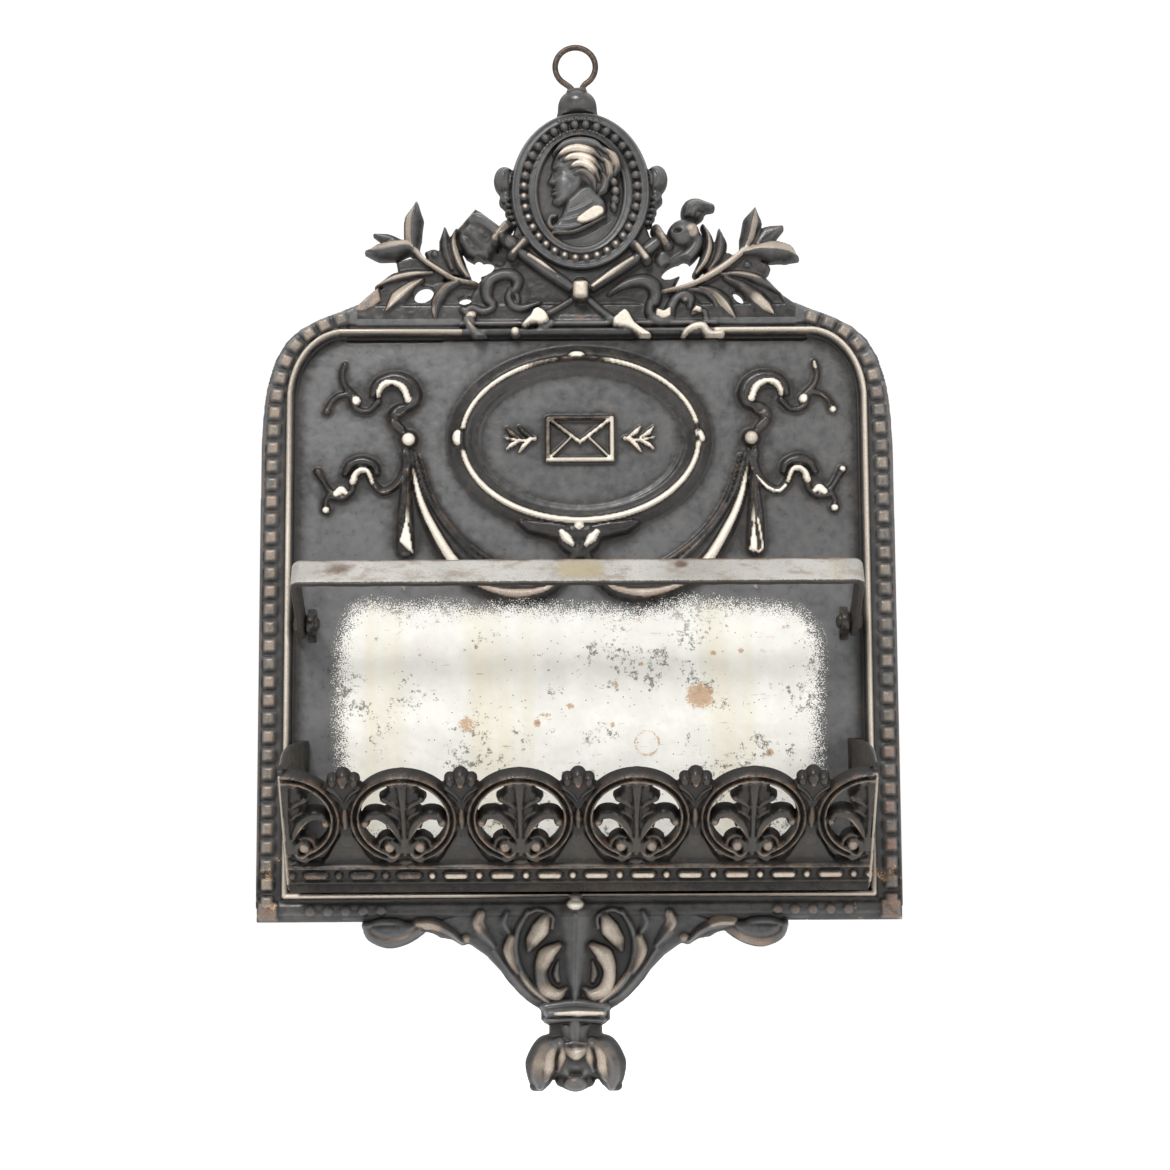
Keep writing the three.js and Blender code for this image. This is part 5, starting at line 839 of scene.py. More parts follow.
def draw_console(R):
    """Acanthus bracket, collar, neck and a lobed drop under the panel."""
    def half(s):
        return lambda p: p if s < 0 else mir(p, CONSOLE_X)

    body = [(-1.32, -98.53), (-22.81, -98.42), (-36.62, -101.39), (-48.89, -105.58), (-42.74, -109.25), (-34.77, -110.50), (-28.64, -114.77), (-22.83, -120.84), (-17.65, -126.90), (-13.99, -129.93), (-11.85, -131.14), (-11.86, -134.15), (-9.43, -135.96), (-9.44, -140.17), (-12.19, -143.15), (-1.53, -143.80)]
    R.poly(body + [q for q in reversed(mir(body, CONSOLE_X))], 5.0, base=3.4, bevel=1.6, k=0.2, sil=True, ks=0.5)
    for s in (-1, 1):
        m = half(s)
        o = dict(k=0.3, sil=True, ks=0.5, base=3.4)
        # long upper wings of leaves
        R.stroke(m([(-65.35, -105.47), (-63.49, -108.51), (-58.59, -110.04), (-53.70, -109.16), (-49.42, -106.76)]), 6.6, w=[(0, 1.6), (0.4, 2.5), (1, 2.0)], shine=[(0, 0.05), (0.5, 0.4), (0.8, 0.5), (1, 0.2)], tint=0.5, wcut=(-0.2, 0.9), **o)
        R.stroke(m([(-64.73, -106.98), (-61.06, -106.70), (-56.16, -107.03), (-51.26, -107.36)]), 5.6, w=[(0, 1.6), (0.5, 3.0), (1, 2.4)], prof=p_soft, shine=0.0, **o)
        R.stroke(m([(-64.74, -105.47), (-60.46, -104.58), (-55.55, -104.91), (-51.26, -106.75)]), 6.6, w=[(0, 1.6), (0.5, 2.4), (1, 1.6)], prof=p_dome, shine=0.0, **o)
        R.poly(m([(-65.36, -103.95), (-50.04, -103.73), (-48.81, -106.76), (-53.08, -110.37), (-60.42, -110.64), (-65.03, -108.19)]), 6.9, base=3.4, bevel=2.8, soft=p_dome, n=3, k=0.3, sil=True, ks=0.5)
        R.stroke(m([(-62.28, -106.69), (-58.61, -105.81), (-56.16, -106.73)]), 6.6, base=5.0, w=0.5, k=0.2, shine=0.35)
        R.stroke(m([(-49.36, -104.92), (-45.07, -104.94), (-39.56, -107.39), (-35.89, -110.43)]), 7.2, w=[(0, 2.6), (0.3, 2.9), (0.8, 1.8), (1, 1.2)], shine=[(0, 0.62), (0.42, 0.55), (0.6, 0.1), (1, 0.0)], tint=0.4, prof=p_keel, wcut=(-0.75, 0.35), **o)
        R.oval(*m([(-34.67, -109.38)])[0], 2.0, 1.8, 6.4, shine=0.5, tint=0.4, sil=True, k=0.3)
        R.stroke(m([(-30.39, -101.99), (-31.31, -105.01), (-29.17, -108.05), (-26.11, -111.69)]), 6.9, w=[(0, 2.4), (0.35, 3.9), (0.7, 2.8), (1, 1.4)], shine=[(0, 0.6), (0.4, 0.62), (0.6, 0.1), (1, 0)], tint=0.4, prof=p_keel, wcut=(-0.4, 0.8) if s < 0 else (-0.8, 0.3), **o)
        R.stroke(m([(-22.13, -101.73), (-23.05, -104.75), (-20.92, -108.70)]), 6.4, w=[(0, 1.6), (0.4, 3.2), (1, 1.8)], prof=p_keel, **o)
        R.stroke(m([(-20.89, -109.27), (-21.81, -112.88), (-20.59, -116.50), (-18.77, -119.52)]), 7.6, w=[(0, 1.5), (0.4, 2.1), (1, 1.1)], shine=[(0, 0.55), (0.6, 0.66), (1, 0.2)], tint=0.45, **o)
        # outer line of the middle leaf
        R.stroke(m([(-15.68, -101.44), (-18.75, -106.87), (-19.67, -112.89), (-18.16, -118.92), (-14.51, -124.35), (-9.05, -128.88)]), 6.6, w=[(0, 1.0), (0.3, 1.4), (0.7, 1.5), (1, 1.0)], shine=[(0, 0), (0.55, 0.1), (0.72, 0.6), (1, 0.7 if s > 0 else 0.45)], tint=0.4, wcut=(-0.9, 0.1), **o)
        R.stroke(m([(-26.11, -112.90), (-20.63, -120.76), (-15.15, -126.80), (-11.20, -129.23)]), 5.8, w=[(0, 1.6), (0.5, 2.3), (1, 1.6)], prof=p_keel, **o)
        # upper lobe
        R.stroke(m([(-10.49, -103.28), (-12.03, -106.90), (-14.17, -109.91), (-15.40, -112.92)]), 8.0, base=4.4, w=[(0, 1.6), (0.3, 3.1), (0.65, 2.6), (1, 0.8)], shine=[(0, 0.4), (0.25, 0.8), (0.7, 0.7), (0.9, 0.2), (1, 0)], tint=0.35, k=0.2, wu=(0.35, 0.65))
        R.stroke(m([(-15.71, -102.07), (-12.64, -100.87), (-8.37, -102.71), (-8.38, -106.34)]), 6.4, base=4.4, w=0.8, k=0.2, shine=0.1)
        # S scroll
        b = 1.0 if s > 0 else 0.85
        R.stroke(m([(-6.55, -111.76), (-10.22, -114.75), (-11.76, -119.56), (-10.56, -124.37), (-6.91, -126.49), (-4.17, -124.70)]), 8.2, base=4.2, w=[(0, 1.3), (0.2, 3.0), (0.45, 2.1), (0.7, 2.5), (0.9, 1.9), (1, 0.8)],
                 shine=[(0, 0.5), (0.1, 0.75), (0.33, 0.75 * b if s < 0 else 0.8), (0.45, 0.25 if s < 0 else 0.8), (0.6, 0.3 if s < 0 else 0.75), (0.75, 0.7), (0.9, 0.6), (1, 0.1)], tint=0.4, k=0.2, wu=(0.4, 0.7))
        R.stroke(m([(-6.57, -116.58), (-7.19, -120.18), (-6.59, -122.29)]), 6.4, base=4.4, w=[(0, 0.5), (0.7, 1.4), (1, 0.9)], k=0.2, shine=0.25)
        # lobes of the drop
        R.poly(m([(-1.50, -140.06), (-7.28, -140.63), (-11.54, -142.99), (-14.59, -146.56), (-15.21, -150.73), (-14.00, -154.90), (-11.88, -154.91), (-10.36, -151.95), (-7.32, -151.37), (-4.29, -152.57), (-1.56, -153.18)]), 7.0, base=3.0, bevel=3.6, soft=p_dome, k=0.4, sil=True, ks=0.6, n=2)
        R.stroke(m([(-6.07, -140.93), (-9.72, -143.60), (-11.56, -147.47), (-12.17, -151.04), (-12.18, -154.02)]), 8.7, w=[(0, 2.6), (0.35, 5.3), (0.7, 5.1), (1, 1.7)], base=3.0, k=0.6, sil=True, ks=0.6, prof=p_dome,
                 shine=[(0, 0.1), (0.3, 0.3), (0.55, 0.5 if s < 0 else 0.2), (0.8, 0.2), (1, 0)], tint=0.4)
        R.stroke(m([(-7.27, -141.45), (-9.10, -144.72), (-9.42, -148.29), (-10.64, -151.56)]), 9.4, base=6.4, w=[(0, 1.4), (0.4, 2.6), (0.8, 2.2), (1, 1.0)], k=0.5, prof=p_dome, shine=[(0, 0.2), (0.2, 0.6), (0.7, 0.7), (1, 0.2)], tint=0.35, wu=(0.4, 0.75))
        R.stroke(m([(-5.45, -142.05), (-5.47, -145.33), (-6.39, -148.90)]), 8.3, base=5.6, w=[(0, 0.8), (0.5, 1.6), (1, 0.7)], k=0.5, shine=[(0, 0.3), (0.4, 0.66), (1, 0.2)], tint=0.35)
        R.oval(*m([(-13.57, -154.11)])[0], 1.9, 1.6, 5.6, base=2.8, sil=True, ks=0.5)
    # keel between the scrolls
    R.stroke([(-1.17, -102.14), (-1.22, -113.03), (-1.34, -123.57), (-1.45, -128.38)], 6.9, base=4.2, w=[(0, 6.2), (0.3, 4.9), (0.7, 3.6), (1, 2.4)], prof=p_keel, k=0.6)
    R.stroke([(-1.17, -103.33), (-1.34, -125.02)], -0.35, w=0.35, mode="add", n=2, shine=None)
    # pearl under the rim
    R.oval(*[(-1.15, -98.79)][0], 5.4, 3.4, 5.4, base=3.6, k=0.4, prof=p_soft)
    R.oval(*[(-1.21, -99.20)][0], 3.0, 2.0, 9.0, base=4.6, shine=0.95, k=0.3, wu=(0.4, 0.65))
    R.oval(*[(-1.14, -96.96)][0], 2.2, 1.8, 8.4, base=4.6, shine=0.3, tint=0.3, k=0.3)
    # collar, neck
    rnd = dict(base=3.0, k=0.3, sil=True, ks=0.4, n=3)
    R.stroke([(-10.59, -130.13), (-1.45, -128.98), (7.68, -130.22)], 7.6, w=1.9, **rnd)
    R.stroke([(-9.35, -131.81), (-1.45, -131.25), (6.44, -131.89)], 9.6, w=1.9, **rnd)
    R.stroke([(-7.53, -131.97), (-0.54, -131.71), (6.74, -131.89)], 10.0, base=8.0, w=[(0, 0.6), (0.2, 1.15), (0.8, 1.2), (1, 0.8)], shine=0.85, tint=0.25, k=0.15, wu=(0.2, 0.5), n=3)
    R.stroke([(-9.98, -134.11), (-1.47, -133.71), (7.04, -134.20)], 8.0, w=1.3, **rnd)
    R.poly([(-8.47, -133.44), (5.53, -133.51), (3.98, -138.29), (6.08, -142.49), (-9.11, -142.41), (-6.97, -138.24)], 6.6, base=3.0, bevel=3.6, soft=p_dome, k=0.4, sil=True, ks=0.6, n=2)
    R.stroke([(-1.48, -135.20), (-1.50, -141.18)], 7.3, base=4.6, w=[(0, 3.4), (0.5, 3.0), (1, 3.6)], prof=p_soft, n=1, k=0.4, shine=0.06)
    R.stroke([(-8.80, -141.81), (-1.51, -140.96), (5.78, -141.89)], 7.6, w=1.3, **rnd)
    # middle of the drop
    R.oval(*[(-1.54, -146.41)][0], 14.2, 6.6, 6.9, base=3.2, k=0.6, sil=True, prof=p_soft)
    R.stroke([(-3.93, -142.88), (-1.21, -144.08), (1.52, -142.91)], 9.2, base=5.0, w=[(0, 1.4), (0.5, 2.6), (1, 1.4)], k=0.3, shine=[(0, 0.3), (0.5, 0.72), (1, 0.4)], tint=0.3)
    R.stroke([(-5.50, -152.27), (-1.57, -153.48), (2.38, -152.31)], 4.9, base=2.8, w=2.2, sil=True, ks=0.5, k=0.3, n=3)
    R.oval(*[(-1.41, -152.89)][0], 4.1, 2.9, 7.2, base=3.0, shine=0.2, k=0.25, sil=True, wu=(0.7, 0.95))


def finish_relief(R, edge=1.7, steep=6.0, soft=0.2, grain=0.05, seed=3):
    """Softens the casting, rounds its outline over and works out where it is worn, where dirt and painted shade go in
    the hollows and which parts stand up.
    """
    X, Z = R.xs[None, :], R.zs[:, None]
    R.H = gauss(R.H, soft / R.step)
    R.H += grain * noise2(X + 0 * Z, Z + 0 * X, 2.1, seed) + 0.6 * grain * noise2(X + 0 * Z, Z + 0 * X, 0.8, seed + 1)
    R.H = np.minimum(R.H, edge + steep * np.sqrt(np.clip(R.S, 0, None)))
    M = (R.S > 0).astype(np.float32)

    def nb(sig):
        return big_gauss(R.H * M, sig / R.step) / np.maximum(big_gauss(M, sig / R.step), 1e-3)

    b1, b2 = nb(0.9), nb(3.0)
    # hollow map: the material darkens it as grime together with painted shade
    R.cav = np.clip((b1 - R.H) / 0.5, 0, 1) * 0.55 + np.clip((b2 - R.H) / 1.3, 0, 1) * 0.75
    R.conv = np.clip((R.H - b1) / 0.35, 0, 1) * 0.5 + np.clip((R.H - b2 - 0.4) / 1.6, 0, 1) * 0.5
    R.W = gauss(R.W, 0.14 / R.step)
    return R


# ---------------------------------------------------------------- the gallery's front, drawn flat: y runs from 0 at its top edge downwards
FRONT_TOP, FRONT_BOTTOM, FRONT_T = (58.0, -62.0), (34.5, -93.2), 4.6
WALL_OUT, WALL_T, PITCH, RING_R = 86.2, 2.6, 33.8, 15.8


def draw_front(R):
    for k in range(-3, 3):
        cx, cy = (k + 0.5) * PITCH, -15.8
        P = lambda pts: [(cx + q[0], cy + q[1]) + tuple(q[2:]) for q in pts]
        o = dict(base=1.2, sil=True, ks=0.35, k=0.15)
        # ring, open below, its two ends rolled inwards
        for s in (-1, 1):
            arc = [(s * 14.15 * math.sin(t), 14.15 * math.cos(t)) for t in np.linspace(0, 2.72, 22)]
            roll = [(s * 4.4, -14.5), (s * 2.5, -13.4), (s * 1.9, -11.4), (s * 2.4, -9.2), (s * 3.8, -8.0)]
            R.stroke(P(arc + roll), 3.7, w=[(0, 1.72), (0.8, 1.72), (0.9, 1.35), (1, 0.6)], prof=p_flat, n=2, **o)
            out = [(s * 15.0 * math.sin(t), 15.0 * math.cos(t)) for t in np.linspace(0, 2.75, 22)]
            R.stroke(P(out), 4.45, base=3.4, w=0.5, n=2, k=0.1, shine=0.27, tint=0.3, wu=(0.5, 0.9))
            inn = [(s * 13.1 * math.sin(t), 13.1 * math.cos(t)) for t in np.linspace(0, 2.7, 22)] + [(s * 3.4, -13.4), (s * 1.8, -12.0)]
            R.stroke(P(inn), 4.5, base=3.0, w=0.5, n=2, k=0.1, shine=0.36, tint=0.35, wu=(0.45, 0.9))
            R.stroke(P([(q[0] * 0.935, q[1] * 0.935) for q in out]), -1.1, w=0.42, n=2, prof=p_dome, mode="add", shine=None)
            R.oval(*P([(s * 4.5, -10.0)])[0], 2.2, 2.5, 4.6, shine=0.42, tint=0.35, wu=(0.62, 0.9), **o)
            R.stroke(P([(s * 7.4, -11.6), (s * 7.2, -8.4), (s * 5.2, -6.6), (s * 3.0, -7.2)]), 3.5, w=[(0, 0.5), (0.5, 1.1), (1, 0.6)], shine=[(0, 0), (0.5, 0.2), (1, 0)], **o)
            R.oval(*P([(s * 4.5, -10.0)])[0], 2.8, 3.1, 2.6, prof=p_flat, shine=0.0, **o)
            R.stroke(P([(s * 3.6, -8.0), (s * 6.4, -7.6), (s * 8.2, -10.4)]), 2.8, w=[(0, 0.7), (0.5, 0.9), (1, 0.4)], prof=p_round, **o)
            # side leaf, arched over and rolled up at its tip
            leaf = [(s * 0.9, -7.6), (s * 2.4, -4.0), (s * 4.6, -0.8), (s * 7.2, 1.0), (s * 9.6, 0.9), (s * 11.0, -0.8)]
            R.stroke(P(leaf), 3.9, w=[(0, 1.6), (0.3, 1.9), (0.6, 2.2), (0.85, 2.1), (1, 1.7)], prof=p_dome, shine=0.0, **o)
            R.stroke(P([(s * 1.7, -6.8), (s * 3.4, -3.6), (s * 5.4, -0.9), (s * 7.6, 0.5), (s * 9.4, 0.3)]), 4.4, base=2.8, w=[(0, 0.3), (0.5, 0.55), (1, 0.4)], k=0.12, shine=[(0, 0.1), (0.3, 0.4), (0.7, 0.34), (1, 0.1)], tint=0.4)
            R.oval(*P([(s * 11.2, -1.5)])[0], 1.6, 1.9, 4.4, shine=0.36, tint=0.4, wu=(0.6, 0.9), **o)
            R.stroke(P([(s * 3.9, -1.2), (s * 4.8, -3.4)]), 3.4, w=[(0, 1.1), (1, 0.6)], n=2, **o)
            # lobes of the middle leaf
            R.stroke(P([(s * 0.8, 3.4), (s * 3.4, 5.6), (s * 5.4, 6.4)]), 4.0, w=[(0, 1.5), (0.5, 1.9), (1, 1.4)], prof=p_dome, shine=0.0, **o)
            R.stroke(P([(s * 0.8, -0.4), (s * 2.8, 1.4), (s * 4.3, 2.2)]), 3.7, w=[(0, 1.3), (0.5, 1.5), (1, 1.0)], prof=p_dome, shine=0.0, **o)
            R.oval(*P([(s * 5.5, 7.0)])[0], 1.2, 1.0, 4.3, base=2.6, k=0.15, shine=0.12, tint=0.3)
        # middle leaf, three lobes at its head
        R.poly(P([(-2.3, -6.0), (-2.4, -0.8), (-4.8, 0.8), (-5.3, 2.6), (-3.7, 4.0), (-6.2, 5.0), (-6.7, 7.4), (-4.5, 9.0), (-5.1, 11.2), (-4.7, 13.9), (4.7, 13.9), (5.1, 11.2), (4.5, 9.0), (6.7, 7.4), (6.2, 5.0), (3.7, 4.0), (5.3, 2.6), (4.8, 0.8), (2.4, -0.8), (2.3, -6.0)]), 3.1, base=1.2, bevel=1.6, soft=p_dome, k=0.15, sil=True, ks=0.4, n=2)
        R.stroke(P([(0, -11.0), (0, -4.0), (0, 2.8), (0, 8.6), (0, 12.0)]), 4.2, w=[(0, 3.0), (0.25, 2.1), (0.55, 2.3), (0.8, 3.2), (1, 3.8)], prof=p_dome, **o)
        for x, y, r in ((-2.7, 12.0, 1.5), (0, 12.8, 1.7), (2.7, 12.0, 1.5)):
            R.oval(*P([(x, y)])[0], r, 1.5, 4.4, base=2.0, k=0.15, sil=True, ks=0.3, shine=0.26 if x == 0 else 0.1, tint=0.3, wu=(0.7, 0.95))
        for x in (-1.6, 1.6):
            R.stroke(P([(x * 0.5, -7.0), (x * 0.7, 3.0), (x * 1.1, 11.0)]), -0.6, w=0.36, mode="add", shine=None)
        # foot of the palmette, between the two scrolls
        R.poly(P([(-2.4, -8.4), (2.4, -8.4), (2.0, -12.6), (4.6, -15.6), (-4.6, -15.6), (-2.0, -12.6)]), 2.4, base=1.2, bevel=1.0, k=0.1, sil=True, ks=0.4)
        R.oval(*P([(0, -13.0)])[0], 1.1, 0.9, 3.6, base=2.0, k=0.1, shine=0.15)
        R.oval(*P([(0, -15.9)])[0], 2.4, 1.2, 3.7, base=2.0, k=0.15, sil=True)
    for k in range(-3, 4):
        x = k * PITCH
        if abs(x) > 90:
            continue
        o = dict(base=1.2, sil=True, ks=0.5, k=0.2)
        R.poly([(x - 5.2, -5.6), (x, -15.0), (x + 5.2, -5.6), (x + 3.4, -2.6), (x - 3.4, -2.6)], 2.9, base=1.2, bevel=1.4, k=0.1, sil=True, ks=0.5)
        R.poly([(x - 8.6, -33.0), (x + 8.6, -33.0), (x + 6.0, -29.6), (x + 1.2, -19.6), (x, -17.0), (x - 1.2, -19.6), (x - 6.0, -29.6)], 2.5, base=1.2, bevel=1.0, k=0.1, sil=True, ks=0.5)
        R.stroke([(x, -8.0), (x, -15.8), (x, -24.0)], 2.7, base=1.2, w=[(0, 3.0), (0.5, 1.7), (1, 3.0)], k=0.1, sil=True, ks=0.3, prof=p_flat)
        R.stroke([(x, -13.2), (x, -15.8), (x, -18.6)], 4.3, base=1.6, w=[(0, 1.2), (0.5, 1.7), (1, 1.3)], k=0.3, prof=p_dome, shine=0.27, tint=0.4)
        R.oval(x, -22.4, 0.8, 0.8, 3.4, base=2.2, k=0.1)
        R.oval(x, -2.2, 2.3, 2.7, 4.7, shine=0.12, tint=0.7, wu=(0.5, 0.9), **o)
        R.oval(x, -3.4, 1.0, 1.5, 4.6, base=3.6, k=0.1, shine=0.42, tint=0.9, wu=(0.3, 0.9))
        for s in (-1, 1):
            R.oval(x + s * 3.1, -3.3, 1.7, 2.0, 4.1, **o)
            R.stroke([(x + s * 4.4, -5.2), (x + s * 2.0, -7.2), (x + s * 0.4, -9.8)], 3.8, w=[(0, 0.9), (0.5, 0.8), (1, 0.5)], **o)
    # base moulding: fillet, beads and reels, plain foot
    W = WALL_OUT
    R.poly([(-W, -39.06), (W, -39.06), (W, -31.6), (-W, -31.6)], 2.9, base=1.2, bevel=0.8, k=0.1, sil=True, ks=0.3)
    R.stroke([(-W, -33.1), (W, -33.1)], 4.2, base=2.4, w=0.7, n=1, k=0.1, shine=0.3, tint=0.35, wu=(0.5, 0.9))
    R.stroke([(-W, -38.6), (W, -38.6)], 3.9, base=2.2, w=0.7, n=1, k=0.1)
    for s in (-1, 1):
        R.poly([(s * 87.0, 1.0), (s * 84.3, 1.0), (s * 84.3, -39.5), (s * 87.0, -39.5)], 3.3, base=1.2, bevel=0.5, k=0.1, sil=True, ks=0.3)
        R.stroke([(s * 85.6, -0.5), (s * 85.6, -38.6)], 4.6, base=2.4, w=0.5, n=1, k=0.1, shine=0.62, tint=0.2, wu=(0.3, 0.8))
    for i in range(-7, 8):
        x = -1.75 + i * 13.75
        lit = 0.95 * sm(-62, -40, x) * (1 - 0.25 * sm(55, 80, x))
        if abs(x) < 85:
            R.oval(x, -35.9, 1.5, 1.75, 4.6, base=1.9, k=0.08, shine=max(0.3, 0.9 * lit), tint=0.4, wu=(0.72, 0.95))
        a = x + 3.2
        R.stroke([(a + 1.35, -35.9), (a + 6.2, -35.9)], 4.6, base=1.9, w=1.85, n=1, k=0.08, shine=max(0.3, 0.9 * lit), tint=0.5, wu=(0.82, 0.98))


def side_outline():
    lean = math.atan2(FRONT_TOP[0] - FRONT_BOTTOM[0], FRONT_TOP[1] - FRONT_BOTTOM[1])
    c, s = math.cos(lean), math.sin(lean)
    slant = math.hypot(FRONT_TOP[0] - FRONT_BOTTOM[0], FRONT_TOP[1] - FRONT_BOTTOM[1])
    at = lambda d: (FRONT_TOP[0] - d * s - 3.0 * c, FRONT_TOP[1] - d * c + 3.0 * s)
    return [(3.3, -48.6), (14, -49.6), (28, -50.4), (42, -52.0), (50, -54.2), (53.4, -56.6), at(-1.0), at(slant), (31.4, -95.0), (3.3, -95.0)]


def draw_side(R):
    """A side return: a plain wall with a raised edge."""
    pts = side_outline()
    R.poly(pts, 1.9, base=1.2, bevel=0.6, k=0, sil=True)
    edge = [(4.6, -50.2), (14, -51.1), (28, -51.9), (41, -53.4), (48.6, -55.4), (52.2, -58.0), (53.6, -61.0), (32.4, -90.0), (30.4, -93.4), (4.6, -93.4), (4.6, -50.2)]
    R.stroke(edge, 2.6, base=1.8, w=0.9, n=2, k=0.1, shine=0.25, tint=0.4)


# ---------------------------------------------------------------- meshes from the height maps
CASES = {1: [(0, 4, 7)], 2: [(1, 5, 4)], 3: [(0, 1, 5, 7)], 4: [(2, 6, 5)], 5: [(0, 4, 7), (2, 6, 5)], 6: [(1, 2, 6, 4)],
         7: [(0, 1, 2, 6, 7)], 8: [(3, 7, 6)], 9: [(0, 4, 6, 3)], 10: [(1, 5, 4), (3, 7, 6)], 11: [(0, 1, 5, 6, 3)],
         12: [(2, 3, 7, 5)], 13: [(0, 4, 5, 2, 3)], 14: [(1, 2, 3, 7, 4)]}


def raw_mesh(name, co, polys):
    """A mesh from vertex positions and a list of (vertex index rows, material index)."""
    me = bpy.data.meshes.new(name)
    me.vertices.add(len(co))
    me.vertices.foreach_set("co", np.asarray(co, np.float32).ravel())
    loops = np.concatenate([p.ravel() for p, m in polys])
    sizes = np.concatenate([np.full(len(p), p.shape[1]) for p, m in polys])
    mats = np.concatenate([np.full(len(p), m) for p, m in polys])
    me.loops.add(len(loops))
    me.loops.foreach_set("vertex_index", loops.astype(np.int32))
    me.polygons.add(len(sizes))
    me.polygons.foreach_set("loop_start", (np.cumsum(sizes) - sizes).astype(np.int32))
    me.polygons.foreach_set("material_index", mats.astype(np.int32))
    me.update(calc_edges=True)
    me.validate()
    return me


def shell(name, R, S, keep, B=None, body="holder", node=None, place=None, mats=()):
    """A closed casting: its front follows the height map, its back the map B, its outline the level set S."""
    S = S.copy()
    S[0] = S[-1] = -1
    S[:, 0] = S[:, -1] = -1
    S = np.where(np.abs(S) < 1e-6, -1e-6, S)
    ins = S > 0
    X, Z = np.meshgrid(R.xs, R.zs)
    if B is None:
        B = 0.1 + 0.08 * noise2(X, Z, 6.0, 77)
    F = [X, Z, R.H, B]
    cols = [[a[ins] for a in F]]
    n = int(ins.sum())
    gid = np.full(S.shape, -1)
    gid[ins] = np.arange(n)
    ids = []
    for a, b in (((slice(None), slice(None, -1)), (slice(None), slice(1, None))), ((slice(None, -1), slice(None)), (slice(1, None), slice(None)))):
        cross = ins[a] != ins[b]
        t = np.clip(S[a][cross] / (S[a][cross] - S[b][cross]), 0.1, 0.9)
        cols.append([f[a][cross] * (1 - t) + f[b][cross] * t for f in F])
        idx = np.full(cross.shape, -1)
        idx[cross] = n + np.arange(int(cross.sum()))
        n += int(cross.sum())
        ids.append(idx)
    x, z, h, b = [np.concatenate([c[i] for c in cols]) for i in range(4)]
    h = np.maximum(h, b + 0.7)
    hid, vid = ids
    tok = [gid[:-1, :-1], gid[:-1, 1:], gid[1:, 1:], gid[1:, :-1], hid[:-1], vid[:, 1:], hid[1:], vid[:, :-1]]
    code = ins[:-1, :-1] * 1 + ins[:-1, 1:] * 2 + ins[1:, 1:] * 4 + ins[1:, :-1] * 8
    full = code == 15
    quads = np.stack([tok[i][full] for i in range(4)], 1)
    tris, walls = [], []
    for c, polys in CASES.items():
        at = code == c
        if not at.any():
            continue
        for p in polys:
            v = [tok[i][at] for i in p]
            for i in range(1, len(v) - 1):
                tris.append(np.stack([v[0], v[i], v[i + 1]], 1))
            for i in range(len(p)):
                j = (i + 1) % len(p)
                if p[i] > 3 and p[j] > 3:
                    walls.append(np.stack([v[j], v[i], v[i] + n, v[j] + n], 1))
    tris, walls = np.concatenate(tris), np.concatenate(walls)
    co = np.concatenate([np.stack([x, -h, z], 1), np.stack([x, -b, z], 1)])
    me = raw_mesh(name, co, [(quads, 0), (tris, 0), (walls, 0), (quads[:, ::-1] + n, 1), (tris[:, ::-1] + n, 1)])
    ob = bpy.data.objects.new(name, me)
    bpy.context.scene.collection.objects.link(ob)
    count = 2 * (2 * len(quads) + len(tris)) + 2 * len(walls)
    if count > keep:
        # the hidden flat back gives up its faces first
        group = ob.vertex_groups.new(name="back")
        group.add(list(range(n, 2 * n)), 1.0, "REPLACE")
        thin_ = ob.modifiers.new("thin", "DECIMATE")
        thin_.ratio, thin_.vertex_group, thin_.vertex_group_factor = keep / count, "back", 50.0
        thin = bpy.data.meshes.new_from_object(ob.evaluated_get(bpy.context.evaluated_depsgraph_get()))
        ob.modifiers.clear()
        ob.data = thin
        ob.vertex_groups.clear()
        bpy.data.meshes.remove(me)
        me = thin
    v = np.empty(len(me.vertices) * 3, np.float32)
    me.vertices.foreach_get("co", v)
    v = v.reshape(-1, 3)
    # the greying is dust with painted sheen, and the hollow map is grime with painted shade
    for key, maps in (("wear_and_painted_light", (R.W, R.T, R.dust_and_sheen)), ("age_and_shade", (R.cav, R.bare, R.stain))):
        a = me.attributes.new(key, "FLOAT_VECTOR", "POINT")
        a.data.foreach_set("vector", np.stack([R.at(m, v[:, 0], v[:, 2]) for m in maps], 1).astype(np.float32).ravel())
    back = np.empty(len(me.polygons) * 3, np.float32)
    me.polygons.foreach_get("normal", back)
    back = back.reshape(-1, 3)[:, 1] > 0.6
    if place is not None:
        v = place(v)
    me.vertices.foreach_set("co", (v * 0.001).astype(np.float32).ravel())
    me.update()
    me.polygons.foreach_set("use_smooth", np.ones(len(me.polygons), bool))
    me.set_sharp_from_angle(angle=math.radians(62))
    me.materials.clear()
    for m in mats:
        me.materials.append(m)
    me.polygons.foreach_set("material_index", (back & (len(mats) > 1)).astype(np.int32))
    me.update()
    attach(ob, body)
    if node:
        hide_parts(node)
    return ob


def make_map(x0, x1, z0, z1, step, draws, seed=3, **kw):
    R = Relief(x0, x1, z0, z1, step)
    for d in draws:
        d(R)
    R.bare = np.zeros_like(R.H)
    R.stain = np.zeros_like(R.H)
    finish_relief(R, seed=seed, **kw)
    return R


def grid(R):
    return np.meshgrid(R.xs, R.zs)


def face_out(me):
    """Turns every face of a closed mesh outwards."""
    bm = bmesh.new()
    bm.from_mesh(me)
    bmesh.ops.recalc_face_normals(bm, faces=bm.faces)
    bm.to_mesh(me)
    bm.free()
    me.update()


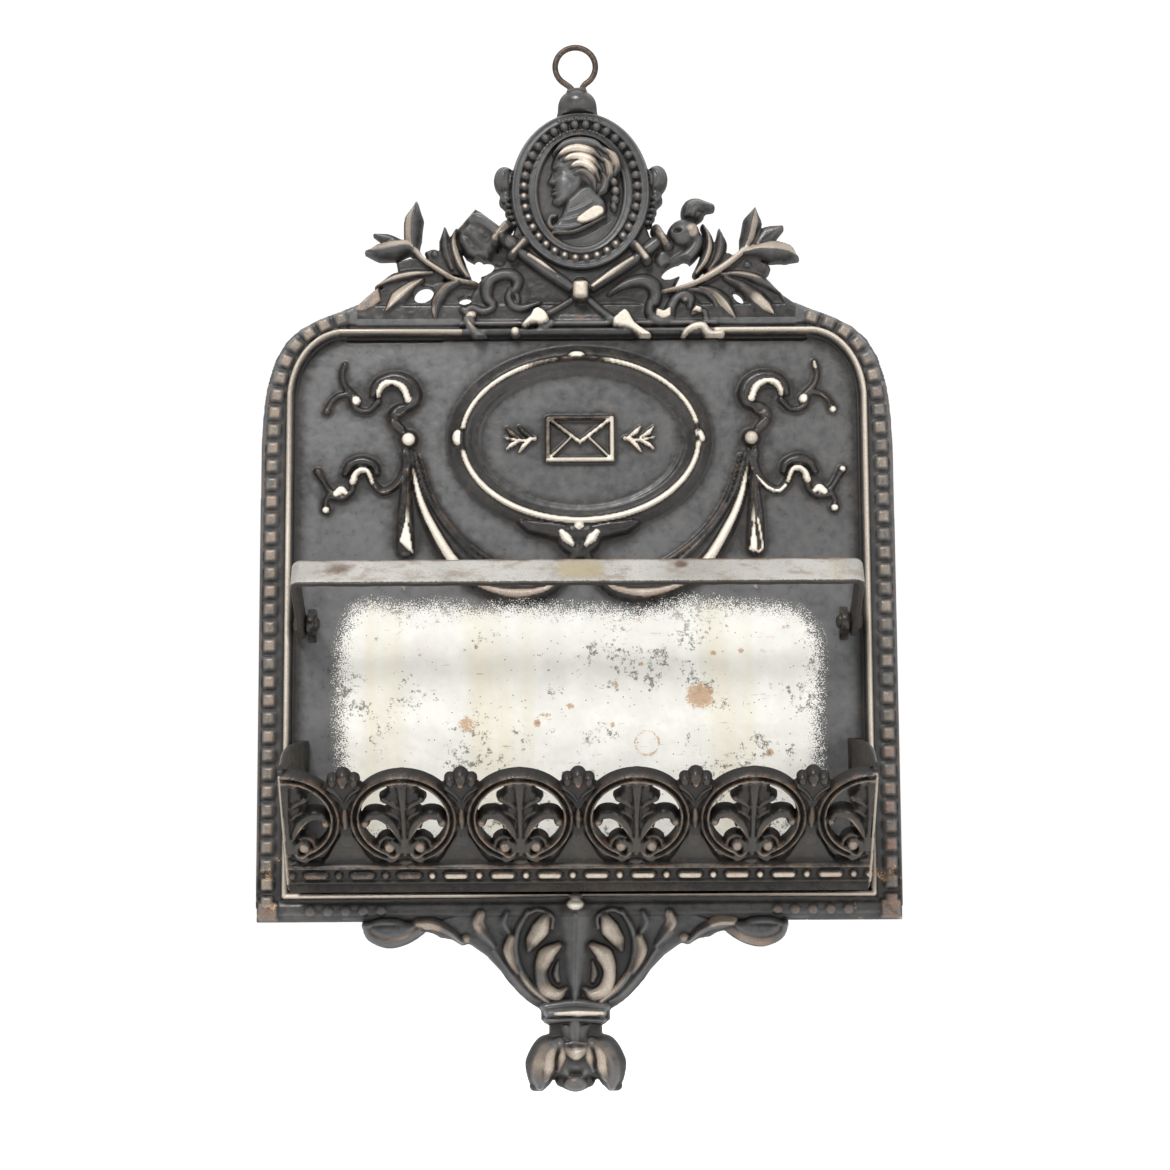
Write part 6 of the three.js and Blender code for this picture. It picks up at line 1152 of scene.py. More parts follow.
def add_mesh(name, verts, faces, mats, body, node=None, smooth=40, bevel=0.0, levels=0, scale=0.001):
    """A piece from explicit vertices and faces, in millimetres."""
    me = bpy.data.meshes.new(name)
    me.from_pydata([tuple(c * scale for c in v) for v in verts], [], faces)
    me.validate()
    face_out(me)
    ob = bpy.data.objects.new(name, me)
    bpy.context.scene.collection.objects.link(ob)
    if bevel:
        b = ob.modifiers.new("bevel", "BEVEL")
        b.width, b.segments, b.limit_method, b.angle_limit = bevel * scale, 3, "ANGLE", math.radians(35)
    if levels:
        s = ob.modifiers.new("smooth", "SUBSURF")
        s.levels = s.render_levels = levels
    if bevel or levels:
        new = bpy.data.meshes.new_from_object(ob.evaluated_get(bpy.context.evaluated_depsgraph_get()))
        ob.modifiers.clear()
        ob.data = new
        bpy.data.meshes.remove(me)
        me = new
    me.polygons.foreach_set("use_smooth", np.ones(len(me.polygons), bool))
    me.set_sharp_from_angle(angle=math.radians(smooth))
    me.materials.clear()
    for m in mats:
        me.materials.append(m)
    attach(ob, body)
    if node:
        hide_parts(node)
    return ob


def lathe(profile, n, origin, axis, wobble=0.0, seed=1):
    """Turned form: profile rows are (distance along the axis, radius)."""
    axis = Vector(axis).normalized()
    side = axis.orthogonal().normalized()
    up = axis.cross(side)
    verts, faces = [], []
    rows = []
    for k, (d, r) in enumerate(profile):
        if r < 1e-6:
            rows.append([len(verts)])
            verts.append(tuple(Vector(origin) + axis * d))
            continue
        row = []
        for i in range(n):
            t = 2 * math.pi * i / n
            w = 1 + wobble * (math.sin(2 * t + seed) + 0.6 * math.sin(3 * t + 2.1 * seed + k) + 0.3 * math.sin(5 * t + seed * k))
            row.append(len(verts))
            verts.append(tuple(Vector(origin) + axis * (d * (1 + 0.3 * wobble * math.cos(t + seed))) + (side * math.cos(t) + up * math.sin(t)) * (r * w)))
        rows.append(row)
    for a, b in zip(rows[:-1], rows[1:]):
        for i in range(n):
            j = (i + 1) % n
            if len(a) == 1 and len(b) > 1:
                faces.append((a[0], b[j], b[i]))
            elif len(b) == 1 and len(a) > 1:
                faces.append((a[i], a[j], b[0]))
            elif len(a) > 1:
                faces.append((a[i], a[j], b[j], b[i]))
    return verts, faces


def tube(points, radius, n=20, flat=1.0):
    """A round bar along a line of points, closed at both ends."""
    pts = [Vector(p) for p in points]
    verts, faces = [], []
    normal = None
    for i, p in enumerate(pts):
        t = (pts[min(i + 1, len(pts) - 1)] - pts[max(i - 1, 0)]).normalized()
        if normal is None:
            normal = t.orthogonal().normalized()
        normal = (normal - t * normal.dot(t)).normalized()
        b = t.cross(normal)
        r = radius(i / (len(pts) - 1)) if callable(radius) else radius
        for k in range(n):
            a = 2 * math.pi * k / n
            verts.append(tuple(p + normal * (r * math.cos(a)) + b * (r * math.sin(a) * flat)))
    m = len(pts)
    for i in range(m - 1):
        for k in range(n):
            j = (k + 1) % n
            faces.append((i * n + k, i * n + j, (i + 1) * n + j, (i + 1) * n + k))
    faces.append(tuple(reversed(range(n))))
    faces.append(tuple((m - 1) * n + k for k in range(n)))
    return verts, faces


# ---------------------------------------------------------------- materials
class Paint:
    """Small helper for node materials; its numbers are in millimetres of the object's own frame."""

    def __init__(self, name, back=False):
        self.m = bpy.data.materials.new(name)
        self.m.use_nodes = True
        self.t = self.m.node_tree
        self.t.nodes.clear()
        self.out = self.t.nodes.new("ShaderNodeOutputMaterial")
        self.b = self.t.nodes.new("ShaderNodeBsdfPrincipled")
        self.t.links.new(self.b.outputs[0], self.out.inputs[0])
        c = self.t.nodes.new("ShaderNodeTexCoord")
        s = self.t.nodes.new("ShaderNodeVectorMath")
        s.operation = "SCALE"
        s.inputs["Scale"].default_value = 1000.0
        self.t.links.new(c.outputs["Object"], s.inputs[0])
        self.p = s.outputs[0]

    def put(self, socket, v):
        if isinstance(v, (int, float)):
            socket.default_value = v
        elif isinstance(v, tuple):
            socket.default_value = v if len(v) == 4 or socket.type == "VECTOR" else v + (1.0,)
        else:
            self.t.links.new(v, socket)

    def noise(self, scale, detail=3.0, rough=0.55, distort=0.0, vec=None, stretch=None, seed=0.0):
        n = self.t.nodes.new("ShaderNodeTexNoise")
        n.noise_dimensions = "3D"
        v = vec or self.p
        m = self.t.nodes.new("ShaderNodeMapping")
        m.inputs["Location"].default_value = (seed * 13.7, seed * 7.3, seed * 3.1)
        m.inputs["Scale"].default_value = stretch or (1, 1, 1)
        self.t.links.new(v, m.inputs["Vector"])
        self.t.links.new(m.outputs[0], n.inputs["Vector"])
        n.inputs["Scale"].default_value = scale
        n.inputs["Detail"].default_value = detail
        n.inputs["Roughness"].default_value = rough
        n.inputs["Distortion"].default_value = distort
        return n.outputs["Fac"]

    def cells(self, scale, feature="F1", seed=0.0, out="Distance"):
        n = self.t.nodes.new("ShaderNodeTexVoronoi")
        n.feature = feature
        m = self.t.nodes.new("ShaderNodeMapping")
        m.inputs["Location"].default_value = (seed * 11.1, seed * 5.9, seed * 2.3)
        self.t.links.new(self.p, m.inputs["Vector"])
        self.t.links.new(m.outputs[0], n.inputs["Vector"])
        n.inputs["Scale"].default_value = scale
        return n.outputs[out]

    def attr(self, name):
        n = self.t.nodes.new("ShaderNodeAttribute")
        n.attribute_name = name
        s = self.t.nodes.new("ShaderNodeSeparateXYZ")
        self.t.links.new(n.outputs["Vector"], s.inputs[0])
        return s.outputs[0], s.outputs[1], s.outputs[2]

    def xyz(self):
        s = self.t.nodes.new("ShaderNodeSeparateXYZ")
        self.t.links.new(self.p, s.inputs[0])
        return s.outputs[0], s.outputs[1], s.outputs[2]

    def do(self, op, a, b=None, clamp=False):
        n = self.t.nodes.new("ShaderNodeMath")
        n.operation, n.use_clamp = op, clamp
        self.put(n.inputs[0], a)
        if b is not None:
            self.put(n.inputs[1], b)
        return n.outputs[0]

    def step(self, x, lo, hi, a=0.0, b=1.0, kind="SMOOTHSTEP"):
        n = self.t.nodes.new("ShaderNodeMapRange")
        n.interpolation_type = kind
        for i, v in enumerate((x, lo, hi, a, b)):
            self.put(n.inputs[i], v)
        return n.outputs[0]

    def mix(self, f, a, b, mode="MIX"):
        n = self.t.nodes.new("ShaderNodeMix")
        n.data_type, n.blend_type = "RGBA", mode
        self.put(n.inputs["Factor"], f)
        self.put(n.inputs[6], a)
        self.put(n.inputs[7], b)
        return n.outputs[2]

    def ramp(self, x, stops):
        n = self.t.nodes.new("ShaderNodeValToRGB")
        r = n.color_ramp
        while len(r.elements) < len(stops):
            r.elements.new(0.5)
        for e, (p, c) in zip(r.elements, stops):
            e.position, e.color = p, tuple(c) + (1.0,)
        self.put(n.inputs[0], x)
        return n.outputs["Color"]

    def bump(self, height, strength, distance):
        n = self.t.nodes.new("ShaderNodeBump")
        n.inputs["Strength"].default_value = strength
        n.inputs["Distance"].default_value = distance * 0.001
        self.put(n.inputs["Height"], height)
        self.t.links.new(n.outputs[0], self.b.inputs["Normal"])

    def set(self, **kw):
        for k, v in kw.items():
            self.put(self.b.inputs[k.replace("_", " ")], v)


def iron(name, dark, soft, grey, tan, shine=0.45, gloss=(0.34, 0.62)):
    """Black japan on cast iron, rubbed through where hands and letters touch it. One attribute holds the rubbed spots,
    their reddish tint and the greying (dust and painted sheen); the other grime with painted shade in hollows, bare
    metal, stains."""
    P = Paint(name)
    W, T, dust_and_sheen = P.attr("wear_and_painted_light")
    cav, bare, stain = P.attr("age_and_shade")
    big, mid, fine = P.noise(0.05, 4, 0.6, seed=1), P.noise(0.33, 5, 0.62, seed=2), P.noise(2.2, 4, 0.65, seed=3)
    speck = P.noise(5.2, 3, 0.7, seed=4)
    # japan: nearly black, paler and browner in clouds
    cloud = P.do("ADD", P.do("MULTIPLY", big, 0.55), P.do("MULTIPLY", mid, 0.45))
    base = P.mix(P.step(cloud, 0.36, 0.66), dark, soft)
    base = P.mix(P.do("MULTIPLY", P.step(P.do("ADD", fine, P.do("MULTIPLY", big, 0.4)), 0.72, 0.92), 0.45), base, (0.085, 0.066, 0.050))
    # greying, dust and painted sheen: flat ground and raised tops mixed towards grey
    g = P.do("MULTIPLY", dust_and_sheen, P.step(P.do("ADD", P.do("MULTIPLY", mid, 0.5), P.do("MULTIPLY", big, 0.6)), 0.3, 0.72, 0.55, 1.0), True)
    base = P.mix(g, base, grey)
    # hollows near black: grime together with painted shade
    base = P.mix(P.do("MULTIPLY", cav, 0.85), base, (0.0065, 0.0055, 0.0048))
    # rubbed metal
    edge = P.do("ADD", W, P.do("MULTIPLY", P.do("SUBTRACT", mid, 0.5), 0.5))
    edge = P.do("ADD", edge, P.do("MULTIPLY", P.do("SUBTRACT", speck, 0.5), 0.7))
    mask = P.do("MULTIPLY", P.step(edge, 0.2, 0.42), P.step(W, 0.04, 0.2))
    level = P.do("ADD", W, P.do("ADD", P.do("MULTIPLY", P.do("SUBTRACT", fine, 0.5), 0.5), P.do("MULTIPLY", P.do("SUBTRACT", mid, 0.5), 0.35)))
    metal = P.ramp(level, tan)
    red = P.mix(P.step(fine, 0.35, 0.7), (0.115, 0.058, 0.038), (0.20, 0.125, 0.088))
    metal = P.mix(P.do("MULTIPLY", T, P.step(P.do("ADD", mid, P.do("MULTIPLY", T, 0.35)), 0.42, 0.78, 0.12, 1.0), True), metal, red)
    col = P.mix(mask, base, metal)
    # rust creeps in at the foot of worn ridges
    foot = P.do("MULTIPLY", P.step(edge, 0.06, 0.2), P.do("SUBTRACT", 1.0, P.step(edge, 0.22, 0.36)))
    col = P.mix(P.do("MULTIPLY", P.do("MULTIPLY", foot, P.step(mid, 0.42, 0.62)), 0.55), col, (0.10, 0.052, 0.030))
    # bare ground
    grain = P.do("ADD", P.do("MULTIPLY", P.do("SUBTRACT", P.noise(0.5, 4, 0.7, seed=6), 0.5), 1.0), P.do("MULTIPLY", P.do("SUBTRACT", P.noise(2.4, 2, 0.6, seed=14), 0.5), 2.8))
    raw = P.do("MULTIPLY", P.step(P.do("ADD", bare, grain), 0.46, 0.58), P.step(bare, 0.03, 0.15))
    rubbed_and_shaded = P.mix(P.step(P.noise(0.10, 4, 0.6, seed=7), 0.35, 0.7), (0.67, 0.657, 0.608), (0.76, 0.744, 0.692))
    x, y, z = P.xyz()
    # yellowed streaks where a letter's edge rubbed, fine pits in groups, dark scratches along the letters' way
    band = P.step(P.noise(0.07, 2, 0.5, stretch=(1.0, 1.0, 0.05), seed=9), 0.52, 0.68)
    rubbed_and_shaded = P.mix(P.do("MULTIPLY", band, 0.5), rubbed_and_shaded, (0.65, 0.59, 0.42))
    group = P.step(P.noise(0.055, 3, 0.6, seed=10), 0.45, 0.62)
    pits = P.do("ADD", P.noise(0.55, 6, 0.78, distort=0.0, seed=8), P.do("MULTIPLY", P.do("SUBTRACT", group, 0.5), 0.13))
    rubbed_and_shaded = P.mix(P.do("MULTIPLY", P.step(pits, 0.588, 0.635), 0.85), rubbed_and_shaded, P.mix(P.step(fine, 0.4, 0.6), (0.045, 0.042, 0.038), (0.20, 0.175, 0.14)))
    rubbed_and_shaded = P.mix(P.do("MULTIPLY", P.step(P.noise(0.9, 5, 0.75, seed=12), 0.60, 0.72), 0.35), rubbed_and_shaded, (0.46, 0.40, 0.32))
    rubbed_and_shaded = P.mix(P.do("MULTIPLY", P.step(P.noise(0.55, 3, 0.6, stretch=(0.25, 1.0, 1.6), seed=13), 0.68, 0.74), 0.6), rubbed_and_shaded, (0.30, 0.28, 0.25))
    rubbed_and_shaded = P.mix(P.step(P.cells(0.42, seed=3), 0.11, 0.05), rubbed_and_shaded, (0.045, 0.035, 0.03))
    # painted shade: the worn patch darker towards its top, next to the bar
    rubbed_and_shaded = P.mix(P.step(z, -22.0, -12.0, 0.0, 0.42), rubbed_and_shaded, (0.36, 0.355, 0.335))
    col = P.mix(raw, col, rubbed_and_shaded)
    st = P.do("ADD", stain, P.do("ADD", P.do("MULTIPLY", P.do("SUBTRACT", mid, 0.5), 0.8), P.do("MULTIPLY", P.do("SUBTRACT", fine, 0.5), 1.6)))
    st = P.do("MULTIPLY", P.step(st, 0.38, 0.60), P.step(stain, 0.02, 0.12))
    deep = P.step(P.do("ADD", stain, P.do("MULTIPLY", P.do("SUBTRACT", fine, 0.5), 0.9)), 0.80, 1.0)
    col = P.mix(P.do("MULTIPLY", st, 0.85), col, P.mix(deep, P.mix(P.step(speck, 0.35, 0.65), (0.34, 0.195, 0.10), (0.56, 0.36, 0.205)), (0.060, 0.036, 0.026)))
    rough = P.step(P.do("ADD", P.do("MULTIPLY", mid, 0.6), P.do("MULTIPLY", fine, 0.4)), 0.3, 0.7, gloss[0], gloss[1])
    rough = P.do("ADD", rough, P.do("MULTIPLY", cav, 0.2))
    rough = P.do("ADD", rough, P.do("MULTIPLY", P.do("MAXIMUM", mask, raw), 0.08), True)
    P.set(Base_Color=col, Roughness=rough, Specular_IOR_Level=shine)
    P.set(Metallic=P.do("MULTIPLY", P.do("MULTIPLY", mask, P.do("SUBTRACT", 1.0, T)), 0.25, True))
    height = P.do("ADD", P.do("MULTIPLY", fine, 0.5), P.do("ADD", P.do("MULTIPLY", speck, 0.25), P.do("MULTIPLY", mid, 0.5)))
    height = P.do("SUBTRACT", height, P.do("MULTIPLY", mask, 0.15))
    P.bump(height, 0.5, 0.12)
    return P.m


TAN = [(0.0, (0.055, 0.045, 0.036)), (0.36, (0.165, 0.140, 0.112)), (0.6, (0.31, 0.272, 0.222)), (0.82, (0.50, 0.452, 0.38)), (1.0, (0.70, 0.645, 0.555))]
plate_iron = iron("japanned_iron", (0.0075, 0.0070, 0.0066), (0.022, 0.0205, 0.0190), (0.108, 0.1085, 0.1095), TAN, shine=0.42, gloss=(0.24, 0.46))
gallery_iron = iron("japanned_iron_gallery", (0.0060, 0.0050, 0.0042), (0.015, 0.0124, 0.0098), (0.040, 0.036, 0.030), TAN, shine=0.32, gloss=(0.24, 0.46))


def back_iron():
    P = Paint("rough_cast_back")
    big, mid, fine = P.noise(0.06, 4, 0.6, seed=21), P.noise(0.5, 6, 0.7, seed=22), P.noise(3.0, 4, 0.7, seed=23)
    col = P.mix(P.step(big, 0.35, 0.68), (0.013, 0.0115, 0.010), (0.045, 0.037, 0.029))
    col = P.mix(P.do("MULTIPLY", P.step(mid, 0.52, 0.7), 0.6), col, (0.105, 0.055, 0.030))
    col = P.mix(P.do("MULTIPLY", P.step(fine, 0.6, 0.8), 0.4), col, (0.16, 0.12, 0.09))
    P.set(Base_Color=col, Roughness=P.step(mid, 0.3, 0.7, 0.55, 0.85), Specular_IOR_Level=0.3)
    P.bump(P.do("ADD", P.do("MULTIPLY", mid, 0.8), P.do("ADD", P.do("MULTIPLY", fine, 0.35), P.do("MULTIPLY", P.cells(0.45, seed=5), 0.35))), 0.8, 0.35)
    return P.m


def bar_iron():
    """The bar's black has gone: bare grey metal with brown stains, redder along its edges, and near black as painted
    shade along its lower edge, its inner face and its arms.
    """
    P = Paint("bare_bar")
    x, y, z = P.xyz()
    big, mid, fine, speck = P.noise(0.045, 4, 0.6, seed=31), P.noise(0.3, 5, 0.65, seed=32, stretch=(0.45, 1, 1)), P.noise(1.8, 5, 0.7, seed=33), P.noise(6.0, 3, 0.7, seed=34)
    col = P.mix(P.step(big, 0.35, 0.65), (0.44, 0.425, 0.40), (0.60, 0.585, 0.56))
    col = P.mix(P.do("MULTIPLY", P.step(mid, 0.47, 0.66), 0.65), col, (0.33, 0.275, 0.21))
    col = P.mix(P.do("MULTIPLY", P.step(fine, 0.55, 0.7), 0.6), col, (0.18, 0.115, 0.07))
    A = P.attr("wear_and_painted_light")
    col = P.mix(P.do("MULTIPLY", P.step(P.do("ADD", A[0], P.do("MULTIPLY", P.do("SUBTRACT", mid, 0.5), 0.6)), 0.35, 0.75), 0.9), col, P.mix(P.step(fine, 0.35, 0.65), (0.07, 0.036, 0.021), (0.20, 0.11, 0.062)))
    col = P.mix(P.do("MULTIPLY", P.step(P.do("ADD", A[1], P.do("MULTIPLY", P.do("SUBTRACT", fine, 0.5), 0.5)), 0.3, 0.8), 0.7), col, (0.47, 0.385, 0.22))
    # painted shade in near black from the third channel
    col = P.mix(P.do("MULTIPLY", P.step(P.do("ADD", A[2], P.do("ADD", P.do("MULTIPLY", P.do("SUBTRACT", fine, 0.5), 0.7), P.do("MULTIPLY", P.do("SUBTRACT", speck, 0.5), 0.4))), 0.35, 0.6), 0.92), col, (0.030, 0.022, 0.017))
    P.set(Base_Color=P.mix(1.0, col, (0.50, 0.495, 0.485), "MULTIPLY"), Roughness=P.step(fine, 0.3, 0.7, 0.45, 0.65), Specular_IOR_Level=0.3, Metallic=0.1)
    P.bump(P.do("ADD", P.do("MULTIPLY", fine, 0.6), P.do("ADD", P.do("MULTIPLY", mid, 0.6), P.do("MULTIPLY", speck, 0.2))), 0.6, 0.18)
    return P.m


def plain_metal(name, a, b, rust, rough=(0.35, 0.6), metallic=0.6, seed=40, amount=0.5):
    P = Paint(name)
    big, mid, fine = P.noise(0.12, 4, 0.6, seed=seed), P.noise(0.9, 5, 0.65, seed=seed + 1), P.noise(3.5, 4, 0.7, seed=seed + 2)
    col = P.mix(P.step(P.do("ADD", P.do("MULTIPLY", big, 0.4), P.do("MULTIPLY", mid, 0.6)), 0.38, 0.64), a, b)
    col = P.mix(P.do("MULTIPLY", P.step(P.do("ADD", P.do("MULTIPLY", mid, 0.5), P.do("MULTIPLY", fine, 0.5)), 0.5, 0.66), amount), col, rust)
    P.set(Base_Color=col, Roughness=P.step(fine, 0.3, 0.7, rough[0], rough[1]), Specular_IOR_Level=0.4, Metallic=metallic)
    P.bump(P.do("ADD", P.do("MULTIPLY", fine, 0.5), P.do("MULTIPLY", mid, 0.6)), 0.6, 0.12)
    return P.m


cast_back = back_iron()
bare_bar = bar_iron()
rivet_iron = plain_metal("rivet_iron", (0.022, 0.018, 0.015), (0.066, 0.054, 0.044), (0.085, 0.045, 0.028), seed=41)
wire_iron = plain_metal("hanger_wire", (0.030, 0.022, 0.018), (0.085, 0.062, 0.048), (0.13, 0.065, 0.036), seed=47, amount=0.6)
screw_steel = plain_metal("screw_steel", (0.12, 0.11, 0.10), (0.26, 0.245, 0.225), (0.13, 0.07, 0.04), seed=53)


# ---------------------------------------------------------------- the plate, cut into pieces along hidden lines
def loop_of(right):
    return right + [(-x, z) for x, z in reversed(right)]


def plate_back(R):
    """Back face of the casting: slightly uneven, with the countersinks of the four screws."""
    X, Z = grid(R)
    B = 0.16 + 0.07 * noise2(X, Z, 7.0, 77) + 0.05 * noise2(X, Z, 2.6, 78)
    for x, z, r, head, hh in ((-85.5, -53.6, 1.2, 2.4, 1.2), (85.5, -53.6, 1.2, 2.4, 1.2), (-46, -90.5, 2.0, 3.7, 1.7), (46, -90.5, 2.0, 3.7, 1.7)):
        d = np.hypot(X - x, Z - z)
        B = np.where(d < head + 0.35, np.maximum(B, np.clip(0.25 + hh * (head + 0.35 - d) / (head - r), 0.0, hh + 0.4)), B)
    return B


def age_and_sheen_field(R):
    """Grey flat ground as painted sheen, less of it towards the upper right and inside the dish, with a worn patch
    behind the letters and the stains on it.
    """
    X, Z = grid(R)
    flat = sm(3.7, 3.15, gauss(R.H, 0.35 / R.step))
    R.dust_and_sheen = np.maximum(R.dust_and_sheen, flat * (1 - sm(0.03, 0.5, R.cav)) * (1 - (0.12 + 0.26 * sm(0, 80, X)) * sm(0, 20, Z)))
    R.dust_and_sheen *= 1 - 0.14 * sm(1.08, 0.9, np.hypot((X - 1.0) / 31.9, (Z - 45.7) / 21.6))
    patch = [(-72.69, -12.55), (-70.54, -7.54), (-65.57, -4.73), (-55.56, -6.67), (-43.07, -5.79), (-30.57, -7.43), (-14.95, -6.57), (0.66, -7.28), (19.39, -8.64), (28.15, -6.48), (35.05, -4.63), (47.53, -5.96), (60.01, -6.97), (69.35, -8.59), (73.95, -13.32), (76.00, -21.16), (75.10, -36.76), (74.77, -55.37), (74.63, -80.61), (37.29, -82.87), (0.30, -81.45), (-36.71, -82.48), (-71.88, -79.23), (-73.26, -60.77), (-74.59, -48.39), (-75.03, -32.86), (-74.22, -17.24)]
    d = poly_distance(np.array(patch), R.xs[None, :], R.zs[:, None])
    R.bare = np.clip(0.42 + d / 7.5, -0.6, 1.3)
    R.bare -= 0.2 * sm(-66, -80, Z)
    for x, z, a, b, v in [(37.82, -35.32, 6, 5.6, 0.78), (-12.86, -43.44, 1.6, 1.5, 0.9), (-34.59, -43.95, 4.4, 3.8, 0.6), (-2.60, -38.22, 1.6, 1.2, 0.7), (-10.37, -40.97, 2.6, 1, 0.6), (59.16, -53.00, 1.7, 1.6, 0.9), (50.76, -21.19, 1.3, 1.1, 0.8), (10.60, -44.19, 1.1, 1.2, 0.75), (19.57, -25.24, 1.2, 1, 0.7), (42.03, -21.92, 1.3, 1.2, 0.85), (64.27, -13.90, 1, 0.9, 0.8), (11.74, -31.75, 0.6, 3.2, 0.75), (-22.49, -50.53, 3, 0.5, 0.6), (37.63, -52.39, 0.6, 2.8, 0.65), (18.43, -11.46, 2.6, 0.5, 0.6), (-49.26, -22.07, 1, 0.8, 0.7), (-57.91, -36.06, 1.4, 0.9, 0.6), (3.69, -23.91, 0.9, 0.7, 0.6), (31.79, -17.80, 1.2, 0.6, 0.55)]:
        u = np.hypot((X - x) / a, (Z - z) / b)
        R.stain = np.maximum(R.stain, v * sm(1.15, 0.35, u))
    for x, z, r in [(21.23, -49.83, 3.7)]:
        R.stain = np.maximum(R.stain, 0.62 * np.exp(-(((np.hypot(X - x, Z - z) - r) / 0.5) ** 2)))


def sheen_and_dust_on_tops(R, most=0.65):
    """Raised parts are handled and dusted grey, with a painted sheen on their tops; what lies deep stays black."""
    R.dust_and_sheen = np.maximum(R.dust_and_sheen, most * (1 - sm(0.0, 0.4, R.cav)) * (0.3 + 0.7 * sm(0.0, 0.45, R.conv)))


def inner(R, off):
    return poly_distance(np.array(loop_of(rim_line(off))), R.xs[None, :], R.zs[:, None])


def shoulder(R):
    """Signed distance into the part of the panel below the crest."""
    X, Z = grid(R)
    right = [(HALF_WIDTH, PANEL_BOTTOM)] + SHOULDER
    d = poly_distance(np.array(loop_of(right)), R.xs[None, :], R.zs[:, None])
    return np.minimum(d, np.maximum(84.6 - Z, np.abs(X) - 69.4))


PLATE = (plate_iron, cast_back)
R = make_map(-94, 94, 1.5, 84, 0.42, [draw_panel, draw_field])
age_and_sheen_field(R)
d_in = inner(R, -2.0)
R.H -= 0.35 * sm(0, 0.5, -d_in)
X, Z = grid(R)
shell("plate_field_upper", R, np.minimum(inner(R, -1.3), Z - 5.0), 196000, B=plate_back(R), node="back_plate", mats=PLATE)

R = make_map(-94, 94, -100, 9, 0.58, [draw_panel, draw_field], seed=3)
age_and_sheen_field(R)
d_in = inner(R, -2.0)
R.H -= 0.35 * sm(0, 0.5, -d_in)
X, Z = grid(R)
shell("plate_field_lower", R, np.minimum(inner(R, -1.3), 5.0 - Z), 130000, B=plate_back(R), node="back_plate", mats=PLATE)

R = make_map(-102, 102, -107, 92.5, 0.35, [draw_panel, draw_crest, draw_console])
sheen_and_dust_on_tops(R, 0.8)
# painted sheen: the lower border greyed, kept out of its hollows
R.dust_and_sheen = np.maximum(R.dust_and_sheen, 0.82 * (1 - 0.8 * sm(0.25, 0.9, R.cav)) * sm(-94, -84, grid(R)[1]))
X, Z = grid(R)
cut = np.maximum(Z + 103.0, np.abs(X + 1.3) - 71.5)
R.stain = np.maximum(R.stain, 0.5 * sm(-60, -96, Z) * sm(0.2, 0.6, noise2(X, Z, 5.0, 9) + 0.6 * noise2(X, Z, 1.8, 10)) * sm(70, 96, np.abs(X)))
shell("plate_border", R, np.minimum(np.minimum(R.S, shoulder(R)), np.minimum(-inner(R, -2.0), cut)), 140000, B=plate_back(R), node="back_plate", mats=PLATE)

R = make_map(-80, 82, 80, 125, 0.27, [draw_panel, draw_crest])
sheen_and_dust_on_tops(R, 0.42)
shell("plate_crest", R, np.minimum(R.S, -shoulder(R)), 192000, node="back_plate", mats=PLATE)

R = make_map(-30, 33, 97, 164, 0.19, [draw_medal], soft=0.13, grain=0.025)
sheen_and_dust_on_tops(R, 0.8)
# painted sheen: the medallion greyed, less at its top and at its sides
R.dust_and_sheen = np.maximum(R.dust_and_sheen, 0.52 * (1 - 0.85 * sm(0.2, 0.8, R.cav)))
R.dust_and_sheen *= 1 - 0.75 * sm(147.5, 152, grid(R)[1]) - 0.5 * sm(21.0, 23.0, np.abs(grid(R)[0] - 1.5))
shell("plate_medallion", R, R.S, 150000, node="back_plate", mats=PLATE)

R = make_map(-76, 74, -159.5, -98, 0.27, [draw_panel, draw_console])
sheen_and_dust_on_tops(R, 0.85)
# painted sheen: the console greyed, more towards its top
R.dust_and_sheen = np.maximum(R.dust_and_sheen, 0.66 * (1 - 0.85 * sm(0.2, 0.8, R.cav)) * (0.25 + 0.75 * sm(-141, -134, grid(R)[1])))
X, Z = grid(R)
shell("plate_console", R, np.minimum(np.minimum(R.S, -103.0 - Z), 71.5 - np.abs(X + 1.3)), 165000, B=plate_back(R), node="back_plate", mats=PLATE)


# ears that carry the bar: rounded lugs with a spread foot
def ears():
    verts, faces = [], []
    for s in (-1, 1):
        prof = []
        for i in range(15):
            t = math.radians(90 - 180 * i / 14)
            prof.append((8.0 + 3.1 * math.cos(t), -12.8 + 3.1 * math.sin(t)))
        prof = [(3.4, -7.6), (4.6, -9.2)] + prof + [(4.6, -16.6), (3.4, -18.2), (1.6, -18.2), (1.6, -7.6)]
        n = len(prof)
        rows = [(0.5, 0.55), (0.68, 0.16), (1.0, 0.0), (2.7, 0.0), (3.02, 0.16), (3.2, 0.55)]
        start = len(verts)
        cx, cz = 6.5, -12.8
        for off, inset in rows:
            for d, z in prof:
                L = math.hypot(d - cx, z - cz)
                k = (L - inset) / L
                verts.append((s * (81.0 + off), -(cx + (d - cx) * k), cz + (z - cz) * k))
        for r in range(len(rows) - 1):
            for i in range(n):
                j = (i + 1) % n
                f = (start + r * n + i, start + r * n + j, start + (r + 1) * n + j, start + (r + 1) * n + i)
                faces.append(f if s > 0 else tuple(reversed(f)))
        a = tuple(start + i for i in range(n))
        b = tuple(start + (len(rows) - 1) * n + i for i in range(n))
        faces.append(tuple(reversed(a)) if s > 0 else a)
        faces.append(b if s > 0 else tuple(reversed(b)))
    return add_mesh("plate_ears", verts, faces, [plate_iron], "holder", "back_plate", smooth=45)


ears()

# ---------------------------------------------------------------- the gallery
LEAN = math.atan2(FRONT_TOP[0] - FRONT_BOTTOM[0], FRONT_TOP[1] - FRONT_BOTTOM[1])
LS, LC = math.sin(LEAN), math.cos(LEAN)


def lean_out(v):
    y, z = v[:, 1] + FRONT_T, v[:, 2]
    return np.stack([v[:, 0], -FRONT_TOP[0] - LS * z + LC * y, FRONT_TOP[1] + LC * z + LS * y], 1)


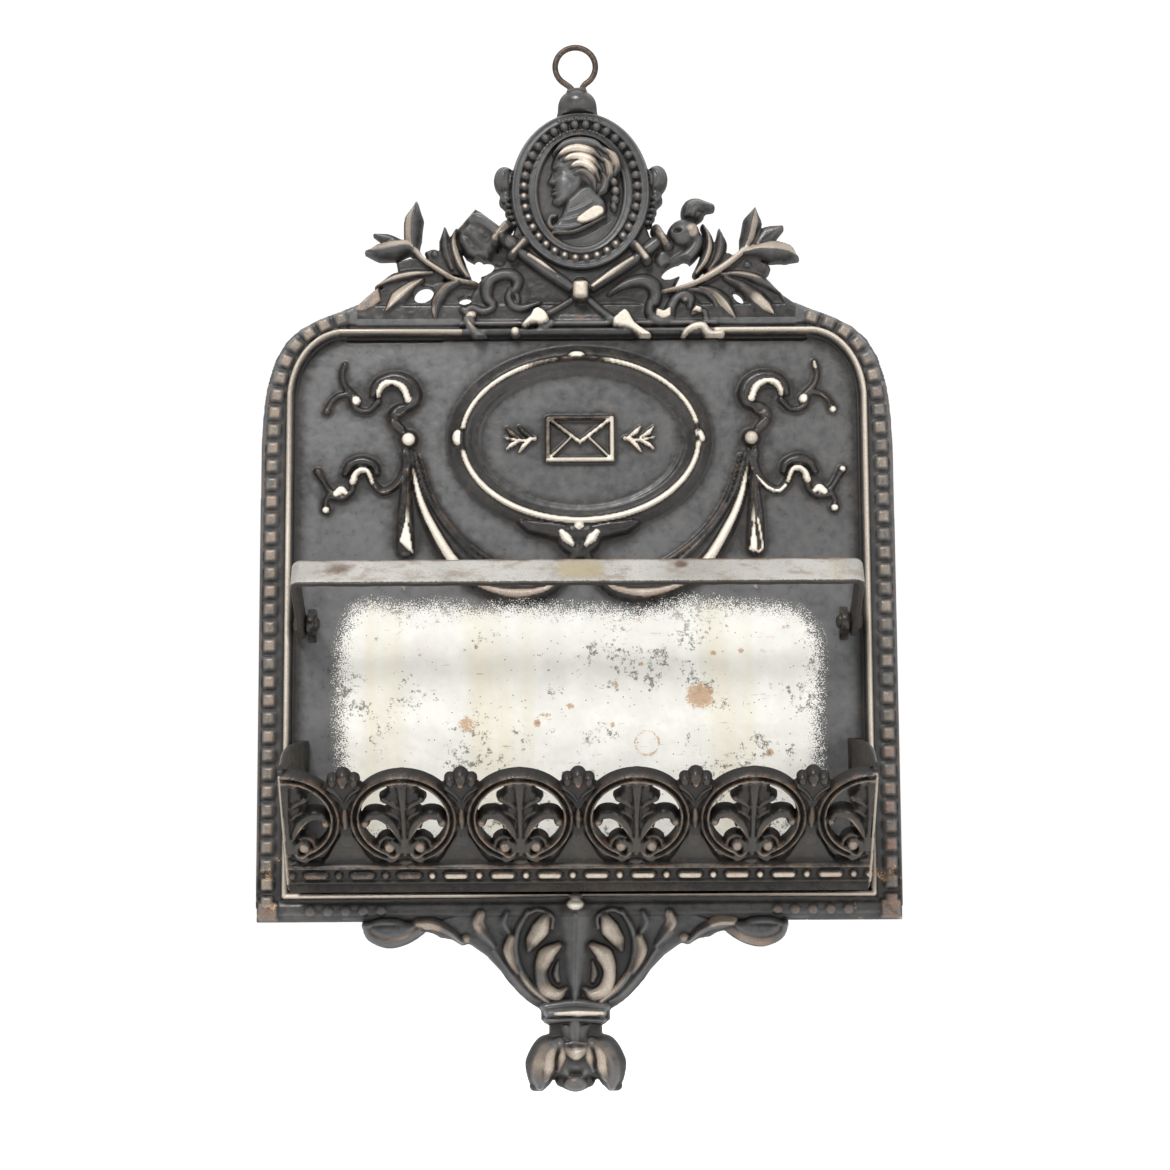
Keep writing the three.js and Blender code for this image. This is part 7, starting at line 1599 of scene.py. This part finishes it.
IRON2 = (gallery_iron, cast_back)
R = make_map(-89, 89, -41, 2.5, 0.27, [draw_front], seed=8, edge=1.5, steep=5.0, soft=0.16)
# painted sheen: raised parts greyed, and a band across the lower halves of the rings
R.dust_and_sheen = np.maximum(0.6 * (1 - sm(0.0, 0.5, R.cav)) * sm(0.1, 0.6, R.conv), 0.9 * sm(-15.5, -17.5, grid(R)[1]) * sm(-33.2, -31.0, grid(R)[1]) * (1 - sm(0.0, 0.5, R.cav)))
shell("gallery_front", R, np.minimum(R.S, WALL_OUT - 0.1 - np.abs(grid(R)[0])), 175000, B=0.12 + 0 * R.H, node="gallery", place=lean_out, mats=IRON2)

R = make_map(1, 60, -97.5, -46, 0.4, [draw_side], seed=11, edge=1.5, steep=4.0)
for s, side in ((-1, "left"), (1, "right")):
    ob = shell("gallery_side_" + side, R, R.S, 40000, B=0.12 + 0 * R.H, node="gallery",
               place=lambda v: np.stack([s * (WALL_OUT - WALL_T - v[:, 1]), -v[:, 0], v[:, 2]], 1), mats=IRON2)
    if s > 0:
        ob.data.flip_normals()


def joined(blocks):
    verts, faces = [], []
    for v, f in blocks:
        n = len(verts)
        verts += v
        faces += [tuple(i + n for i in q) for q in f]
    return verts, faces


def tray_floor():
    """Floor of the tray, with a rough cast surface."""
    xs = np.linspace(-85.2, 85.2, 150)
    ys = np.linspace(3.3, 33.3, 30)
    verts, faces = [], []
    nx, ny = len(xs), len(ys)
    for top in (0, 1):
        for d in ys:
            for x in xs:
                n = float(noise2(np.array([x]), np.array([d]), 4.0, 31)[0]) * 0.07
                verts.append((x, -d, (-92.5 + n) if top else -95.0))
    for j in range(ny - 1):
        for i in range(nx - 1):
            a = j * nx + i
            faces.append((a, a + 1, a + 1 + nx, a + nx))
            b = a + nx * ny
            faces.append((b, b + nx, b + nx + 1, b + 1))
    m = nx * ny
    rim = [i for i in range(nx)] + [nx - 1 + nx * j for j in range(1, ny)] + [nx * (ny - 1) + i for i in range(nx - 2, -1, -1)] + [nx * j for j in range(ny - 2, 0, -1)]
    for a, b in zip(rim, rim[1:] + rim[:1]):
        faces.append((a, a + m, b + m, b))
    return add_mesh("gallery_floor", verts, faces, [gallery_iron], "holder", "gallery", smooth=45)


tray_floor()
feet = []
for s in (-1, 1):
    v, f = [], []
    for z, dep in ((-58.4, 6.6), (-56.6, 9.3), (-50.6, 9.3), (-48.8, 6.6)):
        v += [(s * 83.4, -3.3, z), (s * 87.6, -3.3, z), (s * 87.6, -dep, z), (s * 83.4, -dep, z)]
    for r in range(3):
        for i in range(4):
            j = (i + 1) % 4
            q = (r * 4 + i, r * 4 + j, (r + 1) * 4 + j, (r + 1) * 4 + i)
            f.append(q if s < 0 else tuple(reversed(q)))
    f.append((3, 2, 1, 0) if s < 0 else (0, 1, 2, 3))
    f.append((12, 13, 14, 15) if s < 0 else (15, 14, 13, 12))
    feet.append((v, f))
    v, f = [], []
    for x in (41.2, 44.0, 48.0, 50.8):
        t = 0.0 if 43 < x < 49 else 1.6
        v += [(s * x, -3.3, -93.0), (s * x, -10.3, -93.0), (s * x, -9.6 + t * 0.6, -87.2 - t), (s * x, -7.4, -86.2 - t), (s * x, -3.3, -86.2 - t)]
    for r in range(3):
        for i in range(5):
            j = (i + 1) % 5
            q = (r * 5 + i, r * 5 + j, (r + 1) * 5 + j, (r + 1) * 5 + i)
            f.append(q if s < 0 else tuple(reversed(q)))
    f.append((4, 3, 2, 1, 0) if s < 0 else (0, 1, 2, 3, 4))
    f.append((15, 16, 17, 18, 19) if s < 0 else (19, 18, 17, 16, 15))
    feet.append((v, f))
v, f = joined(feet)
add_mesh("gallery_feet", v, f, [gallery_iron], "holder", "gallery", smooth=50, bevel=0.5)


# ---------------------------------------------------------------- the bar
PIVOT_D, PIVOT_Z, TILT = 8.0, -12.8, math.radians(30.6)


def retaining_bar():
    OUT, L, T, HW, RB = 86.5, 26.6, 2.0, 4.5, 3.2
    mid = OUT - T / 2
    rm = RB - T / 2
    path = []  # (x, depth from the pivot, plan normal)
    for d in np.concatenate([-4.5 + 4.5 * (1 - np.cos(np.linspace(0, math.pi / 2, 12))), np.linspace(0.6, L - RB, 34)]):
        path.append((-mid, d, (-1.0, 0.0)))
    for a in np.linspace(0, math.pi / 2, 12)[1:]:
        path.append((-mid + rm - rm * math.cos(a), L - RB + rm * math.sin(a), (-math.cos(a), math.sin(a))))
    for x in np.linspace(-mid + rm, 0, 150)[1:]:
        path.append((x, L - T / 2, (0.0, 1.0)))
    path += [(-x, d, (-n[0], n[1])) for x, d, n in reversed(path[:-1])]
    sec = []
    c = 0.42
    for w0 in np.linspace(-1, 1, 13):
        sec.append((w0, 1.0))
    for w0 in np.linspace(1, -1, 13):
        sec.append((w0, -1.0))
    verts, faces, wear_and_painted_light = [], [], []
    n = len(sec)
    for k, (x, d, (nx, nd)) in enumerate(path):
        hw = HW if d >= 0 else math.sqrt(max(HW * HW - d * d, 0.0004))
        for w0, side in sec:
            e = max(0.0, abs(w0) * hw - (hw - c)) / c if hw > c else abs(w0)
            t = side * (T / 2 - 0.3 * e * e)
            wv = w0 * hw
            nz = 0.05 * float(noise2(np.array([x]), np.array([wv + 7 * side]), 6.0, 5)[0]) - 0.05
            t += side * nz
            edge = 0.09 * math.sin(x * 0.31) + 0.07 * math.sin(x * 0.83 + 1.7)
            wv += edge * (0.6 if w0 > 0 else 0.8) * (abs(w0) > 0.9) * (1 if w0 < 0 else -1) * (1 if abs(x) < 84 else 0)
            px, pd = x + nx * t, d + nd * t
            # tilt the bar about the pivots
            yy, zz = -pd, wv
            Y = yy * math.cos(TILT) + zz * math.sin(TILT)
            Zz = -yy * math.sin(TILT) + zz * math.cos(TILT)
            verts.append((px, -PIVOT_D + Y, PIVOT_Z + Zz))
            u = wv / HW
            rust = max(0.75 * math.exp(-(((x - 31.5) / 3.0) ** 2) - ((u - 0.45) / 0.5) ** 2), 0.7 * math.exp(-(((x + 72) / 7.5) ** 2) - ((u - 0.3) / 0.7) ** 2),
                       0.72 * math.exp(-(((u - 1.0) / 0.26) ** 2)), 0.5 * math.exp(-(((x - 74) / 5) ** 2) - ((u + 0.2) / 0.6) ** 2), 0.0,
                       0.35 * math.exp(-(((x + 30) / 4) ** 2) - ((u + 0.5) / 0.4) ** 2))
            yellow = 1.0 * math.exp(-(((x - 1.0) / 8.0) ** 4) - ((u - 0.1) / 1.0) ** 2) + 0.5 * math.exp(-(((x - 78) / 6.0) ** 2))
            # painted shade: near black along the lower edge, over the inner face and down the arms
            under = 1.0 * math.exp(-(((u + 1.0) / 0.15) ** 2)) + (0.5 if side < 0 else 0.0) + float(sm(84.0, 85.2, np.array(abs(x)))) * float(sm(25.5, 22.0, np.array(d)))
            wear_and_painted_light.append((rust, yellow, min(under, 1.2)))
    for k in range(len(path) - 1):
        for i in range(n):
            j = (i + 1) % n
            faces.append((k * n + i, (k + 1) * n + i, (k + 1) * n + j, k * n + j))
    m = len(path) - 1
    faces.append(tuple(range(n)))
    faces.append(tuple(m * n + i for i in reversed(range(n))))
    me = bpy.data.meshes.new("bar_strip")
    me.from_pydata([tuple(q * 0.001 for q in v) for v in verts], [], faces)
    a = me.attributes.new("wear_and_painted_light", "FLOAT_VECTOR", "POINT")
    a.data.foreach_set("vector", np.array(wear_and_painted_light, np.float32).ravel())
    me.validate()
    face_out(me)
    ob = bpy.data.objects.new("bar_strip", me)
    bpy.context.scene.collection.objects.link(ob)
    me.polygons.foreach_set("use_smooth", np.ones(len(me.polygons), bool))
    me.set_sharp_from_angle(angle=math.radians(50))
    me.materials.append(bare_bar)
    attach(ob, "bar")
    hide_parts("retaining_bar")
    return ob


retaining_bar()

# rivets: hammered dome heads on both sides of each joint
for s, side in ((-1, "left"), (1, "right")):
    prof = [(-0.95, 0.0), (-0.9, 0.8), (-0.7, 1.45), (-0.35, 1.95), (0.1, 2.2), (0.62, 2.3), (0.62, 1.5), (5.8, 1.5), (5.8, 2.96), (6.15, 2.88), (6.6, 2.5), (7.0, 1.85), (7.24, 1.0), (7.3, 0.0)]
    v, f = lathe(prof, 28, (s * 80.85, -PIVOT_D, PIVOT_Z), (s, 0, 0), wobble=0.018, seed=2 + s)
    add_mesh("rivet_" + side, v, f, [rivet_iron], "holder", "bar_rivet_" + side, smooth=55)


# the eye: wire bent round a mandrel, both ends let into the ball
def eye():
    pts = [(-0.2, 151.5), (-0.3, 157.4), (-1.3, 159.9)]
    for t in np.linspace(-122, -122 - 296, 60):
        pts.append((6.45 * math.cos(math.radians(t)), 167.1 + 6.45 * math.sin(math.radians(t))))
    return pts


pts = [(x, z) for x, z in eye()] + [(2.3, 160.3), (1.95, 158.4)]
line = curve(pts, 4)[:, :2]
v, f = tube([(x, -4.0, z) for x, z in line], lambda t: 0.95 - 0.12 * sm(0.97, 1.0, t), n=18)
ob = add_mesh("wire_eye", v, f, [wire_iron], "holder", "hanging_eye", smooth=60)

for node in ("gallery_screw_upper_left", "gallery_screw_upper_right", "gallery_screw_lower_left", "gallery_screw_lower_right"):
    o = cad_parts[node]
    if not o.material_slots:
        o.data.materials.append(screw_steel)
    for slot_ in o.material_slots:
        slot_.material = screw_steel


# ---------------------------------------------------------------- studio
scene = bpy.context.scene
scene.view_settings.view_transform = "Standard"
world = bpy.data.worlds.new("studio")
scene.world = world
world.use_nodes = True
nt = world.node_tree
nt.nodes.clear()
out = nt.nodes.new("ShaderNodeOutputWorld")
bg = nt.nodes.new("ShaderNodeBackground")
co = nt.nodes.new("ShaderNodeTexCoord")
sep = nt.nodes.new("ShaderNodeSeparateXYZ")
front = nt.nodes.new("ShaderNodeMapRange")
front.interpolation_type = "SMOOTHSTEP"
for i, val in enumerate((0.0, -0.85, 0.15, 0.20, 1.0)):
    front.inputs[i].default_value = val
high = nt.nodes.new("ShaderNodeMapRange")
high.interpolation_type = "SMOOTHSTEP"
for i, val in enumerate((0.0, 0.1, 0.9, 0.0, 0.5)):
    high.inputs[i].default_value = val
add = nt.nodes.new("ShaderNodeMath")
add.operation = "ADD"
nt.links.new(co.outputs["Generated"], sep.inputs[0])
nt.links.new(sep.outputs[1], front.inputs[0])
nt.links.new(sep.outputs[2], high.inputs[0])
nt.links.new(front.outputs[0], add.inputs[0])
nt.links.new(high.outputs[0], add.inputs[1])
nt.links.new(add.outputs[0], bg.inputs["Strength"])
bg.inputs["Color"].default_value = (1.0, 1.0, 1.0, 1.0)
nt.links.new(bg.outputs[0], out.inputs[0])


def lamp(name, at, to, size, power, color=(1, 1, 1)):
    d = bpy.data.lights.new(name, "AREA")
    d.shape, d.size, d.energy, d.color = "DISK", size, power, color
    o = bpy.data.objects.new(name, d)
    o.location = at
    o.rotation_mode = "QUATERNION"
    o.rotation_quaternion = (Vector(to) - Vector(at)).to_track_quat("-Z", "Y")
    scene.collection.objects.link(o)


lamp("key", (-0.25, -1.0, 0.95), (0, 0, 0), 0.45, 20.0)
lamp("fill", (0.9, -1.1, 0.15), (0, 0, 0), 0.4, 4.0)

floor = bpy.data.meshes.new("floor")
floor.from_pydata([(-12, -12, -0.2), (12, -12, -0.2), (12, 12, -0.2), (-12, 12, -0.2)], [], [(0, 1, 2, 3)])
P = Paint("pale_floor")
P.set(Base_Color=P.mix(P.noise(0.002, 2, 0.5, seed=70), (0.97, 0.97, 0.965), (0.985, 0.985, 0.985)), Roughness=0.9, Specular_IOR_Level=0.0)
floor.materials.append(P.m)
floor_ob = bpy.data.objects.new("floor", floor)
scene.collection.objects.link(floor_ob)

cam = bpy.data.cameras.new("camera")
cam.lens, cam.sensor_width = 70.55, 36.0
cam.clip_start, cam.clip_end = 0.05, 60.0
cam_ob = bpy.data.objects.new("camera", cam)
scene.collection.objects.link(cam_ob)
al, roll = math.radians(7.0), math.radians(-0.3)
d = Vector((0, math.cos(al), math.sin(al)))
r, u = Vector((1, 0, 0)), Vector((0, -math.sin(al), math.cos(al)))
r2, u2 = r * math.cos(roll) + u * math.sin(roll), u * math.cos(roll) - r * math.sin(roll)
from mathutils import Matrix

cam_ob.matrix_world = Matrix(((r2.x, u2.x, -d.x, 0.00226), (r2.y, u2.y, -d.y, 0.0), (r2.z, u2.z, -d.z, 0.0), (0, 0, 0, 1)))
cam_ob.location = Vector((0.00226, 0, 0)) - d * 0.72
scene.camera = cam_ob
